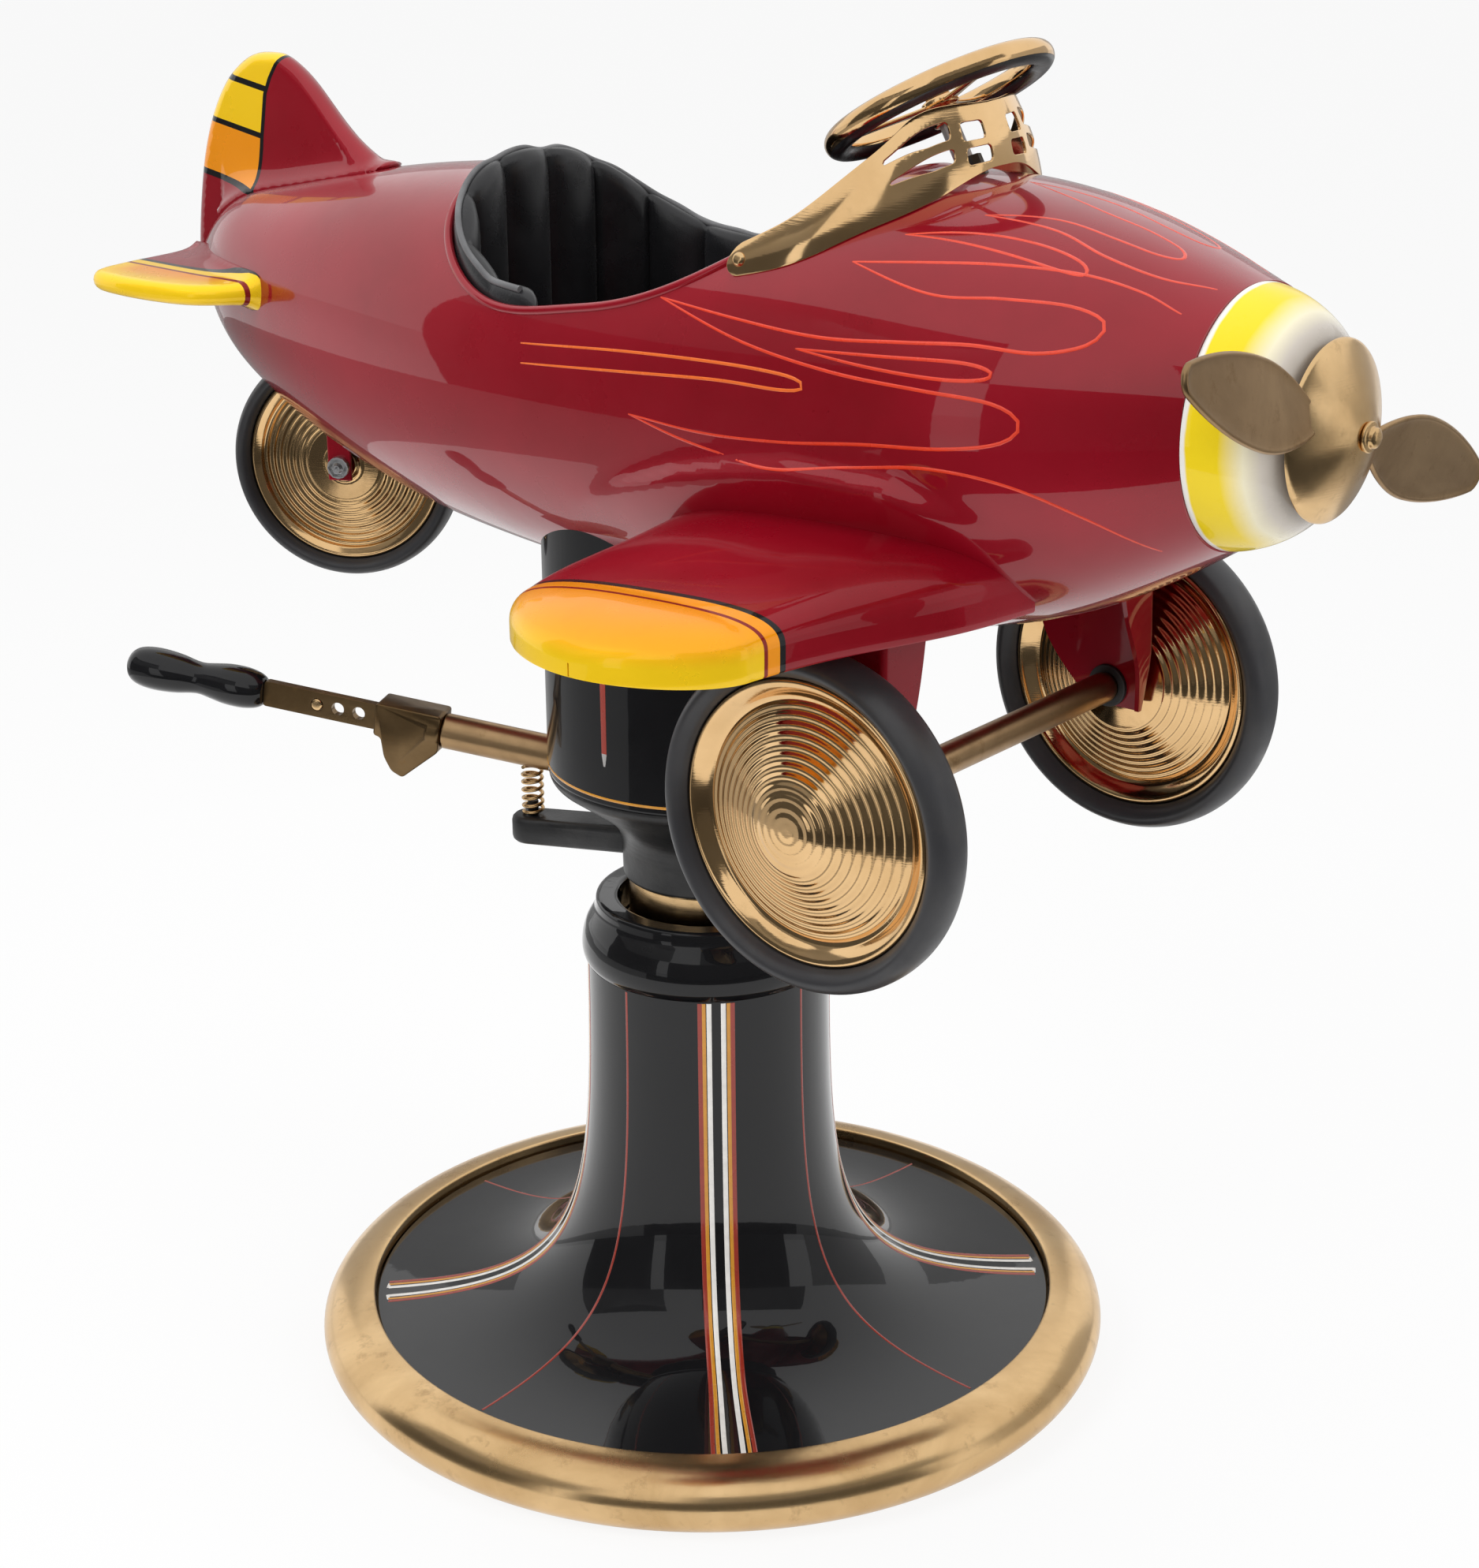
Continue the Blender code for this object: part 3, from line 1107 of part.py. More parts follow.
def make_windshield():
    """The windshield frame, a bent sheet with slots, and its two screws."""
    stations = windshield_line()
    plan = np.array([row[:2] for row in stations])
    tangents = np.gradient(plan, axis=0)
    tangents /= np.linalg.norm(tangents, axis=1)[:, None]
    inward = np.stack([-tangents[:, 1], tangents[:, 0]], axis=1)
    bm = bmesh.new()
    grid = []
    for (x, y, height), normal in zip(stations, inward):
        inner = (x + normal[0] * WINDSHIELD_THICKNESS, y + normal[1] * WINDSHIELD_THICKNESS)
        low = max(skin_top(x, y), skin_top(*inner)) + 3 * FIT
        rises = [height * share for share in WINDSHIELD_ROWS]
        grid.append([bm.verts.new((x - WINDSHIELD_LEAN * rise, y, low + rise)) for rise in rises])
    last = len(grid) - 1
    for i in range(last):
        number = min(i, last - 1 - i)
        slotted = LONG_SLOT[0] <= number < LONG_SLOT[1] or SHORT_SLOT[0] <= number < SHORT_SLOT[1]
        for row in range(len(WINDSHIELD_ROWS) - 1):
            if slotted and row in SLOT_ROWS:
                continue
            bm.faces.new((grid[i][row], grid[i + 1][row], grid[i + 1][row + 1], grid[i][row + 1]))
    bmesh.ops.recalc_face_normals(bm, faces=bm.faces)
    outwards = sum((f.normal for f in bm.faces), Vector((0, 0, 0)))
    if outwards.x < 0:
        bmesh.ops.reverse_faces(bm, faces=bm.faces)
    mesh = bpy.data.meshes.new("windshield_frame")
    bm.to_mesh(mesh)
    bm.free()
    mesh.materials.append(BRASS)
    sheet = bpy.data.objects.new("windshield_frame", mesh)
    bpy.context.scene.collection.objects.link(sheet)
    wall = sheet.modifiers.new("wall", "SOLIDIFY")
    wall.thickness = WINDSHIELD_THICKNESS
    wall.offset = -1.0
    wall.use_even_offset = True
    bake(sheet)

    for name, sign in (("right_windshield_screw", -1), ("left_windshield_screw", 1)):
        x = WINDSHIELD_LINES[0][0] + 0.4 * (WINDSHIELD_LINES[1][0] - WINDSHIELD_LINES[0][0])
        y = WINDSHIELD_LINES[0][1] + 0.4 * (WINDSHIELD_LINES[1][1] - WINDSHIELD_LINES[0][1])
        z = skin_top(x, y) + 3 * FIT + SCREW_RADIUS
        slope = math.degrees(math.atan2(WINDSHIELD_LINES[0][1] - WINDSHIELD_LINES[1][1],
                                        WINDSHIELD_LINES[1][0] - WINDSHIELD_LINES[0][0]))
        profile = [(0, 0), (SCREW_RADIUS, 0), (SCREW_RADIUS, 0.4 * SCREW_HEIGHT),
                   (0.6 * SCREW_RADIUS, 0.9 * SCREW_HEIGHT),
                   (0, SCREW_HEIGHT)]
        screw = turned(name, profile, 12, BRASS)
        screw.data.transform(Matrix.Translation((0, 0, 2 * FIT)))
        place(screw, (x, sign * y, z), (-90 * sign, 0, -sign * slope))


def tyre_profile(radius, depth, half, rim_half, lap):
    """A solid rubber tyre's section: a narrow root between the discs and a round tread."""
    shoulder = radius - lap + 2 * FIT
    return [(radius - depth, -rim_half + FIT), (shoulder, -rim_half + FIT), (shoulder, -0.85 * half),
            (radius - 0.40 * lap, -half), (radius - 0.10 * lap, -0.62 * half), (radius, 0.0),
            (radius - 0.10 * lap, 0.62 * half), (radius - 0.40 * lap, half), (shoulder, 0.85 * half),
            (shoulder, rim_half - FIT), (radius - depth, rim_half - FIT)]


def disc_profile(edge, rim_half, bulge, hub, cap):
    """A pressed disc: rolled edge, rings of steps and a smooth middle, hollow behind."""
    crest = rim_half + 0.65 * (TYRE_HALF_WIDTH - RIM_HALF_WIDTH)
    profile = [(edge - 0.001, rim_half), (edge, crest - 0.003), (edge - 0.004, crest),
               (edge - 0.010, crest - 0.002)]
    step_start = edge - 0.014
    dome = DISC_DOME_SHARE * edge
    for k in range(DISC_STEPS):
        outer = step_start + (dome - step_start) * k / DISC_STEPS
        rise = crest - 0.002 + (bulge - crest) * 0.75 * k / DISC_STEPS
        profile.append((outer, rise))
        profile.append((outer - 0.35 * (step_start - dome) / DISC_STEPS,
                        rise + 0.6 * (bulge - crest) * 0.75 / DISC_STEPS))
    profile.append((dome, crest - 0.002 + 0.75 * (bulge - crest)))
    if cap:
        profile += [(0.5 * dome, bulge - 0.001), (0, bulge), (0, bulge - DISC_WALL)]
    else:
        profile += [(hub + HUB_WALL, bulge), (hub, bulge), (hub, RUN), (hub + HUB_WALL, RUN),
                    (hub + HUB_WALL, bulge - 3 * DISC_WALL)]
    profile += [(dome, crest - 0.002 + 0.75 * (bulge - crest) - 2 * DISC_WALL),
                (step_start, rim_half + FIT),
                (step_start, rim_half)]
    return profile


def make_front_wheels():
    """Axle, struts, and the two front wheels with their discs."""
    reach = FRONT_HALF_TRACK + 0.5 * DISC_BULGE
    axle = turned("front_axle", [(0, -reach), (AXLE_RADIUS, -reach), (AXLE_RADIUS, reach), (0, reach)],
                  SMALL, BRASS)
    place(axle, (FRONT_WHEEL_X, 0, FRONT_AXLE_Z), (90, 0, 0))
    edge = FRONT_WHEEL_RADIUS - RIM_LAP
    hub = bored(AXLE_RADIUS, MEDIUM)
    tyre = tyre_profile(FRONT_WHEEL_RADIUS, TYRE_DEPTH, TYRE_HALF_WIDTH, RIM_HALF_WIDTH, RIM_LAP)
    for side, sign in (("right", -1), ("left", 1)):
        location = (FRONT_WHEEL_X, sign * FRONT_HALF_TRACK, FRONT_AXLE_Z)
        place(turned(side + "_tyre", tyre, MEDIUM, RUBBER), location, (90, 0, 0))
        cap = turned(side + "_hub_cap", disc_profile(edge, RIM_HALF_WIDTH, DISC_BULGE, hub, True),
                     MEDIUM, BRASS)
        place(cap, location, (-90 * sign, 0, 0))
        disc = turned(side + "_inner_disc", disc_profile(edge, RIM_HALF_WIDTH, DISC_BULGE, hub, False),
                      MEDIUM, BRASS)
        place(disc, location, (90 * sign, 0, 0))
        make_strut(side + "_strut", sign)


def make_strut(name, sign):
    """A folded-sheet strut from the wing down to the axle: a plate with a front flange."""
    inner = STRUT_SPAN - STRUT_FLANGE
    corners = ((STRUT_FRONT, STRUT_SPAN), (STRUT_AFT, STRUT_SPAN), (STRUT_FRONT, inner),
               (STRUT_AFT, inner))
    top = min(wing_top(x, span) for x, span in corners) - WING_SKIN - 5 * FIT
    low = FRONT_AXLE_Z - STRUT_FOOT
    foot_aft = FRONT_WHEEL_X - STRUT_FOOT_HALF
    rows = ((low, STRUT_FRONT - 0.008, foot_aft + 0.012, 1.2 * STRUT_SHEET),
            (FRONT_AXLE_Z + 0.008, STRUT_FRONT - 0.003, foot_aft - 0.012, 0.27 * STRUT_FLANGE),
            (FRONT_AXLE_Z + STRUT_FOOT_HALF, STRUT_FRONT, STRUT_AFT + 0.010, 0.42 * STRUT_FLANGE),
            (FRONT_AXLE_Z + 2 * STRUT_FOOT_HALF, STRUT_FRONT, STRUT_AFT, 0.66 * STRUT_FLANGE),
            (top, STRUT_FRONT, STRUT_AFT, STRUT_FLANGE))
    rings = []
    for z, front, aft, flange in rows:
        plate = STRUT_SPAN - STRUT_SHEET
        outline = [(front, STRUT_SPAN), (front, STRUT_SPAN - flange),
                   (front - STRUT_SHEET, STRUT_SPAN - flange),
                   (front - STRUT_SHEET, plate), (aft, plate), (aft, STRUT_SPAN)]
        rings.append([(x, sign * y, z) for x, y in outline])
    strut = loft(name, rings, MAROON)
    combine(strut, skin_cutter(), "DIFFERENCE")
    hole = AXLE_RADIUS + FIT
    drill = turned("drill", [(0, -0.08), (hole, -0.08), (hole, 0.05), (0, 0.05)], SMALL, MAROON)
    place(drill, (FRONT_WHEEL_X, sign * STRUT_SPAN, FRONT_AXLE_Z), (-90 * sign, 0, 0))
    combine(strut, drill, "DIFFERENCE")


def make_tail_wheel():
    """Steered tail wheel in its fork, with the kingpin and the bracket inside the skin."""
    location = (TAIL_WHEEL_X, 0, TAIL_AXLE_Z)
    across = (90, 0, TAIL_STEER)
    tyre = tyre_profile(TAIL_WHEEL_RADIUS, TAIL_TYRE_DEPTH, TAIL_TYRE_HALF_WIDTH, TAIL_RIM_HALF_WIDTH,
                        TAIL_RIM_LAP)
    place(turned("tail_tyre", tyre, MEDIUM, RUBBER), location, across)
    edge = TAIL_WHEEL_RADIUS - TAIL_RIM_LAP
    hub = bored(TAIL_AXLE_RADIUS, MEDIUM)
    profile = disc_profile(edge, TAIL_RIM_HALF_WIDTH, TAIL_DISC_BULGE, hub, False)
    place(turned("tail_disc_right", profile, MEDIUM, BRASS), location, across)
    place(turned("tail_disc_left", profile, MEDIUM, BRASS), location, (-90, 0, TAIL_STEER))

    inner = TAIL_DISC_BULGE + FORK_SIDE_GAP
    outer = inner + FORK_SHEET
    bridge = TAIL_WHEEL_RADIUS + FORK_TOP_GAP
    foot = -0.6 * FORK_LEG_WIDTH
    path = [(-outer, foot), (-inner, foot), (-inner, bridge), (inner, bridge), (inner, foot),
            (outer, foot),
            (outer, bridge + FORK_SHEET), (-outer, bridge + FORK_SHEET)]
    half = 0.5 * FORK_LEG_WIDTH
    fork = loft("tail_fork", [[(x, y, z) for y, z in path] for x in (-half, half)], MAROON)
    hole = TAIL_AXLE_RADIUS + FIT
    drill = turned("drill", [(0, -0.1), (hole, -0.1), (hole, 0.1), (0, 0.1)], SMALL, MAROON)
    drill.rotation_euler.x = math.radians(90)
    combine(fork, drill, "DIFFERENCE")
    place(fork, location, (0, 0, TAIL_STEER))

    nut = outer + FIT
    head = nut + 0.005
    reach = TAIL_AXLE_RADIUS
    profile = [(0, -head), (1.9 * reach, -head), (1.9 * reach, -nut), (reach, -nut), (reach, nut),
               (1.9 * reach, nut),
               (1.9 * reach, head), (reach, head), (0.6 * reach, head + 0.003), (0, head + 0.003)]
    place(turned("tail_axle", profile, SMALL, STEEL), location, across)

    bridge_top = TAIL_AXLE_Z + bridge + FORK_SHEET
    low = bridge_top + RUN
    high = low + BRACKET_THICKNESS
    bracket = block("tail_bracket", (TAIL_WHEEL_X - 0.5 * BRACKET_LENGTH, -0.3, low),
                    (TAIL_WHEEL_X + 0.5 * BRACKET_LENGTH, 0.3, high), STEEL)
    combine(bracket, skin_inside(), "INTERSECT")
    hole = bored(KINGPIN_RADIUS, SMALL)
    drill = turned("drill", [(0, low - 0.01), (hole, low - 0.01), (hole, high + 0.01), (0, high + 0.01)],
                   SMALL, STEEL)
    drill.location = (TAIL_WHEEL_X, 0, 0)
    combine(bracket, drill, "DIFFERENCE")
    profile = [(0, bridge_top + FIT), (KINGPIN_RADIUS, bridge_top + FIT), (KINGPIN_RADIUS, high + RUN),
               (KINGPIN_HEAD_RADIUS, high + RUN), (KINGPIN_HEAD_RADIUS, high + RUN + KINGPIN_HEAD),
               (0, high + RUN + KINGPIN_HEAD)]
    place(turned("tail_kingpin", profile, SMALL, STEEL), (TAIL_WHEEL_X, 0, 0))


clear_scene()
MAROON = paint("candy_maroon", (0.33, 0.012, 0.045), 0.18, 0.1)
YELLOW = paint("nose_yellow", (0.92, 0.78, 0.02), 0.25, 0.0)
ENAMEL = paint("black_enamel", (0.012, 0.012, 0.014), 0.15, 0.0)
BRASS = paint("polished_brass", (0.78, 0.57, 0.28), 0.18, 1.0)
RUBBER = paint("black_rubber", (0.03, 0.03, 0.032), 0.55, 0.0)
LEATHER = paint("black_vinyl", (0.022, 0.022, 0.024), 0.42, 0.0)
STEEL = paint("zinc_steel", (0.55, 0.55, 0.56), 0.35, 1.0)
IRON = paint("cast_iron", (0.09, 0.09, 0.09), 0.6, 0.6)

make_pedestal()
make_ram()
make_swivel()
make_spring()
make_lever()
make_fuselage()
make_steering()
make_seat()
make_nose()
make_wings()
make_tail()
make_windshield()
make_front_wheels()
make_tail_wheel()
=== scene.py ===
"""Looks of a child's airplane barber chair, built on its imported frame."""

import json
import math
from functools import partial

import bmesh
import bpy
import numpy as np
from mathutils import Matrix, Vector
from mathutils.geometry import delaunay_2d_cdt

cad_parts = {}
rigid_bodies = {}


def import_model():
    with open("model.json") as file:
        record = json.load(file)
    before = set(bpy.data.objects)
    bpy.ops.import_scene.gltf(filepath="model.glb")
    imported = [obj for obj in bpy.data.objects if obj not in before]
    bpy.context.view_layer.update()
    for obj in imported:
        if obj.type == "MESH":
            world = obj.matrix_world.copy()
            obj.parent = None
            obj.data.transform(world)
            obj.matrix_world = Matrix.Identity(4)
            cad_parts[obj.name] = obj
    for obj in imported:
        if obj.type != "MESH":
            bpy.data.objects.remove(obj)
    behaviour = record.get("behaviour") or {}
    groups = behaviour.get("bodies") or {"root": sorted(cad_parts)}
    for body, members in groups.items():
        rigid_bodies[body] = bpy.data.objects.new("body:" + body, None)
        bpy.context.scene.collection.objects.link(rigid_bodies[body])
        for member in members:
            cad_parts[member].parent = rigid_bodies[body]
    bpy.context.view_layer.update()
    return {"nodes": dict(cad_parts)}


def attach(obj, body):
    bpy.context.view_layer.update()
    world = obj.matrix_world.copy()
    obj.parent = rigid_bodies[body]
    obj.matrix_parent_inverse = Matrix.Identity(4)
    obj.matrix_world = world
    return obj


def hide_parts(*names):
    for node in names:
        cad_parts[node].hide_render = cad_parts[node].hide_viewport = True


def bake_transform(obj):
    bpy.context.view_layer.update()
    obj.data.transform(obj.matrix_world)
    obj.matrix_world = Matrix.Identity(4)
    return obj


for leftover in list(bpy.data.objects):
    bpy.data.objects.remove(leftover)

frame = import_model()

# Photograph: its width in pixels, and the camera that was fitted to it
PHOTO_WIDTH = 1875
CAMERA_PLACE = Vector((1.5429, -1.8319, 1.3959))
CAMERA_TARGET = Vector((0.035, 0.0, 0.512))
CAMERA_ROLL = math.radians(-0.482)
FOCAL_PIXELS = 3972.6

# Levels, sizes and angles in metres and degrees; most repeat the part's
POST_RADIUS = 0.1005
DISC_RADIUS = 0.2897
DISC_EDGE_HEIGHT = 0.047
RING_INNER = 0.290
RING_WIDTH = 0.045
RING_HEIGHT = 0.056
RING_WIDEST = 0.026
RING_WALL = 0.003
COLLAR_TOP = 0.4103
POST_TOP = COLLAR_TOP - 0.0560
COLLAR_RADIUS = 0.1047
NECK_FOOT = 0.4293
CONE_FOOT = 0.4773
CASTING_TOP = 0.5238
DRUM_FOOT = 0.5241
DRUM_RADIUS = 0.1285
BELLY_Z = 0.6791
SEAT_FOOT = BELLY_Z + 0.092 + 0.0004
NOSE_X = 0.489
TAIL_X = -0.552
NOSE_AXIS_Z = 0.8826
NOSE_RADIUS = 0.0925
CAP_FACE_X = 0.5473
SPINNER_X = 0.5506
FRONT_AXLE = (0.273, 0.6001)
FRONT_HALF_TRACK = 0.209
STRUT_SPAN = 0.176
STRUT_SHEET = 0.004
TAIL_AXLE = (-0.402, 0.7121)
TAIL_STEER = 27.3
LEVER_TURN = 205.0
LEVER_PITCH = 7.8
LEVER_PIVOT_OUT = 0.105
LEVER_PIVOT_Z = 0.5163
LUG_TOP = 0.4658
SPRING_OUT = 0.149
SLOT_OUT = 0.150
SLOT_HALF = 0.0165
STEERING_CENTRE = (0.2238, 0.0, 1.0730)
STEERING_TILT = 29.6
FULLNESS = 2.15
SKIN = 0.003
LINE_HEIGHT = 0.00035
# Ends of the lever's pieces, from its pivot outwards
ARM_END = 0.1198
YOKE_START = 0.1203
YOKE_END = YOKE_START + 0.057
BAR_START = YOKE_END + 0.0003
BAR_LENGTH = 0.102
BAR_END = BAR_START + BAR_LENGTH
GRIP_START = BAR_END + 0.0003

# Fuselage: station, then top, bottom, half width and widest line above the belly datum
FUSELAGE_LINES = (
    (-0.552, 0.220, 0.166, 0.018, 0.192),
    (-0.515, 0.248, 0.126, 0.046, 0.190),
    (-0.450, 0.269, 0.086, 0.077, 0.187),
    (-0.300, 0.298, 0.033, 0.118, 0.182),
    (-0.150, 0.314, 0.011, 0.146, 0.178),
    (0.000, 0.326, 0.003, 0.162, 0.177),
    (0.150, 0.339, 0.006, 0.168, 0.179),
    (0.280, 0.346, 0.020, 0.163, 0.186),
    (0.400, 0.326, 0.058, 0.135, 0.197),
    (0.489, 0.296, 0.111, 0.0925, 0.2035),
)
# Wing: span, leading edge, trailing edge and depth, up to where its round tip has begun
WING_PLAN = (
    (0.085, 0.371, 0.085, 0.059),
    (0.160, 0.358, 0.097, 0.059),
    (0.220, 0.337, 0.102, 0.051),
    (0.290, 0.317, 0.106, 0.043),
    (0.330, 0.311, 0.114, 0.038),
)
WING_SPAN = 0.3918
WING_TIP_START = 0.325
WING_TIP_REACH = WING_SPAN - WING_TIP_START
WING_FOOT = BELLY_Z + 0.065
WING_EDGE = 0.016
WING_ROUNDNESS = 2.3
# Fin: station and height above the belly datum; stabiliser: station and span
FIN_OUTLINE = (
    (-0.330, 0.292), (-0.352, 0.300), (-0.385, 0.322), (-0.420, 0.354), (-0.448, 0.373), (-0.470, 0.376),
    (-0.494, 0.371), (-0.520, 0.352), (-0.541, 0.322), (-0.556, 0.285), (-0.566, 0.240), (-0.571, 0.200),
    (-0.569, 0.186), (-0.500, 0.186), (-0.400, 0.240),
)
STABILISER_OUTLINE = (
    (-0.360, 0.0103), (-0.393, 0.090), (-0.418, 0.124), (-0.448, 0.142), (-0.500, 0.148), (-0.546, 0.143),
    (-0.563, 0.128), (-0.568, 0.090), (-0.568, 0.0103),
)
STABILISER_Z = BELLY_Z + 0.194
# Fairing over the wing's root: station and height of its upper edge
FAIRING_EDGE = (
    (0.005, 0.7715), (0.064, 0.797), (0.115, 0.814), (0.168, 0.8265), (0.219, 0.835), (0.301, 0.832),
    (0.355, 0.812),
)
FAIRING_BULGE = 0.012
# Windshield, one side: station, half width, height over the skin
WINDSHIELD_LINES = (
    (0.139, 0.1364, 0.021), (0.1646, 0.1331, 0.0275), (0.1889, 0.1281, 0.0335), (0.2101, 0.1194, 0.039),
    (0.2357, 0.1026, 0.047), (0.2599, 0.0804, 0.057), (0.2745, 0.048, 0.056), (0.2825, 0.018, 0.052),
    (0.2835, 0.0, 0.051),
)
WINDSHIELD_LEAN = 0.35
WINDSHIELD_BOW = 0.003
WINDSHIELD_LIFT = 0.15
# Slots of one side: aft and front end as shares of its length, aft foot and head, front foot and head
WINDSHIELD_SLOTS = (
    (0.527, 0.785, 0.745, 0.80, 0.61, 0.82), (0.550, 0.788, 0.445, 0.48, 0.33, 0.50),
    (0.828, 0.930, 0.55, 0.78, 0.55, 0.78), (0.835, 0.945, 0.25, 0.46, 0.25, 0.46),
)
# Flame licks of one side: strokes of station and height, from tip to tip
FLAME_STROKES = (
    ((0.466, 0.800), (0.430, 0.826), (0.385, 0.846), (0.330, 0.853), (0.265, 0.846), (0.200, 0.838),
     (0.130, 0.843), (0.070, 0.855)),
    ((0.070, 0.855), (0.140, 0.852), (0.210, 0.856), (0.280, 0.864), (0.340, 0.868), (0.380, 0.876),
     (0.392, 0.890), (0.372, 0.902), (0.320, 0.906), (0.250, 0.910), (0.170, 0.920), (0.085, 0.939)),
    ((0.085, 0.939), (0.160, 0.934), (0.235, 0.931), (0.300, 0.935), (0.350, 0.938), (0.395, 0.936),
     (0.425, 0.943), (0.430, 0.956), (0.405, 0.965), (0.360, 0.967), (0.310, 0.966), (0.240, 0.979)),
    ((0.240, 0.979), (0.300, 0.984), (0.350, 0.986), (0.400, 0.983), (0.440, 0.974), (0.470, 0.962)),
    ((0.218, 0.9215), (0.280, 0.9165), (0.335, 0.9145), (0.364, 0.9170), (0.368, 0.9225), (0.345, 0.9265),
     (0.285, 0.9245), (0.218, 0.9215)),
)
# Twin lines along the side that meet in a round end: station and height
COACH_STROKE = (
    (-0.045, 0.890), (0.06, 0.899), (0.15, 0.9035), (0.205, 0.9035), (0.226, 0.9005), (0.228, 0.8955),
    (0.208, 0.8925), (0.15, 0.8915), (0.06, 0.8845), (-0.0435, 0.8755),
)
# Licks on top of the cowl, one side: strokes of station and half width
FLAME_TOP = (
    ((0.478, 0.034), (0.445, 0.052), (0.405, 0.060), (0.365, 0.058), (0.312, 0.067)),
    ((0.312, 0.067), (0.360, 0.046), (0.400, 0.040), (0.430, 0.034), (0.444, 0.024), (0.436, 0.013),
     (0.410, 0.010), (0.375, 0.012), (0.335, 0.007), (0.303, 0.0)),
    ((0.268, 0.099), (0.310, 0.095), (0.350, 0.091), (0.386, 0.086), (0.403, 0.080), (0.396, 0.0735),
     (0.368, 0.0745), (0.325, 0.083), (0.268, 0.099)),
)


def smooth(low, high, value):
    """Goes from 0 to 1 between two values, with no corner."""
    t = min(1.0, max(0.0, (value - low) / (high - low)))
    return t * t * (3 - 2 * t)


def power(value, exponent):
    """A signed power, for oval outlines."""
    return math.copysign(abs(value) ** exponent, value)


def spline(stations, rows):
    """A natural cubic through rows of values at stations, as a function."""
    stations = np.array(stations, float)
    values = np.array(rows, float)
    gaps = np.diff(stations)
    count = len(stations)
    system = np.eye(count)
    right = np.zeros_like(values)
    for i in range(1, count - 1):
        system[i, i - 1:i + 2] = (gaps[i - 1], 2 * (gaps[i - 1] + gaps[i]), gaps[i])
        right[i] = 6 * ((values[i + 1] - values[i]) / gaps[i] - (values[i] - values[i - 1]) / gaps[i - 1])
    bends = np.linalg.solve(system, right)

    def at(station):
        i = int(np.clip(np.searchsorted(stations, station) - 1, 0, count - 2))
        a = stations[i + 1] - station
        b = station - stations[i]
        gap = gaps[i]
        curve = (bends[i] * a ** 3 + bends[i + 1] * b ** 3) / (6 * gap)
        low = values[i] / gap - bends[i] * gap / 6
        high = values[i + 1] / gap - bends[i + 1] * gap / 6
        return curve + low * a + high * b

    return at


def bezier(a, b, c, d, count):
    """Points along a cubic curve."""
    a, b, c, d = (np.array(p, float) for p in (a, b, c, d))
    out = []
    for t in np.linspace(0.0, 1.0, count):
        s = 1 - t
        out.append(tuple(s ** 3 * a + 3 * s * s * t * b + 3 * s * t * t * c + t ** 3 * d))
    return out


def fillet(points, radius, steps=5, closed=False):
    """A line with its corners rounded off."""
    points = [np.array(p, float) for p in points]
    count = len(points)
    out = [] if closed else [tuple(points[0])]
    for i in range(count if closed else count - 2):
        a, b, c = (points[i - 1], points[i], points[(i + 1) % count]) if closed else points[i:i + 3]
        before = a - b
        after = c - b
        reach = min(radius, 0.48 * np.linalg.norm(before), 0.48 * np.linalg.norm(after))
        start = b + before / np.linalg.norm(before) * reach
        end = b + after / np.linalg.norm(after) * reach
        for t in np.linspace(0.0, 1.0, steps + 1):
            out.append(tuple((1 - t) ** 2 * start + 2 * t * (1 - t) * b + t * t * end))
    if not closed:
        out.append(tuple(points[-1]))
    return out


def rectangle(left, right, low, high):
    """Corners of a rectangle."""
    return [(left, low), (right, low), (right, high), (left, high)]


def arc(middle, radius, start, end, count):
    """Points of a circle's arc, its centre on the first axis, angles in degrees."""
    turns = np.radians(np.linspace(start, end, count))
    return [(middle + radius * math.cos(a), radius * math.sin(a)) for a in turns]


def polar(radius, angle, z):
    """A point at a radius and an angle round Z."""
    return (radius * math.cos(angle), radius * math.sin(angle), z)


def resampled(points, count):
    """Points at even steps along a line."""
    points = np.array(points, float)
    along = np.concatenate(([0.0], np.cumsum(np.linalg.norm(np.diff(points, axis=0), axis=1))))
    wanted = np.linspace(0.0, along[-1], count)
    return np.stack([np.interp(wanted, along, points[:, k]) for k in range(points.shape[1])], axis=1)


def rounded_line(points, count, closed=False):
    """A smooth line through points, evenly stepped."""
    points = np.array(points, float)
    if closed:
        points = np.concatenate((points, points[:1]))
    ends = (points[-2], points[1]) if closed else (2 * points[0] - points[1], 2 * points[-1] - points[-2])
    padded = np.concatenate(([ends[0]], points, [ends[1]]))
    out = []
    for a, b, c, d in zip(padded, padded[1:], padded[2:], padded[3:]):
        for t in np.linspace(0.0, 1.0, 12, endpoint=False):
            out.append(0.5 * (2 * b + (c - a) * t + (2 * a - 5 * b + 4 * c - d) * t ** 2
                              + (3 * b - a - 3 * c + d) * t ** 3))
    out.append(points[-1])
    line = resampled(out, count + 1 if closed else count)
    return line[:-1] if closed else line


def linked(name, data):
    """An object in the scene."""
    obj = bpy.data.objects.new(name, data)
    bpy.context.scene.collection.objects.link(obj)
    return obj


def new_object(name, verts, faces, material, sharp=38.0, matrix=None):
    """A smooth-shaded mesh object with outward normals."""
    mesh = bpy.data.meshes.new(name)
    mesh.from_pydata([tuple(float(c) for c in v) for v in verts], [], faces)
    bm = bmesh.new()
    bm.from_mesh(mesh)
    bmesh.ops.remove_doubles(bm, verts=bm.verts, dist=1e-6)
    bmesh.ops.recalc_face_normals(bm, faces=bm.faces)
    bm.to_mesh(mesh)
    bm.free()
    if matrix is not None:
        mesh.transform(matrix)
    obj = linked(name, mesh)
    if material:
        mesh.materials.append(material)
    soften(obj, sharp)
    return obj


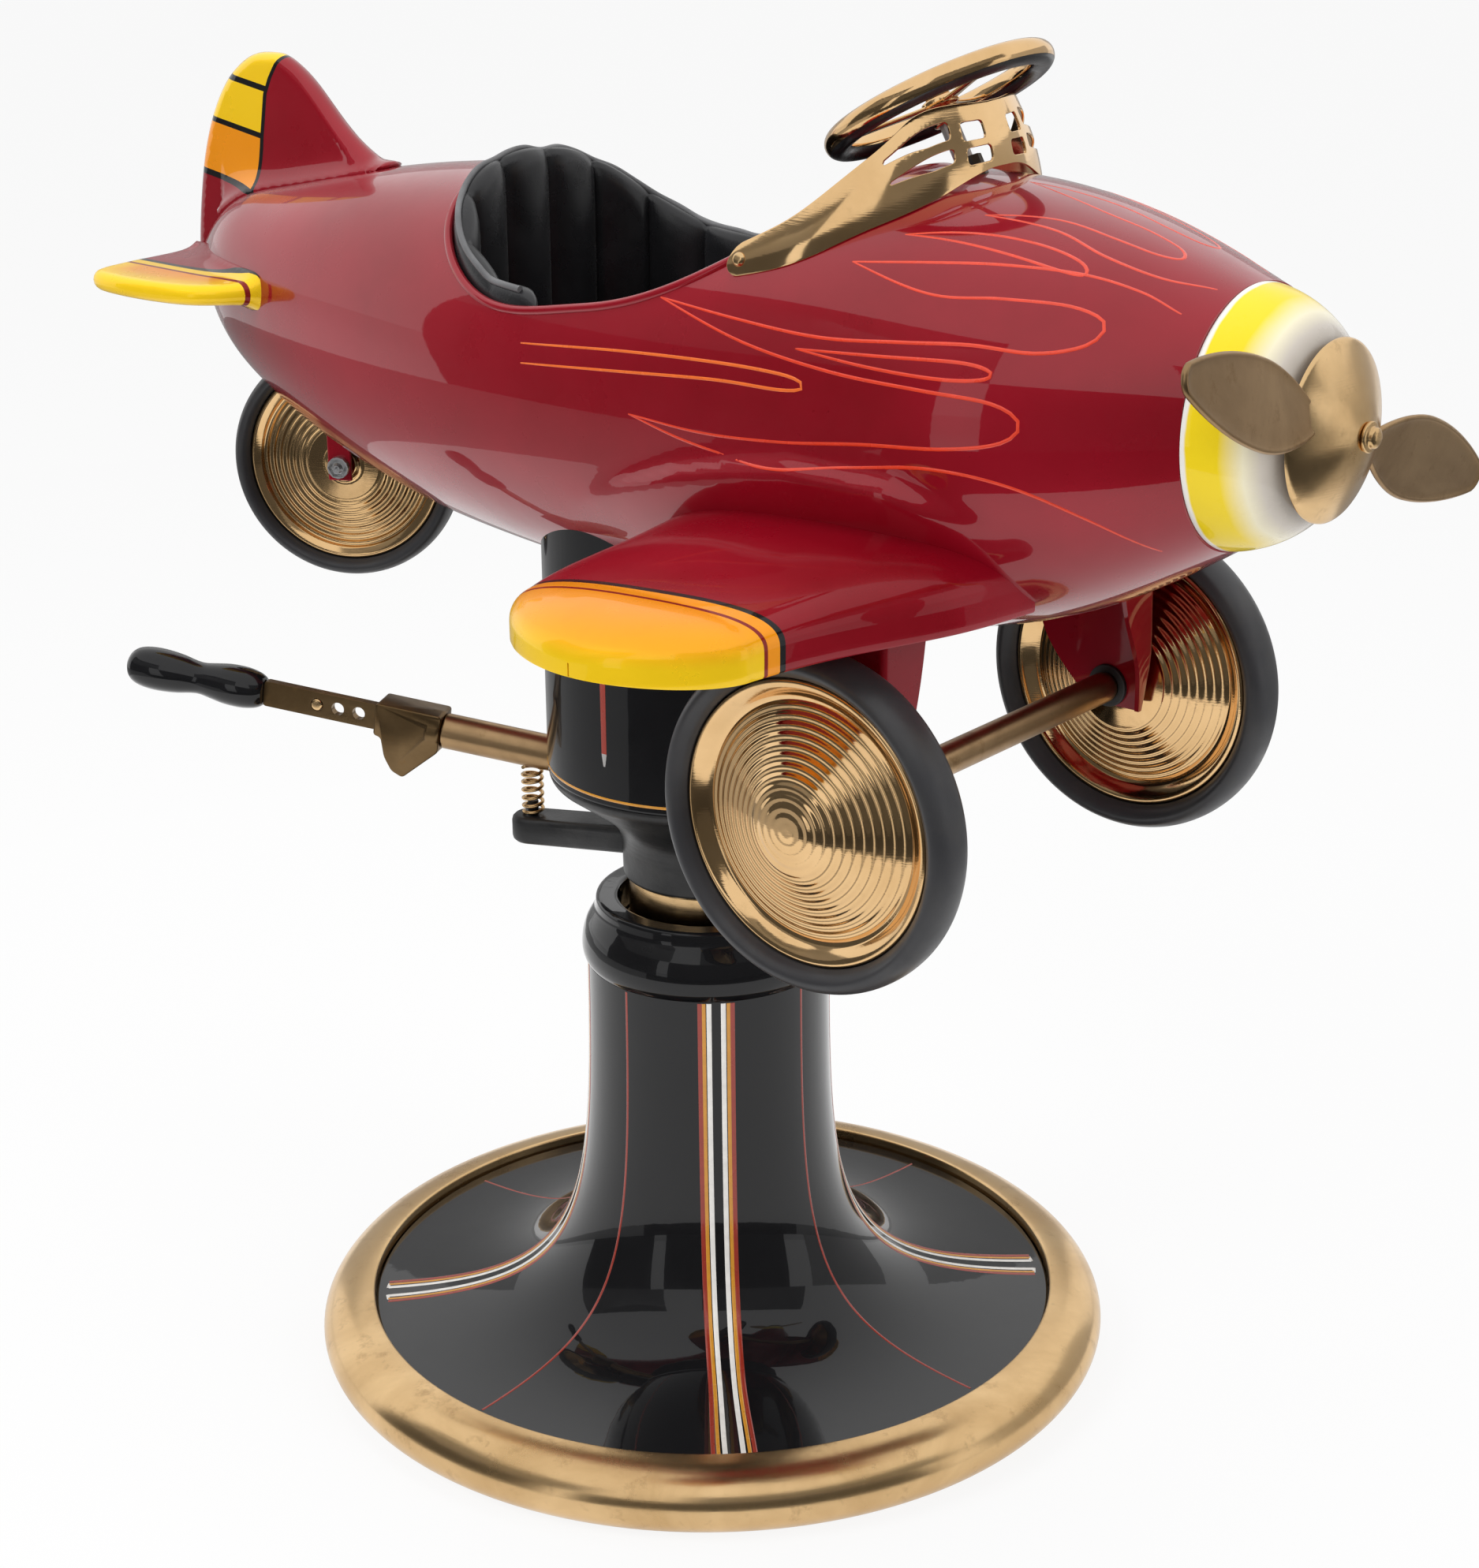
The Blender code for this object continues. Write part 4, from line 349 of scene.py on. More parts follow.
def soften(obj, sharp=38.0):
    """Smooth shading, with hard edges above an angle."""
    obj.data.shade_smooth()
    obj.data.set_sharp_from_angle(angle=math.radians(sharp))


def dress(obj, body, slot, *nodes):
    """Let a piece ride on a body and hide the nodes that it stands for; the slot is not used."""
    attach(obj, body)
    if nodes:
        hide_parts(*nodes)


def bake(obj):
    """Apply a mesh's modifiers."""
    graph = bpy.context.evaluated_depsgraph_get()
    mesh = bpy.data.meshes.new_from_object(obj.evaluated_get(graph), depsgraph=graph)
    old = obj.data
    obj.modifiers.clear()
    obj.data = mesh
    mesh.name = obj.name
    bpy.data.meshes.remove(old)


def combine(obj, other, operation):
    """Boolean one mesh with another, which is used up."""
    step = obj.modifiers.new("combine", "BOOLEAN")
    step.operation = operation
    step.solver = "EXACT"
    step.object = other
    bake(obj)
    bpy.data.objects.remove(other)


def bevelled(obj, width, segments=3, angle=40.0):
    """Round a mesh's hard edges."""
    step = obj.modifiers.new("bevel", "BEVEL")
    step.width = width
    step.segments = segments
    step.limit_method = "ANGLE"
    step.angle_limit = math.radians(angle)
    obj.modifiers.new("weighted", "WEIGHTED_NORMAL")
    bake(obj)


def thicken(obj, wall, outside):
    """Give a sheet a wall on its inner side; outside is positive where its faces look outwards."""
    step = obj.modifiers.new("wall", "SOLIDIFY")
    step.thickness = wall
    step.offset = -1.0 if outside > 0 else 1.0
    bake(obj)


def supported(profile):
    """A closed section with more points near the ends of its long sides, which keeps their shading even."""
    room = 0.0007
    out = []
    for a, b in zip(profile, profile[1:] + profile[:1]):
        out.append(a)
        length = math.hypot(b[0] - a[0], b[1] - a[1])
        if length > 6 * room:
            for t in (room / length, 1 - room / length):
                out.append((a[0] + t * (b[0] - a[0]), a[1] + t * (b[1] - a[1])))
    return out


def lathe(name, profile, material, segments=128, matrix=None, sharp=38.0):
    """A closed section (radius, height) turned round Z, then placed."""
    verts = []
    rows = []
    for r, z in supported([(float(r), float(z)) for r, z in profile]):
        start = len(verts)
        if r < 1e-6:
            rows.append([start])
            verts.append((0.0, 0.0, z))
        else:
            rows.append(list(range(start, start + segments)))
            verts += [polar(r, 2 * math.pi * k / segments, z) for k in range(segments)]
    faces = []
    for a, b in zip(rows, rows[1:] + rows[:1]):
        for k in range(segments):
            j = (k + 1) % segments
            if len(a) == 1 and len(b) == 1:
                break
            if len(a) == 1:
                faces.append((a[0], b[k], b[j]))
            elif len(b) == 1:
                faces.append((a[k], b[0], a[j]))
            else:
                faces.append((a[k], b[k], b[j], a[j]))
    return new_object(name, verts, faces, material, sharp, matrix)


def loft(name, rings, material, sharp=38.0, matrix=None):
    """Rings of equally many points joined into a closed body."""
    count = len(rings[0])
    verts = [p for ring in rings for p in ring]
    faces = [tuple(reversed(range(count)))]
    for i in range(len(rings) - 1):
        for k in range(count):
            j = (k + 1) % count
            faces.append((i * count + k, i * count + j, (i + 1) * count + j, (i + 1) * count + k))
    faces.append(tuple(range((len(rings) - 1) * count, len(rings) * count)))
    return new_object(name, verts, faces, material, sharp, matrix)


def prism(name, outline, low, high, material, matrix=None):
    """An outline in plan, drawn up between two levels."""
    return loft(name, [[(x, y, z) for x, y in outline] for z in (low, high)], material, matrix=matrix)


def tube_mesh(points, radius, around, closed=False, normals=None, flat=1.0, first=0):
    """Vertices and faces of a tube along a line; flat squeezes it along the normals."""
    points = np.array(points, float)
    count = len(points)
    radii = np.broadcast_to(np.array(radius, float), (count,))
    if closed:
        tangents = np.roll(points, -1, axis=0) - np.roll(points, 1, axis=0)
    else:
        tangents = np.gradient(points, axis=0)
    tangents /= np.linalg.norm(tangents, axis=1)[:, None]
    if normals is None:
        start = np.cross(tangents[0], (0.0, 0.0, 1.0))
        if np.linalg.norm(start) < 0.1:
            start = np.cross(tangents[0], (0.0, 1.0, 0.0))
        ups = [start / np.linalg.norm(start)]
        for i in range(1, count):
            up = ups[-1] - tangents[i] * np.dot(ups[-1], tangents[i])
            ups.append(up / np.linalg.norm(up))
    else:
        ups = [n / np.linalg.norm(n) for n in np.array(normals, float)]
    verts = []
    for p, t, u, r in zip(points, tangents, ups, radii):
        side = np.cross(t, u)
        for k in range(around):
            a = 2 * math.pi * k / around
            verts.append(p + r * (side * math.cos(a) + flat * u * math.sin(a)))
    faces = []
    for i in range(count if closed else count - 1):
        n = (i + 1) % count
        for k in range(around):
            j = (k + 1) % around
            corners = (i * around + k, i * around + j, n * around + j, n * around + k)
            faces.append(tuple(first + v for v in corners))
    if not closed:
        faces.append(tuple(first + k for k in reversed(range(around))))
        faces.append(tuple(first + (count - 1) * around + k for k in range(around)))
    return verts, faces


def tube(name, points, radius, material, around, closed=False, matrix=None):
    """A round bar along a line."""
    verts, faces = tube_mesh(points, radius, around, closed)
    return new_object(name, verts, faces, material, 50.0, matrix)


def ribbons(name, lines, material, body, slot):
    """Painted lines: flat beads half sunk in the surface; each is (points, normals, half width)."""
    verts = []
    faces = []
    for points, normals, half in lines:
        flat = LINE_HEIGHT / float(np.max(half))
        more, quads = tube_mesh(points, half, 6, False, normals, flat, len(verts))
        verts += more
        faces += quads
    dress(new_object(name, verts, faces, material, 80.0), body, slot)


def outline_distance(points, outline):
    """Distance of 2-D points to a closed outline."""
    points = np.array(points, float)
    best = np.full(len(points), 9.0)
    for a, b in zip(outline, np.roll(outline, -1, axis=0)):
        edge = b - a
        t = np.clip(((points - a) @ edge) / max(edge @ edge, 1e-18), 0, 1)
        best = np.minimum(best, np.linalg.norm(points - (a + t[:, None] * edge), axis=1))
    return best


def inside_outline(points, outline):
    """Which 2-D points lie inside a closed outline."""
    points = np.array(points, float)
    x, y = points[:, 0], points[:, 1]
    inside = np.zeros(len(points), bool)
    for (ax, ay), (bx, by) in zip(outline, np.roll(outline, -1, axis=0)):
        crosses = (ay > y) != (by > y)
        with np.errstate(divide="ignore", invalid="ignore"):
            at = ax + (y - ay) / (by - ay) * (bx - ax)
        inside ^= crosses & (x < at)
    return inside


def panel(outline, holes, step, insets=()):
    """Triangles that fill an outline less its holes, with points at even steps."""
    outline = np.array(outline, float)
    points = [tuple(p) for p in outline]
    edges = [(i, (i + 1) % len(points)) for i in range(len(points))]
    for hole in holes:
        first = len(points)
        points += [tuple(p) for p in hole]
        edges += [(first + i, first + (i + 1) % len(hole)) for i in range(len(hole))]
    low, high = outline.min(axis=0), outline.max(axis=0)
    grid = []
    for row, y in enumerate(np.arange(low[1], high[1], 0.866 * step)):
        for x in np.arange(low[0] + (row % 2) * 0.5 * step, high[0], step):
            grid.append((x, y))
    grid = np.array(grid)
    room = 0.6 * step
    keep = inside_outline(grid, outline) & (outline_distance(grid, outline) > max(insets, default=0.0) + room)
    for hole in holes:
        hole = np.array(hole, float)
        keep &= ~inside_outline(grid, hole) & (outline_distance(grid, hole) > room)
    points += [tuple(p) for p in grid[keep]]
    if insets:
        tangents = np.roll(outline, -1, axis=0) - np.roll(outline, 1, axis=0)
        tangents /= np.linalg.norm(tangents, axis=1)[:, None]
        after = np.roll(outline, -1, axis=0)
        area = np.sum(outline[:, 0] * after[:, 1] - after[:, 0] * outline[:, 1])
        inward = np.stack([-tangents[:, 1], tangents[:, 0]], axis=1) * (1 if area > 0 else -1)
        for inset in insets:
            ring = outline + inset * inward
            good = inside_outline(ring, outline) & (outline_distance(ring, outline) > 0.9 * inset)
            points += [tuple(p) for p in ring[good]]
    found = delaunay_2d_cdt([Vector(p) for p in points], edges, [], 0, 1e-7)
    flat = np.array([tuple(p) for p in found[0]])
    faces = [tuple(f) for f in found[2]]
    middles = np.array([flat[list(f)].mean(axis=0) for f in faces])
    keep = inside_outline(middles, outline)
    for hole in holes:
        keep &= ~inside_outline(middles, np.array(hole, float))
    return flat, [f for f, good in zip(faces, keep) if good]


def pillow(name, outline, half_thickness, place, material, step, insets=(0.0006, 0.002, 0.004, 0.007)):
    """A plate with a rounded edge: both sides of an outline, half_thickness(x, y, distance) apart."""
    flat, faces = panel(outline, (), step, insets)
    far = outline_distance(flat, np.array(outline, float))
    far[far < 1e-5] = 0.0
    verts = []
    other = []
    for (x, y), d in zip(flat, far):
        half = half_thickness(x, y, d) if d > 0 else 0.0
        verts.append(place(x, y, half))
        other.append(place(x, y, -half))
    count = len(verts)
    every = faces + [tuple(reversed([i if far[i] == 0.0 else i + count for i in f])) for f in faces]
    return new_object(name, verts + other, every, material, 60.0)


def round_edge(distance, width):
    """Share of the full thickness at a distance from a rounded edge."""
    t = min(1.0, distance / width)
    return math.sqrt(max(0.0, 1 - (1 - t) ** 2))


lines_at = spline([row[0] for row in FUSELAGE_LINES], [row[1:] for row in FUSELAGE_LINES])


def fairing(x, z):
    """How far the fairing over the wing's root stands out of the skin."""
    edge = float(np.interp(x, [p[0] for p in FAIRING_EDGE], [p[1] for p in FAIRING_EDGE]))
    along = smooth(-0.02, 0.13, x) * (1 - smooth(0.29, 0.385, x))
    up = z - edge
    share = math.exp(-(up / 0.010) ** 2) if up > 0 else 1 - 0.6 * smooth(0.0, 0.11, -up)
    return FAIRING_BULGE * along * share


def skin_point(x, angle, grow=0.0, bulge=True):
    """A point of the skin at a station, at an angle from port upwards."""
    top, bottom, half, widest = lines_at(x)
    rise = top - widest if math.sin(angle) >= 0 else widest - bottom
    y = (half + grow) * power(math.cos(angle), 2 / FULLNESS)
    z = BELLY_Z + widest + (rise + grow) * power(math.sin(angle), 2 / FULLNESS)
    if bulge and abs(y) > 0.5 * half:
        y += math.copysign(fairing(x, z) * smooth(0.5, 0.75, abs(y) / half), y)
    return np.array((x, y, z))


def skin_normal(x, angle):
    """Outward direction of the skin."""
    step = 0.003
    along = skin_point(x + step, angle) - skin_point(x - step, angle)
    around = skin_point(x, angle + 0.02) - skin_point(x, angle - 0.02)
    normal = np.cross(around, along)
    return normal / np.linalg.norm(normal)


def side_angle(x, z, sign):
    """The skin's angle at a height on the port (1) or starboard (-1) side."""
    top, bottom, _, widest = lines_at(x)
    up = z - BELLY_Z - widest
    share = up / (top - widest) if up > 0 else up / (widest - bottom)
    angle = math.asin(power(min(1.0, max(-1.0, share)), FULLNESS / 2))
    return angle if sign > 0 else math.pi - angle


def skin_top(x, y):
    """Height of the upper skin over a point of the plan."""
    top, _, half, widest = lines_at(x)
    share = min(abs(y) / half, 1.0)
    return BELLY_Z + widest + (top - widest) * (1 - share ** FULLNESS) ** (1 / FULLNESS)


def top_angle(x, y):
    """The skin's angle over a point of the plan."""
    half = lines_at(x)[2]
    return math.acos(power(max(-1.0, min(1.0, y / half)), FULLNESS / 2))


def skin_line(points, find, half):
    """A painted line on the skin, thinner at its ends; find gives the skin's angle at a point."""
    taper = 0.4
    line = rounded_line(points, 90)
    places = [(x, find(x, other)) for x, other in line]
    ends = np.sin(np.pi * np.linspace(0.0, 1.0, len(line))) ** 0.5
    return ([skin_point(x, a) for x, a in places], [skin_normal(x, a) for x, a in places],
            half * (taper + (1 - taper) * ends))


def fuselage_loft(name, grow, tail, nose, count, around, bulge, material=None):
    """The fuselage as one closed body, grown outwards or inwards."""
    angles = [2 * math.pi * k / around for k in range(around)]
    rings = []
    for x in np.linspace(tail, nose, count):
        station = min(max(x, TAIL_X), NOSE_X)
        ring = [skin_point(station, a, grow, bulge) for a in angles]
        rings.append([(x, p[1], p[2]) for p in ring])
    return loft(name, rings, material)


def cut_by_body(obj, grow, bulge=True):
    """Cut away what a piece has inside the fuselage."""
    combine(obj, fuselage_loft("body", grow, TAIL_X, NOSE_X, 60, 72, bulge), "DIFFERENCE")


def cockpit_point(angle, inset):
    """A point of the cockpit's mouth in plan, moved inwards."""
    middle = 0.008
    half_width = 0.1485
    reach, squareness = (0.200, 2.4) if math.cos(angle) >= 0 else (0.198, 3.1)
    x = middle + (reach - inset) * power(math.cos(angle), 2 / squareness)
    y = (half_width - inset) * power(math.sin(angle), 2 / squareness)
    return x, y


class Nodes:
    """A node tree, with short ways to add to it."""

    def __init__(self, tree):
        self.tree = tree

    def add(self, kind, inputs=None, **settings):
        node = self.tree.nodes.new(kind)
        for key, value in settings.items():
            setattr(node, key, value)
        for key, value in (inputs or {}).items():
            self.put(node.inputs[key], value)
        return node

    def put(self, socket, value):
        if isinstance(value, bpy.types.NodeSocket):
            self.tree.links.new(value, socket)
        else:
            socket.default_value = value

    def value(self, factor, low, high, start=0.0, end=1.0):
        node = self.add("ShaderNodeMapRange", {"Value": factor, "From Min": start, "From Max": end,
                                               "To Min": low, "To Max": high})
        return node.outputs["Result"]

    def math(self, operation, a, b):
        return self.add("ShaderNodeMath", {0: a, 1: b}, operation=operation).outputs[0]


class Look(Nodes):
    """A material, with short ways to paint it."""

    def __init__(self, name):
        self.material = bpy.data.materials.new(name)
        self.material.use_nodes = True
        super().__init__(self.material.node_tree)
        self.shader = self.tree.nodes["Principled BSDF"]
        self.place = self.add("ShaderNodeTexCoord").outputs["Object"]

    def set(self, **values):
        for key, value in values.items():
            self.put(self.shader.inputs[key.replace("_", " ")], value)

    def noise(self, scale, detail=3.0, roughness=0.5, vector=None, distortion=0.0):
        inputs = {"Vector": vector or self.place, "Scale": scale, "Detail": detail, "Roughness": roughness,
                  "Distortion": distortion}
        return self.add("ShaderNodeTexNoise", inputs).outputs["Fac"]

    def ramp(self, factor, stops, constant=False):
        node = self.add("ShaderNodeValToRGB", {"Fac": factor})
        node.color_ramp.interpolation = "CONSTANT" if constant else "LINEAR"
        while len(node.color_ramp.elements) < len(stops):
            node.color_ramp.elements.new(1.0)
        for element, (at, color) in zip(node.color_ramp.elements, stops):
            element.position = at
            element.color = (*color, 1.0)
        return node.outputs["Color"]

    def mix(self, factor, a, b):
        node = self.add("ShaderNodeMix", data_type="RGBA")
        for socket, value in ((node.inputs[0], factor), (node.inputs[6], a), (node.inputs[7], b)):
            self.put(socket, (*value, 1.0) if isinstance(value, tuple) else value)
        return node.outputs[2]

    def stretched(self, scale):
        node = self.add("ShaderNodeMapping", {"Vector": self.place, "Scale": scale})
        return node.outputs["Vector"]

    def bump(self, height, strength, distance, normal=None):
        inputs = {"Height": height, "Strength": strength, "Distance": distance}
        if normal:
            inputs["Normal"] = normal
        return self.add("ShaderNodeBump", inputs).outputs["Normal"]

    def attribute(self, name):
        return self.add("ShaderNodeAttribute", attribute_name=name).outputs["Fac"]

    def edge_wear(self, low, high):
        """1 on convex edges, 0 elsewhere."""
        point = self.add("ShaderNodeNewGeometry").outputs["Pointiness"]
        return self.value(point, 0.0, 1.0, low, high)


CANDY_DEEP = (0.205, 0.0016, 0.0065)
CANDY_BRIGHT = (0.31, 0.0032, 0.0145)
ORANGE = (0.87, 0.30, 0.006)
YELLOW = (0.93, 0.60, 0.010)
STRIPE_RED = (0.22, 0.010, 0.008)
INK = (0.006, 0.006, 0.007)


def scaled(color, factor):
    """A colour made darker or lighter."""
    return tuple(min(1.0, factor * c) for c in color)


def candy_color(look):
    """Candy paint's depth: broad and fine changes of tone."""
    broad = look.noise(5.0, 4.0)
    fine = look.noise(90.0, 2.0)
    tone = look.mix(look.value(broad, 0.0, 1.0, 0.3, 0.7), CANDY_DEEP, CANDY_BRIGHT)
    return look.mix(look.value(fine, 0.0, 0.15), tone, (0.36, 0.0045, 0.021))


def gloss_coat(look):
    """Clear coat with a little orange peel over a smudged gloss."""
    peel = 0.02
    look.set(Metallic=0.25, Coat_Weight=1.0, Coat_Roughness=0.025, Coat_IOR=1.5, Specular_IOR_Level=0.1)
    smudge = look.noise(14.0, 6.0, 0.62)
    look.set(Roughness=look.value(smudge, 0.24, 0.40, 0.35, 0.7))
    wave = look.noise(150.0, 2.0)
    look.set(Normal=look.bump(wave, peel, 0.0008), Coat_Normal=look.bump(wave, peel, 0.0005))


def candy_look():
    """Candy paint under a clear coat."""
    look = Look("candy_maroon")
    look.set(Base_Color=candy_color(look))
    gloss_coat(look)
    return look.material


def tip_look(name, stops, far_at):
    """Candy paint with stripes and a graded tip, by the attributes tip and edge."""
    look = Look(name)
    tip = look.attribute("tip")
    grade = look.ramp(look.attribute("edge"), ((0.0, ORANGE), (0.45, (0.88, 0.38, 0.007)), (0.95, YELLOW)))
    stripes = look.ramp(tip, [(0.0, INK)] + list(stops), True)
    striped = look.mix(look.math("GREATER_THAN", tip, far_at), stripes, grade)
    worn = look.mix(look.value(look.noise(60.0, 5.0), 0.0, 0.07, 0.55, 0.8), striped, (0.45, 0.12, 0.01))
    look.set(Base_Color=look.mix(look.math("GREATER_THAN", tip, 0.5), candy_color(look), worn))
    gloss_coat(look)
    look.set(Coat_Weight=0.5)
    return look.material


def fin_look():
    """Candy paint with framed blocks behind a line, by the attributes aft and rank."""
    look = Look("candy_blocks")
    aft = look.attribute("aft")
    rank = look.attribute("rank")
    blocks = look.ramp(rank, ((0.0, INK), (0.048, ORANGE), (0.43, INK), (0.475, YELLOW), (0.80, INK),
                              (0.845, YELLOW)), True)
    framed = look.mix(look.math("GREATER_THAN", aft, 0.522), INK, blocks)
    behind = look.math("GREATER_THAN", aft, 0.478)
    shown = look.math("MULTIPLY", behind, look.math("GREATER_THAN", rank, 0.002))
    look.set(Base_Color=look.mix(shown, candy_color(look), framed))
    gloss_coat(look)
    return look.material


def brass_look(name, light, dark, rough, patina):
    """Polished brass: warm tone changes, tarnish in patches, hairlines and smudged gloss."""
    look = Look(name)
    look.set(Metallic=1.0)
    cloud = look.noise(9.0, 6.0, 0.6, distortion=0.6)
    fine = look.noise(220.0, 3.0)
    tone = look.mix(look.value(cloud, 0.0, 1.0, 0.36, 0.66), light, dark)
    spots = look.value(look.noise(48.0, 6.0, 0.7), 0.0, patina, 0.56, 0.72)
    look.set(Base_Color=look.mix(spots, tone, (0.23, 0.13, 0.05)))
    hair = look.noise(1.0, 2.0, 0.5, look.stretched((60.0, 60.0, 900.0)))
    spread = look.math("ADD", look.value(cloud, rough[0], rough[1], 0.3, 0.7), look.value(fine, 0.0, 0.06))
    look.set(Roughness=look.math("ADD", spread, look.math("MULTIPLY", spots, 0.15)))
    look.set(Normal=look.bump(hair, 0.05, 0.0006, look.bump(look.noise(32.0, 3.0), 0.05, 0.002)))
    return look.material


def enamel_look():
    """Black gloss enamel with faint runs and rubbed edges."""
    look = Look("black_enamel")
    rub = look.value(look.noise(26.0, 7.0, 0.68), 0.0, 1.0, 0.55, 0.8)
    worn = look.math("MULTIPLY", look.edge_wear(0.56, 0.66), rub)
    tone = look.mix(look.value(look.noise(7.0, 4.0), 0.0, 1.0), (0.004, 0.004, 0.0045), (0.008, 0.008, 0.009))
    look.set(Base_Color=look.mix(worn, tone, (0.12, 0.10, 0.085)), Specular_IOR_Level=0.08)
    look.set(Roughness=look.value(look.noise(18.0, 7.0, 0.65), 0.12, 0.30, 0.35, 0.75))
    look.set(Coat_Weight=1.0, Coat_Roughness=0.025, Coat_IOR=1.4)
    wave = look.noise(42.0, 3.0)
    look.set(Normal=look.bump(wave, 0.05, 0.002), Coat_Normal=look.bump(wave, 0.025, 0.002))
    return look.material


def cast_look():
    """Black paint on rough cast iron: satin, grainy, dusty in patches."""
    look = Look("cast_enamel")
    dust = look.value(look.noise(34.0, 6.0, 0.66), 0.0, 0.6, 0.48, 0.8)
    look.set(Base_Color=look.mix(dust, (0.012, 0.012, 0.0125), (0.040, 0.038, 0.036)))
    look.set(Roughness=look.value(look.noise(24.0, 5.0), 0.30, 0.50, 0.3, 0.7))
    grain = look.noise(320.0, 4.0, 0.6)
    look.set(Normal=look.bump(grain, 0.16, 0.0010, look.bump(look.noise(70.0, 3.0), 0.10, 0.0015)))
    return look.material


def rubber_look(name, base, rough):
    """Black rubber: fine grain, dusty patches and scuffs."""
    look = Look(name)
    dust = look.value(look.noise(20.0, 6.0, 0.65), 0.0, 0.5, 0.48, 0.8)
    look.set(Base_Color=look.mix(dust, base, (0.055, 0.052, 0.048)))
    look.set(Roughness=look.value(look.noise(35.0, 5.0), rough[0], rough[1], 0.3, 0.7))
    grain = look.noise(900.0, 2.0)
    look.set(Normal=look.bump(grain, 0.10, 0.0006, look.bump(look.noise(60.0, 3.0), 0.06, 0.001)))
    return look.material


def vinyl_look(name, base, shine):
    """Upholstery vinyl: pebble grain, fine creases and a soft sheen on the crowns."""
    look = Look(name)
    cells = look.add("ShaderNodeTexVoronoi", {"Vector": look.place, "Scale": 620.0, "Randomness": 1.0},
                     feature="DISTANCE_TO_EDGE").outputs["Distance"]
    crease = look.noise(1.0, 5.0, 0.6, look.stretched((70.0, 70.0, 22.0)), 1.2)
    patches = look.value(look.noise(26.0, 5.0), 0.0, 1.0, 0.35, 0.7)
    look.set(Base_Color=look.mix(patches, base, scaled(base, 1.8)))
    look.set(Roughness=look.value(look.noise(40.0, 5.0), shine[0], shine[1], 0.3, 0.7))
    look.set(Sheen_Weight=0.06, Sheen_Roughness=0.4)
    pebble = look.bump(look.value(cells, 0.0, 1.0, 0.0, 0.22), 0.10, 0.0004)
    look.set(Normal=look.bump(crease, 0.10, 0.0016, pebble))
    return look.material


def cap_look():
    """Airbrushed nose cap, by the attribute along: yellow at the rear, through white to grey; the grey
    towards the front is painted shade beside the spinner.
    """
    look = Look("nose_yellow")
    paint_and_shade_along = look.math("ADD", look.attribute("along"), look.value(look.noise(30.0, 4.0), -0.03, 0.03))
    white = (0.82, 0.80, 0.75)
    # The last two stops, grey at the front, are painted shade beside the spinner; the white and yellow before
    # them are the cap's own paint.
    stops = ((0.0, white), (0.05, white), (0.075, (0.86, 0.64, 0.010)), (0.42, (0.86, 0.64, 0.012)),
             (0.66, (0.82, 0.76, 0.55)), (0.82, (0.55, 0.50, 0.44)), (1.0, (0.34, 0.30, 0.26)))
    look.set(Base_Color=look.ramp(paint_and_shade_along, stops))
    gloss_coat(look)
    look.set(Metallic=0.0, Coat_Weight=0.6)
    return look.material


def steel_look(name, base, rough):
    """Zinc-plated or cast metal with a mottled grain."""
    look = Look(name)
    look.set(Metallic=0.9)
    tone = look.noise(60.0, 6.0, 0.65)
    look.set(Base_Color=look.mix(tone, scaled(base, 0.7), scaled(base, 1.2)))
    look.set(Roughness=look.value(tone, rough[0], rough[1]))
    look.set(Normal=look.bump(look.noise(320.0, 4.0), 0.12, 0.0008))
    return look.material


def line_look(name, color):
    """Sign painter's enamel: slight changes of tone and gloss along the stroke."""
    look = Look(name)
    stroke = look.noise(120.0, 4.0)
    look.set(Base_Color=look.mix(stroke, scaled(color, 0.8), scaled(color, 1.12)))
    look.set(Roughness=look.value(look.noise(40.0, 3.0), 0.18, 0.36))
    look.set(Coat_Weight=0.6, Coat_Roughness=0.06)
    return look.material


CANDY = candy_look()
WING_STRIPES = ((0.5, INK), (0.545, ORANGE), (0.645, STRIPE_RED), (0.68, ORANGE))
WING_PAINT = tip_look("candy_wing", WING_STRIPES, 0.68)
STABILISER_STRIPES = ((0.5, INK), (0.56, YELLOW), (0.66, STRIPE_RED), (0.70, ORANGE))
STABILISER_PAINT = tip_look("candy_stabiliser", STABILISER_STRIPES, 0.70)
FIN_PAINT = fin_look()
BRASS = brass_look("polished_brass", (0.80, 0.55, 0.285), (0.64, 0.42, 0.20), (0.13, 0.25), 0.35)
MIRROR_BRASS = brass_look("mirror_brass", (0.84, 0.56, 0.285), (0.72, 0.46, 0.215), (0.05, 0.10), 0.12)
AGED_BRASS = brass_look("aged_brass", (0.46, 0.30, 0.155), (0.30, 0.19, 0.095), (0.24, 0.40), 0.6)
DARK_BRASS = brass_look("dark_brass", (0.21, 0.135, 0.065), (0.11, 0.068, 0.03), (0.24, 0.40), 0.6)
ENAMEL = enamel_look()
CAST = cast_look()
TYRE = rubber_look("tyre_rubber", (0.030, 0.030, 0.033), (0.30, 0.48))
RUBBER = rubber_look("black_rubber", (0.010, 0.010, 0.011), (0.16, 0.34))
VINYL = vinyl_look("black_vinyl", (0.008, 0.008, 0.009), (0.22, 0.36))
WELT = vinyl_look("welt_vinyl", (0.085, 0.085, 0.088), (0.30, 0.45))
CAP = cap_look()
ZINC = steel_look("zinc_steel", (0.55, 0.55, 0.56), (0.28, 0.5))
IRON = steel_look("cast_iron", (0.09, 0.09, 0.09), (0.5, 0.75))
LINE_WHITE = line_look("line_white", (0.82, 0.80, 0.76))
LINE_GREY = line_look("line_grey", (0.35, 0.34, 0.33))
LINE_GOLD = line_look("line_gold", (0.62, 0.27, 0.02))
LINE_RED = line_look("line_red", (0.30, 0.026, 0.012))
LINE_FLAME = line_look("line_flame", (0.70, 0.042, 0.012))
LINE_COACH = line_look("line_coach", (0.78, 0.14, 0.015))


def rotation(degrees, axis):
    """A turn about a main axis."""
    return Matrix.Rotation(math.radians(degrees), 4, axis)


